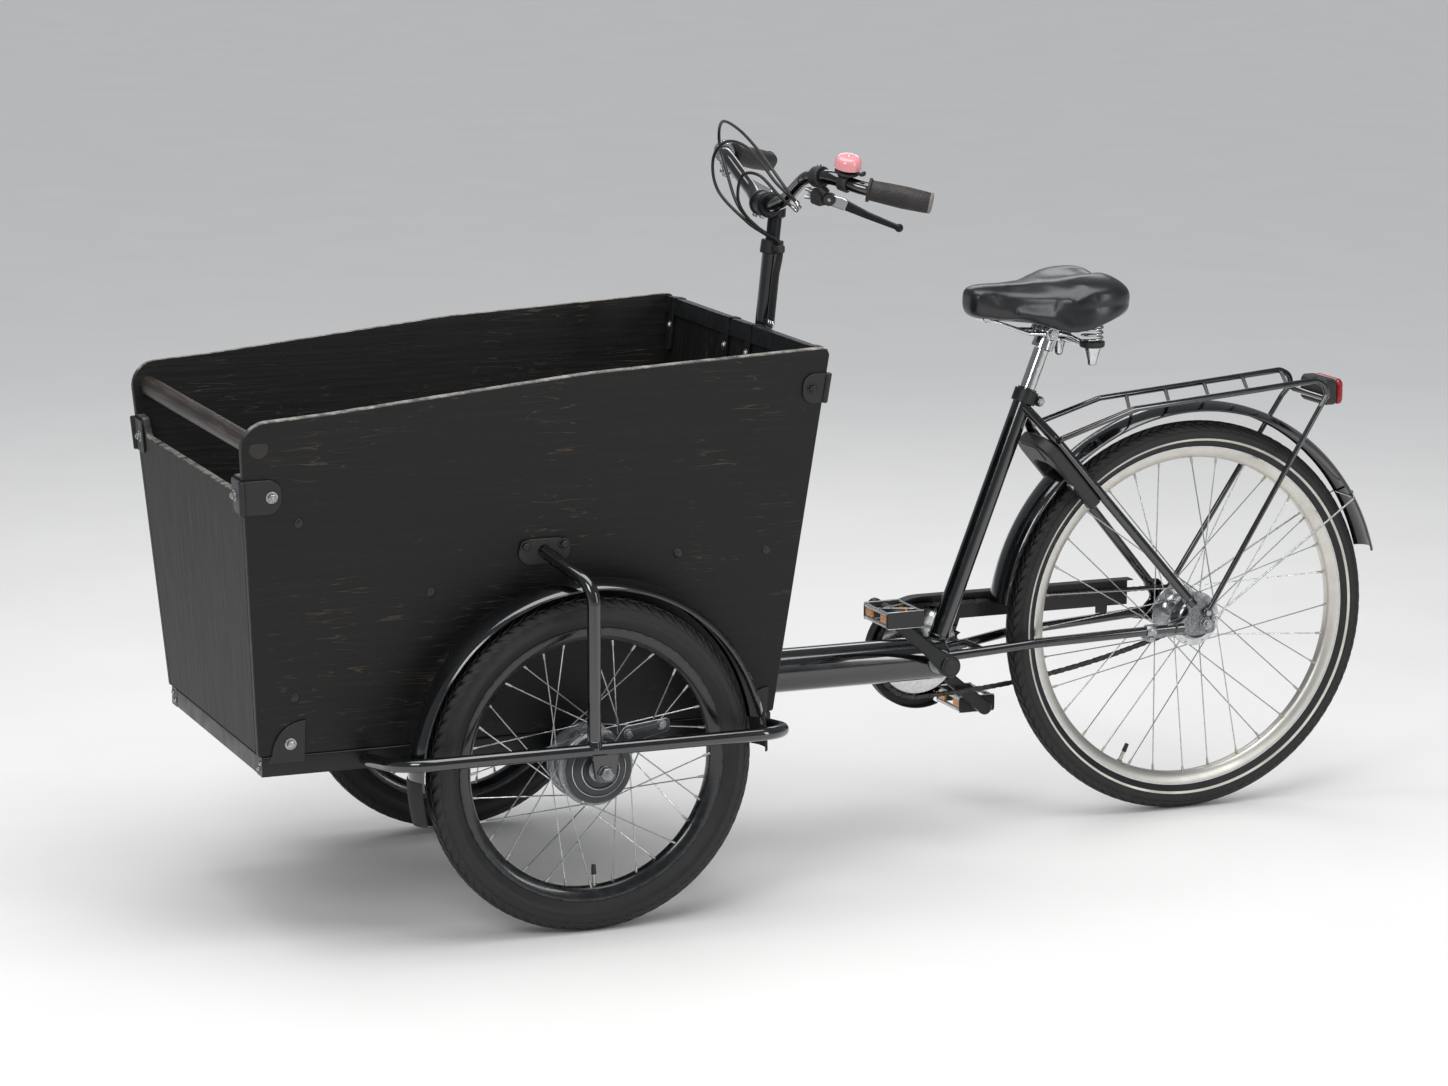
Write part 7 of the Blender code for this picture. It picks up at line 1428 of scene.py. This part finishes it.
# Rear wheel: the same lacing round a larger rim. Here the rim is plain silver with a cream-white tyre
# line that reflects at night, and the hub is a big polished gear hub.
rim_silver = metal("satin_rim_alloy", "d8d5cd", "cecbc4", 1.0, 0.36, 0.08, 0.030, 0.15)
reflex, tree, shader, spot = new_material("reflective_tyre_line", 0.0, 0.45, IOR=1.5)
# Glass beads glitter about 0.5 mm apart under a film of road dust.
beads = add(tree, "TexVoronoi", {"Scale": 1600.0}, {"Vector": spot})
dust = add(tree, "TexNoise", {"Scale": 22.0, "Detail": 5.0}, {"Vector": spot})
tone = add(tree, "ValToRGB", {"stops": [(0.3, "a9a79f"), (0.7, "d3d1c8")]}, {"Fac": dust})
bump = add(tree, "Bump", {"Strength": 0.3, "Distance": 0.0002}, {"Height": beads})
plug(shader, {"Base Color": tone, "Normal": bump})

HUB = Vector((0, 0, REAR_RADIUS))
bm = bmesh.new()
laced_wheel(bm, HUB, RIM_REAR, 0.045, 0.031, hub_half(0.0062, 0.032, 0.045, 0.031, 0.041), -64)
# A black dust shield covers the hub's left end.
shield = mm(16, 40.8, 29.6, 40.8, 30.5, 41.6, 29.6, 42.8, 20, 43.4, 16, 43.4)
lathe(bm, shield, HUB, 64, 5, True)
piece("rear_wheel", bm, [rim_silver, polished, polished, stainless, brass, black_cap], "rear_roller", 40)
bm = bmesh.new()
tyre(bm, HUB, REAR_RADIUS, 0.0235, RIM_REAR, 98, 1)
piece("rear_tyre", bm, [tyre_rubber, reflex], "rear_roller", 40)

# Rear mudguard: the same rolled strip as the front ones, carried by two wire stays to the dropouts and
# a bolt at the stay bridge.
bm = bmesh.new()
blade(bm, HUB, 0.3592, 0.0105, 0.0296, 8, 165, 80)
reach = 0.360 - 0.011 - 0.0016
angle = math.radians(148)
foot_y = DROPOUT_Y + 0.003 + FIT + 0.0021
edge_y = 0.036
spot = about(HUB, reach, angle)
foot = (-0.0135, REAR_RADIUS + 0.0085)
path = [(foot[0], foot_y, foot[1]), (spot.x, edge_y, spot.z), (spot.x, -edge_y, spot.z),
        (foot[0], -foot_y, foot[1])]
sweep(bm, bent(path, 0.006, 6), 0.0018, 12, 1)
for side in (1, -1):
    eye = Vector((foot[0], side * foot_y, foot[1]))
    lathe(bm, mm(2.2, -1.8, 4.6, -1.8, 4.6, 1.8, 2.2, 1.8), eye, 24, 1, True)
    bolt(bm, eye + Vector((0, side * 0.0018, 0)), (0, side, 0), 0.0036, 2, "dome", 0.0022, False)
    out = about((0, 0, 0), 1, angle)
    bolt(bm, HUB + out * 0.3570 + Vector((0, side * 0.012, 0)), out, 0.0034, 2, "dome", 0.0018, False)
piece("rear_mudguard", bm, [gloss_black, stainless, zinc], "rear", 40)

# Luggage carrier: 10 mm steel tube in a long loop, five slanting bars welded across it, and a stay on
# each side down to the dropout, all gloss black.
CARRIER_Z, CARRIER_HALF, TAIL_X = 0.716, 0.060, -0.217
share = (UPPER_BEND.z - 0.003 - UPPER_LOW.z) / (UPPER_BEND.z - UPPER_LOW.z)
root = UPPER_LOW.lerp(UPPER_BEND, share)
left = [(root.x, root.y + 0.0088, root.z), (root.x, CARRIER_HALF + 0.003, root.z + 0.006),
        (0.136, CARRIER_HALF, CARRIER_Z - 0.028), (-0.200, CARRIER_HALF, CARRIER_Z),
        (TAIL_X, CARRIER_HALF, CARRIER_Z - 0.008), (TAIL_X - 0.006, CARRIER_HALF, CARRIER_Z - 0.032)]
right = [(x, -y, z) for x, y, z in reversed(left)]
bm = bmesh.new()
sweep(bm, bent([*left, *right], 0.018, 8), 0.0050, 18)
for side in (1, -1):
    foot_y = DROPOUT_Y + 0.003 + FIT + 0.0048
    stay = [(TAIL_X - 0.004, side * CARRIER_HALF, CARRIER_Z - 0.026),
            (TAIL_X + 0.010, side * (CARRIER_HALF + 0.004), CARRIER_Z - 0.044),
            (0.0, side * foot_y, REAR_RADIUS + 0.019)]
    sweep(bm, bent(stay, 0.015, 8), 0.0045, 18)
    eye = Vector((0.0, side * foot_y, REAR_RADIUS + 0.019))
    bar(bm, eye - Vector((0, side * 0.0040, 0)), eye + Vector((0, side * 0.0030, 0)), 0.0078, sides=24)
    bolt(bm, eye + Vector((0, side * 0.0030, 0)), (0, side, 0), 0.0052, 1, "hex", 0.0040, False)
for number in range(5):
    x = 0.115 - number * 0.072
    height = CARRIER_Z - (x + 0.200) * 0.028 / 0.336
    bar(bm, (x + 0.028, CARRIER_HALF, height - 0.002), (x - 0.028, -CARRIER_HALF, height), 0.0035, sides=16)
piece("rear_carrier", bm, [gloss_black, zinc], "rear", 40)

# Rear light: a black moulded housing under the carrier's tail with a ribbed red lens.
red_lens, tree, shader, spot = new_material("red_light_lens", 0.0, 0.12, IOR=1.49, Transmission_Weight=0.35,
                                            Coat_Weight=0.3)
# Moulded prisms some 3 mm apart scatter the light behind the clear face.
prisms = add(tree, "TexVoronoi", {"feature": "DISTANCE_TO_EDGE", "Scale": 300.0}, {"Vector": spot})
tone = add(tree, "ValToRGB", {"stops": [(0.02, "7a0f17"), (0.3, "d8242f")]}, {"Fac": prisms})
haze = add(tree, "MapRange", {"From Max": 0.4, "To Min": 0.28, "To Max": 0.1}, {"Value": prisms})
bump = add(tree, "Bump", {"Strength": 0.2, "Distance": 0.0004}, {"Height": prisms})
plug(shader, {"Base Color": tone, "Roughness": haze, "Normal": bump})
rear_face = axes((0, -1, 0), (0, 0, 1), (0, 0, 0))
LIGHT_X = TAIL_X - 0.0113
bm = bmesh.new()
shell = square(-0.043, 0.043, 0.669, 0.712, 0.010, 8)
plate(bm, shell, -LIGHT_X, -LIGHT_X + 0.024, rear_face, 0, None, 0.004)
bar(bm, (LIGHT_X - 0.004, 0.0, 0.7125), (LIGHT_X - 0.004, 0.0, 0.7090), 0.006, sides=24)
piece("tail_light", bm, [black_cap], "rear", 40)
bm = bmesh.new()
lens = square(-0.0425, 0.0425, 0.6695, 0.7115, 0.010, 8)
plate(bm, lens, -LIGHT_X + 0.0243, -LIGHT_X + 0.034, rear_face, 0, None, 0.0025)
for y in (-0.024, -0.012, 0.0, 0.012, 0.024):
    rib = square(y - 0.0016, y + 0.0016, 0.678, 0.703, 0.0012)
    plate(bm, rib, -LIGHT_X + 0.0330, -LIGHT_X + 0.0346, rear_face, 0)
piece("tail_light_lens", bm, [red_lens], "rear", 40)

# Ring lock: a black horseshoe clamped before the seat stays, its shackle drawn back inside it, with a
# steel key barrel on its left side.
along = (UPPER_BEND - UPPER_LOW) * Vector((1, 0, 1))
along.normalize()
front_way = Vector((along.z, 0, -along.x))
start = Vector((UPPER_LOW.x, 0, UPPER_LOW.z)) + front_way * (0.008 + 0.011 + FIT)
lock = Matrix((Vector((0, 1, 0)), along, Vector((0, 1, 0)).cross(along))).transposed().to_4x4()
lock = Matrix.Translation(start) @ lock
outline = eased(mm(-58, 246, -58, 390, 58, 390, 58, 246, 39, 246, 39, 344, -39, 344, -39, 246),
                [0.004, 0.035, 0.035, 0.004, 0.004, 0.022, 0.022, 0.004], 8)
bm = bmesh.new()
plate(bm, outline, -0.011, 0.011, lock, 0, None, 0.003)
cover = eased(mm(30, 352, 30, 384, -30, 384, -30, 352), 0.006, 6)
plate(bm, cover, 0.0095, 0.0125, lock, 0, None, 0.0010)
for low, high, radius, sides, slot in ((0.009, 0.0135, 0.0075, 32, 1), (0.0130, 0.0142, 0.0035, 20, 0)):
    bar(bm, lock @ Vector((0.0485, 0.300, low)), lock @ Vector((0.0485, 0.300, high)), radius, sides=sides,
        slot=slot)
for y in (-0.04851, 0.04851):
    bar(bm, lock @ Vector((y, 0.250, 0)), lock @ Vector((y, 0.2440, 0)), 0.0045, sides=20, slot=1)
piece("ring_lock", bm, [black_cap, zinc], "rear", 40)

# Drive: a 38-tooth chainring, 102-link chain and 19-tooth sprocket on the right, under a half case of
# black nylon. Both teeth and links follow the real half-inch pitch.
PITCH, CHAIN_Y = 0.0127, -0.050
LINK_HALF, LINK_WAIST = 0.0040, 0.0029
RING_TEETH, SPROCKET_TEETH = 38, 19
RING_RADIUS = PITCH / 2 / math.sin(math.pi / RING_TEETH)
SPROCKET_RADIUS = PITCH / 2 / math.sin(math.pi / SPROCKET_TEETH)
ARM_Y, ARM_HALF, CRANK_LENGTH = 0.069, 0.0065, 0.170
chain_steel = metal("oiled_chain_steel", "55534f", "33312e", 0.9, 0.34, 0.25, 0.003, 0.3)
crank_black = metal("black_crank_enamel", "111214", "1c1d1f", 0.2, 0.24, 0.15, 0.012, 0.2)


def toothed(bm, teeth, radius, centre, phase, slot=0):
    """A toothed plate on the chain line, with rounded roots and a gap at the phase angle."""
    outline = []
    for tooth in range(teeth):
        for share, height in ((-0.30, -0.0028), (-0.20, -0.0041), (0.0, -0.0044), (0.20, -0.0041),
                              (0.30, -0.0028), (0.42, 0.0016), (0.47, 0.0032), (0.53, 0.0032),
                              (0.58, 0.0016)):
            angle = phase + 2 * math.pi * (tooth + share) / teeth
            outline.append((centre.x + (radius + height) * math.cos(angle),
                            centre.z + (radius + height) * math.sin(angle)))
    plate(bm, outline, -CHAIN_Y - 0.0012, -CHAIN_Y + 0.0012, UPRIGHT, slot)


def chain_route():
    """Each pin's place round the drive, and the angle of one pin on each wheel."""
    across = CRANK - HUB
    tilt = math.atan2(across.z, across.x)
    normal = math.acos((SPROCKET_RADIUS - RING_RADIUS) / across.length)
    straight = math.sqrt(across.length**2 - (RING_RADIUS - SPROCKET_RADIUS) ** 2)
    front = normal / math.pi * RING_TEETH
    rear = (1 - normal / math.pi) * SPROCKET_TEETH
    run = straight / PITCH
    links = 2 * math.ceil((front + rear + 2 * run) / 2)
    slack = links - front - rear - run
    sag = math.sqrt(3 / 8 * straight * (slack - run) * PITCH)
    upper, lower = tilt + normal, tilt - normal

    pins = []
    for place in range(links):
        if place < front:
            pins.append(about(CRANK, RING_RADIUS, upper - place / front * 2 * normal))
        elif place < front + slack:
            share = (place - front) / slack
            low = about(CRANK, RING_RADIUS, lower).lerp(about(HUB, SPROCKET_RADIUS, lower), share)
            pins.append(low - Vector((0, 0, 4 * sag * share * (1 - share))))
        elif place < front + slack + rear:
            phase = lower - (place - front - slack) / rear * (2 * math.pi - 2 * normal)
            pins.append(about(HUB, SPROCKET_RADIUS, phase))
        else:
            share = (place - front - slack - rear) / run
            pins.append(about(HUB, SPROCKET_RADIUS, upper).lerp(about(CRANK, RING_RADIUS, upper), share))
    return pins, upper, phase


pins, front_phase, rear_phase = chain_route()
bm = bmesh.new()
for index, here in enumerate(pins):
    link = pins[(index + 1) % len(pins)] - here
    along = link.normalized()
    place = axes(along, Vector((0, 1, 0)).cross(along), here + Vector((0, CHAIN_Y, 0)))
    outline = [*arc(LINK_HALF, 120, 240, 6), (link.length / 2, -LINK_WAIST),
               *arc(LINK_HALF, -60, 60, 6, (link.length, 0)), (link.length / 2, LINK_WAIST)]
    low = 0.0031 if index % 2 else 0.0021
    for side in (1, -1):
        plate(bm, outline, *sorted((side * low, side * (low + 0.0009))), place, 0, None, 0)
    for half, radius, sides in ((0.0043, 0.0017, 10), (0.0020, 0.0030, 12)):
        pin(bm, here.x, here.z, CHAIN_Y - half, CHAIN_Y + half, radius, sides=sides, chamfer=0)
piece("chain", bm, [chain_steel], "rear", 40)

bm = bmesh.new()
toothed(bm, RING_TEETH, RING_RADIUS, CRANK, front_phase, 1)
disc = mm(26, -49.8, 69, -49.8, 70, -49.2, 70, -47.4, 69, -46.8, 64, -46.8, 62, -46.2, 40, -46.2, 38, -46.8,
          26, -46.8)
lathe(bm, disc, CRANK, 96, 0, True)
lathe(bm, mm(8.9, -62, 22.5, -62, 24, -61, 24, -50, 27, -49, 27, -46.5, 8.9, -46.5), CRANK, 48, 2, True)
for step in range(5):
    angle = 2 * math.pi * step / 5 + 0.3
    bolt(bm, about(CRANK, 0.052, angle, -0.0462), (0, 1, 0), 0.0046, 3, "socket", 0.0020, False)
piece("chainring", bm, [polished, chain_steel, crank_black, zinc], "crankset", 40)

bm = bmesh.new()
toothed(bm, SPROCKET_TEETH, SPROCKET_RADIUS, HUB, rear_phase)
lathe(bm, mm(5.8, -58.9, 17, -58.9, 19, -57.5, 19, -42.5, 18, -41.4, 5.8, -41.4), HUB, 40, 0, True)
piece("rear_sprocket", bm, [chain_steel], "driver", 40)

# Chain case: a black moulded nylon plate outside the upper run, with a rim turned in over the chain.
bm = bmesh.new()
radius = RING_RADIUS + 0.016
top = CRANK_Z + radius
low = REAR_RADIUS + 0.008 + 0.005
band = arc(radius, -110, 90, 40, (CRANK_X, CRANK_Z))
outline = [*band, (0.079, top), (0.079, low), (CRANK_X - 0.078, low)]
hole = arc(0.034, 0, 352.5, 47, (CRANK_X, CRANK_Z))
CASE_Y = -0.0578
skin = 0.0016
rows = []
for y in (CASE_Y - skin / 2, CASE_Y + skin / 2):
    edges = []
    for loop in (outline, hole):
        ring = [bm.verts.new((x, y, z)) for x, z in loop]
        edges += [bm.edges.new((ring[step - 1], ring[step])) for step in range(len(ring))]
        rows.append(ring)
    bmesh.ops.triangle_fill(bm, use_beauty=True, edges=edges, normal=(0, 1, 0))
for first, second in ((rows[0], rows[2]), (rows[1], rows[3])):
    for step in range(len(first)):
        bm.faces.new((first[step - 1], first[step], second[step], second[step - 1]))
inside = arc(radius - skin, 90, -110, 40, (CRANK_X, CRANK_Z))
band += [(0.078, top), (0.078, top - skin), *inside]
plate(bm, band, -CASE_Y - 0.020, -CASE_Y, UPRIGHT, 0, None, 0.0005)
lip = mm(36, -59.8, 37.5, -59, 37.5, -57, 34.5, -57, 34, -59)
lathe(bm, lip, CRANK, 56, 0, True)
rib = [(0.110, top - 0.018), (CRANK_X - 0.085, top - 0.018), (CRANK_X - 0.085, top - 0.013),
       (0.110, top - 0.013)]
plate(bm, eased(rib, 0.002, 4), -CASE_Y + 0.0006, -CASE_Y + 0.0018, UPRIGHT, 0)
share = (0.115 - STAY_BEND.x) / (STAY_END.x - STAY_BEND.x)
stay = STAY_BEND.lerp(STAY_END, share)
slab(bm, UPRIGHT, (0.115, stay.z + 0.0086, -CASE_Y - 0.0004), (0.135, low + 0.010, stay.y + 0.001))
bolt(bm, (0.125, CASE_Y - skin / 2, low + 0.005), (0, -1, 0), 0.0040, 1, "dome", 0.0022, False)
piece("chain_case", bm, [black_cap, zinc], "rear", 40)

# Cranks: forged steel arms in black enamel, tapered and swollen at both ends, with a ribbed cap over
# the axle bolt. Each pedal's steel axle screws into its arm.
bm = bmesh.new()
end = ARM_Y + ARM_HALF - 0.003
pin(bm, CRANK_X, CRANK_Z, -end, end, 0.0085, sides=28)
piece("crank_axle", bm, [zinc], "crankset")
PEDAL_Y, PEDAL_HALF = 0.141, 0.046
orange, tree, shader, spot = new_material("orange_reflector", 0.0, 0.15, IOR=1.49, Coat_Weight=0.3)
cells = add(tree, "TexVoronoi", {"feature": "DISTANCE_TO_EDGE", "Scale": 420.0}, {"Vector": spot})
tone = add(tree, "ValToRGB", {"stops": [(0.02, "b4660c"), (0.25, "f6a325")]}, {"Fac": cells})
bump = add(tree, "Bump", {"Strength": 0.25, "Distance": 0.0003}, {"Height": cells})
plug(shader, {"Base Color": tone, "Normal": bump})
for side, word in ((1, "left"), (-1, "right")):
    turn = Matrix.Rotation(math.radians(40 if side > 0 else 220), 4, "Z")
    arm = Matrix.Translation((CRANK_X, side * ARM_Y, CRANK_Z)) @ UPRIGHT @ turn
    waist = mm(22, 13.6, 36, 11.2, 62, 10, 100, 9.6, 136, 10, 156, 11.2)
    outline = [*arc(0.0165, 80, 280, 20), *((along, -half) for along, half in waist),
               *arc(0.0120, -80, 80, 16, (CRANK_LENGTH, 0)), *reversed(waist)]
    bm = bmesh.new()
    plate(bm, outline, -ARM_HALF, ARM_HALF, arm, 0, None, 0.0022)
    inner, outer = ARM_Y - ARM_HALF - 0.001, ARM_Y + ARM_HALF + 0.003
    boss = [(0.0088, inner), (0.0165, inner), (0.0175, inner + 0.001), (0.0175, outer - 0.002),
            (0.0160, outer), (0.0, outer)]
    lathe(bm, [(r, side * y) for r, y in boss], CRANK, 48, 0)
    cap = mm(12.8, -1, 12.8, 0.6, 11.8, 1.4, 0, 1.6, at=(0, outer))
    lathe(bm, [(r, side * y) for r, y in cap], CRANK, 36, 1)
    for step in range(18):
        angle = 2 * math.pi * step / 18
        spot = about(CRANK, 0.0122, angle, side * (outer - 0.0006))
        bar(bm, spot, spot + Vector((0, side * 0.0018, 0)), 0.0010, sides=8, slot=1, chamfer=0.0003)
    hold = arm @ Vector((CRANK_LENGTH, 0, 0))
    start = Vector((hold.x, side * (ARM_Y - 0.004), hold.z))
    finish = Vector((hold.x, side * (PEDAL_Y + PEDAL_HALF - 0.006), hold.z))
    bar(bm, start, finish, 0.0055, sides=24, slot=2)
    flat = Vector((hold.x, side * (ARM_Y + ARM_HALF), hold.z))
    bar(bm, flat, flat + Vector((0, side * 0.0035, 0)), 0.0092, sides=24, slot=2)
    piece(f"crank_{word}", bm, [crank_black, black_cap, zinc], "crankset", 40)

    # Each pedal: a black nylon barrel and end plates, a silver cage of tread bars and four reflectors.
    bm = bmesh.new()
    x, y, z = hold.x, side * PEDAL_Y, hold.z
    barrel = mm(5.9, -44, 10, -44, 11.5, -42, 10.8, -20, 10.4, 0, 10.8, 20, 11.5, 42, 10, 44, 5.9, 44)
    lathe(bm, barrel, (x, y, z), 36, 0, True)
    for low in (-0.046, 0.041):
        side_plate = square(x - 0.032, x + 0.032, z - 0.013, z + 0.013, 0.004, 5)
        plate(bm, side_plate, -y - low - 0.005, -y - low, UPRIGHT, 0, None, 0.0012)
        # A bright plate caps the frame at each end, above and below.
        cover = square(x - 0.0315, x + 0.0315, y + low, y + low + 0.005, 0.0015, 3)
        for level in (z + 0.0127, z - 0.0137):
            plate(bm, cover, level, level + 0.0010, Matrix.Identity(4), 1, None, 0.0003)
    for slant in (-1, 1):
        strip = eased([(x - 0.027, y + slant * 0.019 - 0.0025), (x + 0.027, y - slant * 0.003 - 0.0025),
                       (x + 0.027, y - slant * 0.003 + 0.0025), (x - 0.027, y + slant * 0.019 + 0.0025)],
                      0.0010, 3)
        for level in (z + 0.0110, z - 0.0122):
            plate(bm, strip, level, level + 0.0012, Matrix.Identity(4), 1, None, 0.0003)
    for edge in (-1, 1):
        middle = x + edge * 0.029
        for level in (-1, 1):
            height = z + level * 0.0095
            rail = square(middle - 0.0028, middle + 0.0028, height - 0.0028, height + 0.0028, 0.001, 3)
            plate(bm, rail, -y - 0.0445, -y + 0.0445, UPRIGHT, 1)
            for tooth in range(9):
                spot = Vector((middle, y - 0.036 + tooth * 0.009, height + level * 0.0026))
                bar(bm, spot, spot + Vector((0, 0, level * 0.0012)), 0.0014, 0.0009, 8, 1, 0)
        for low, high in ((-0.042, -0.016), (0.016, 0.042)):
            panel = square(y + low, y + high, z - 0.0068, z + 0.0068, 0.002)
            plate(bm, panel, middle - 0.0018, middle + 0.0018, ACROSS, 2, None, 0.0006)
    piece(f"pedal_{word}", bm, [black_cap, silver, orange], f"{word}_pedal", 40)
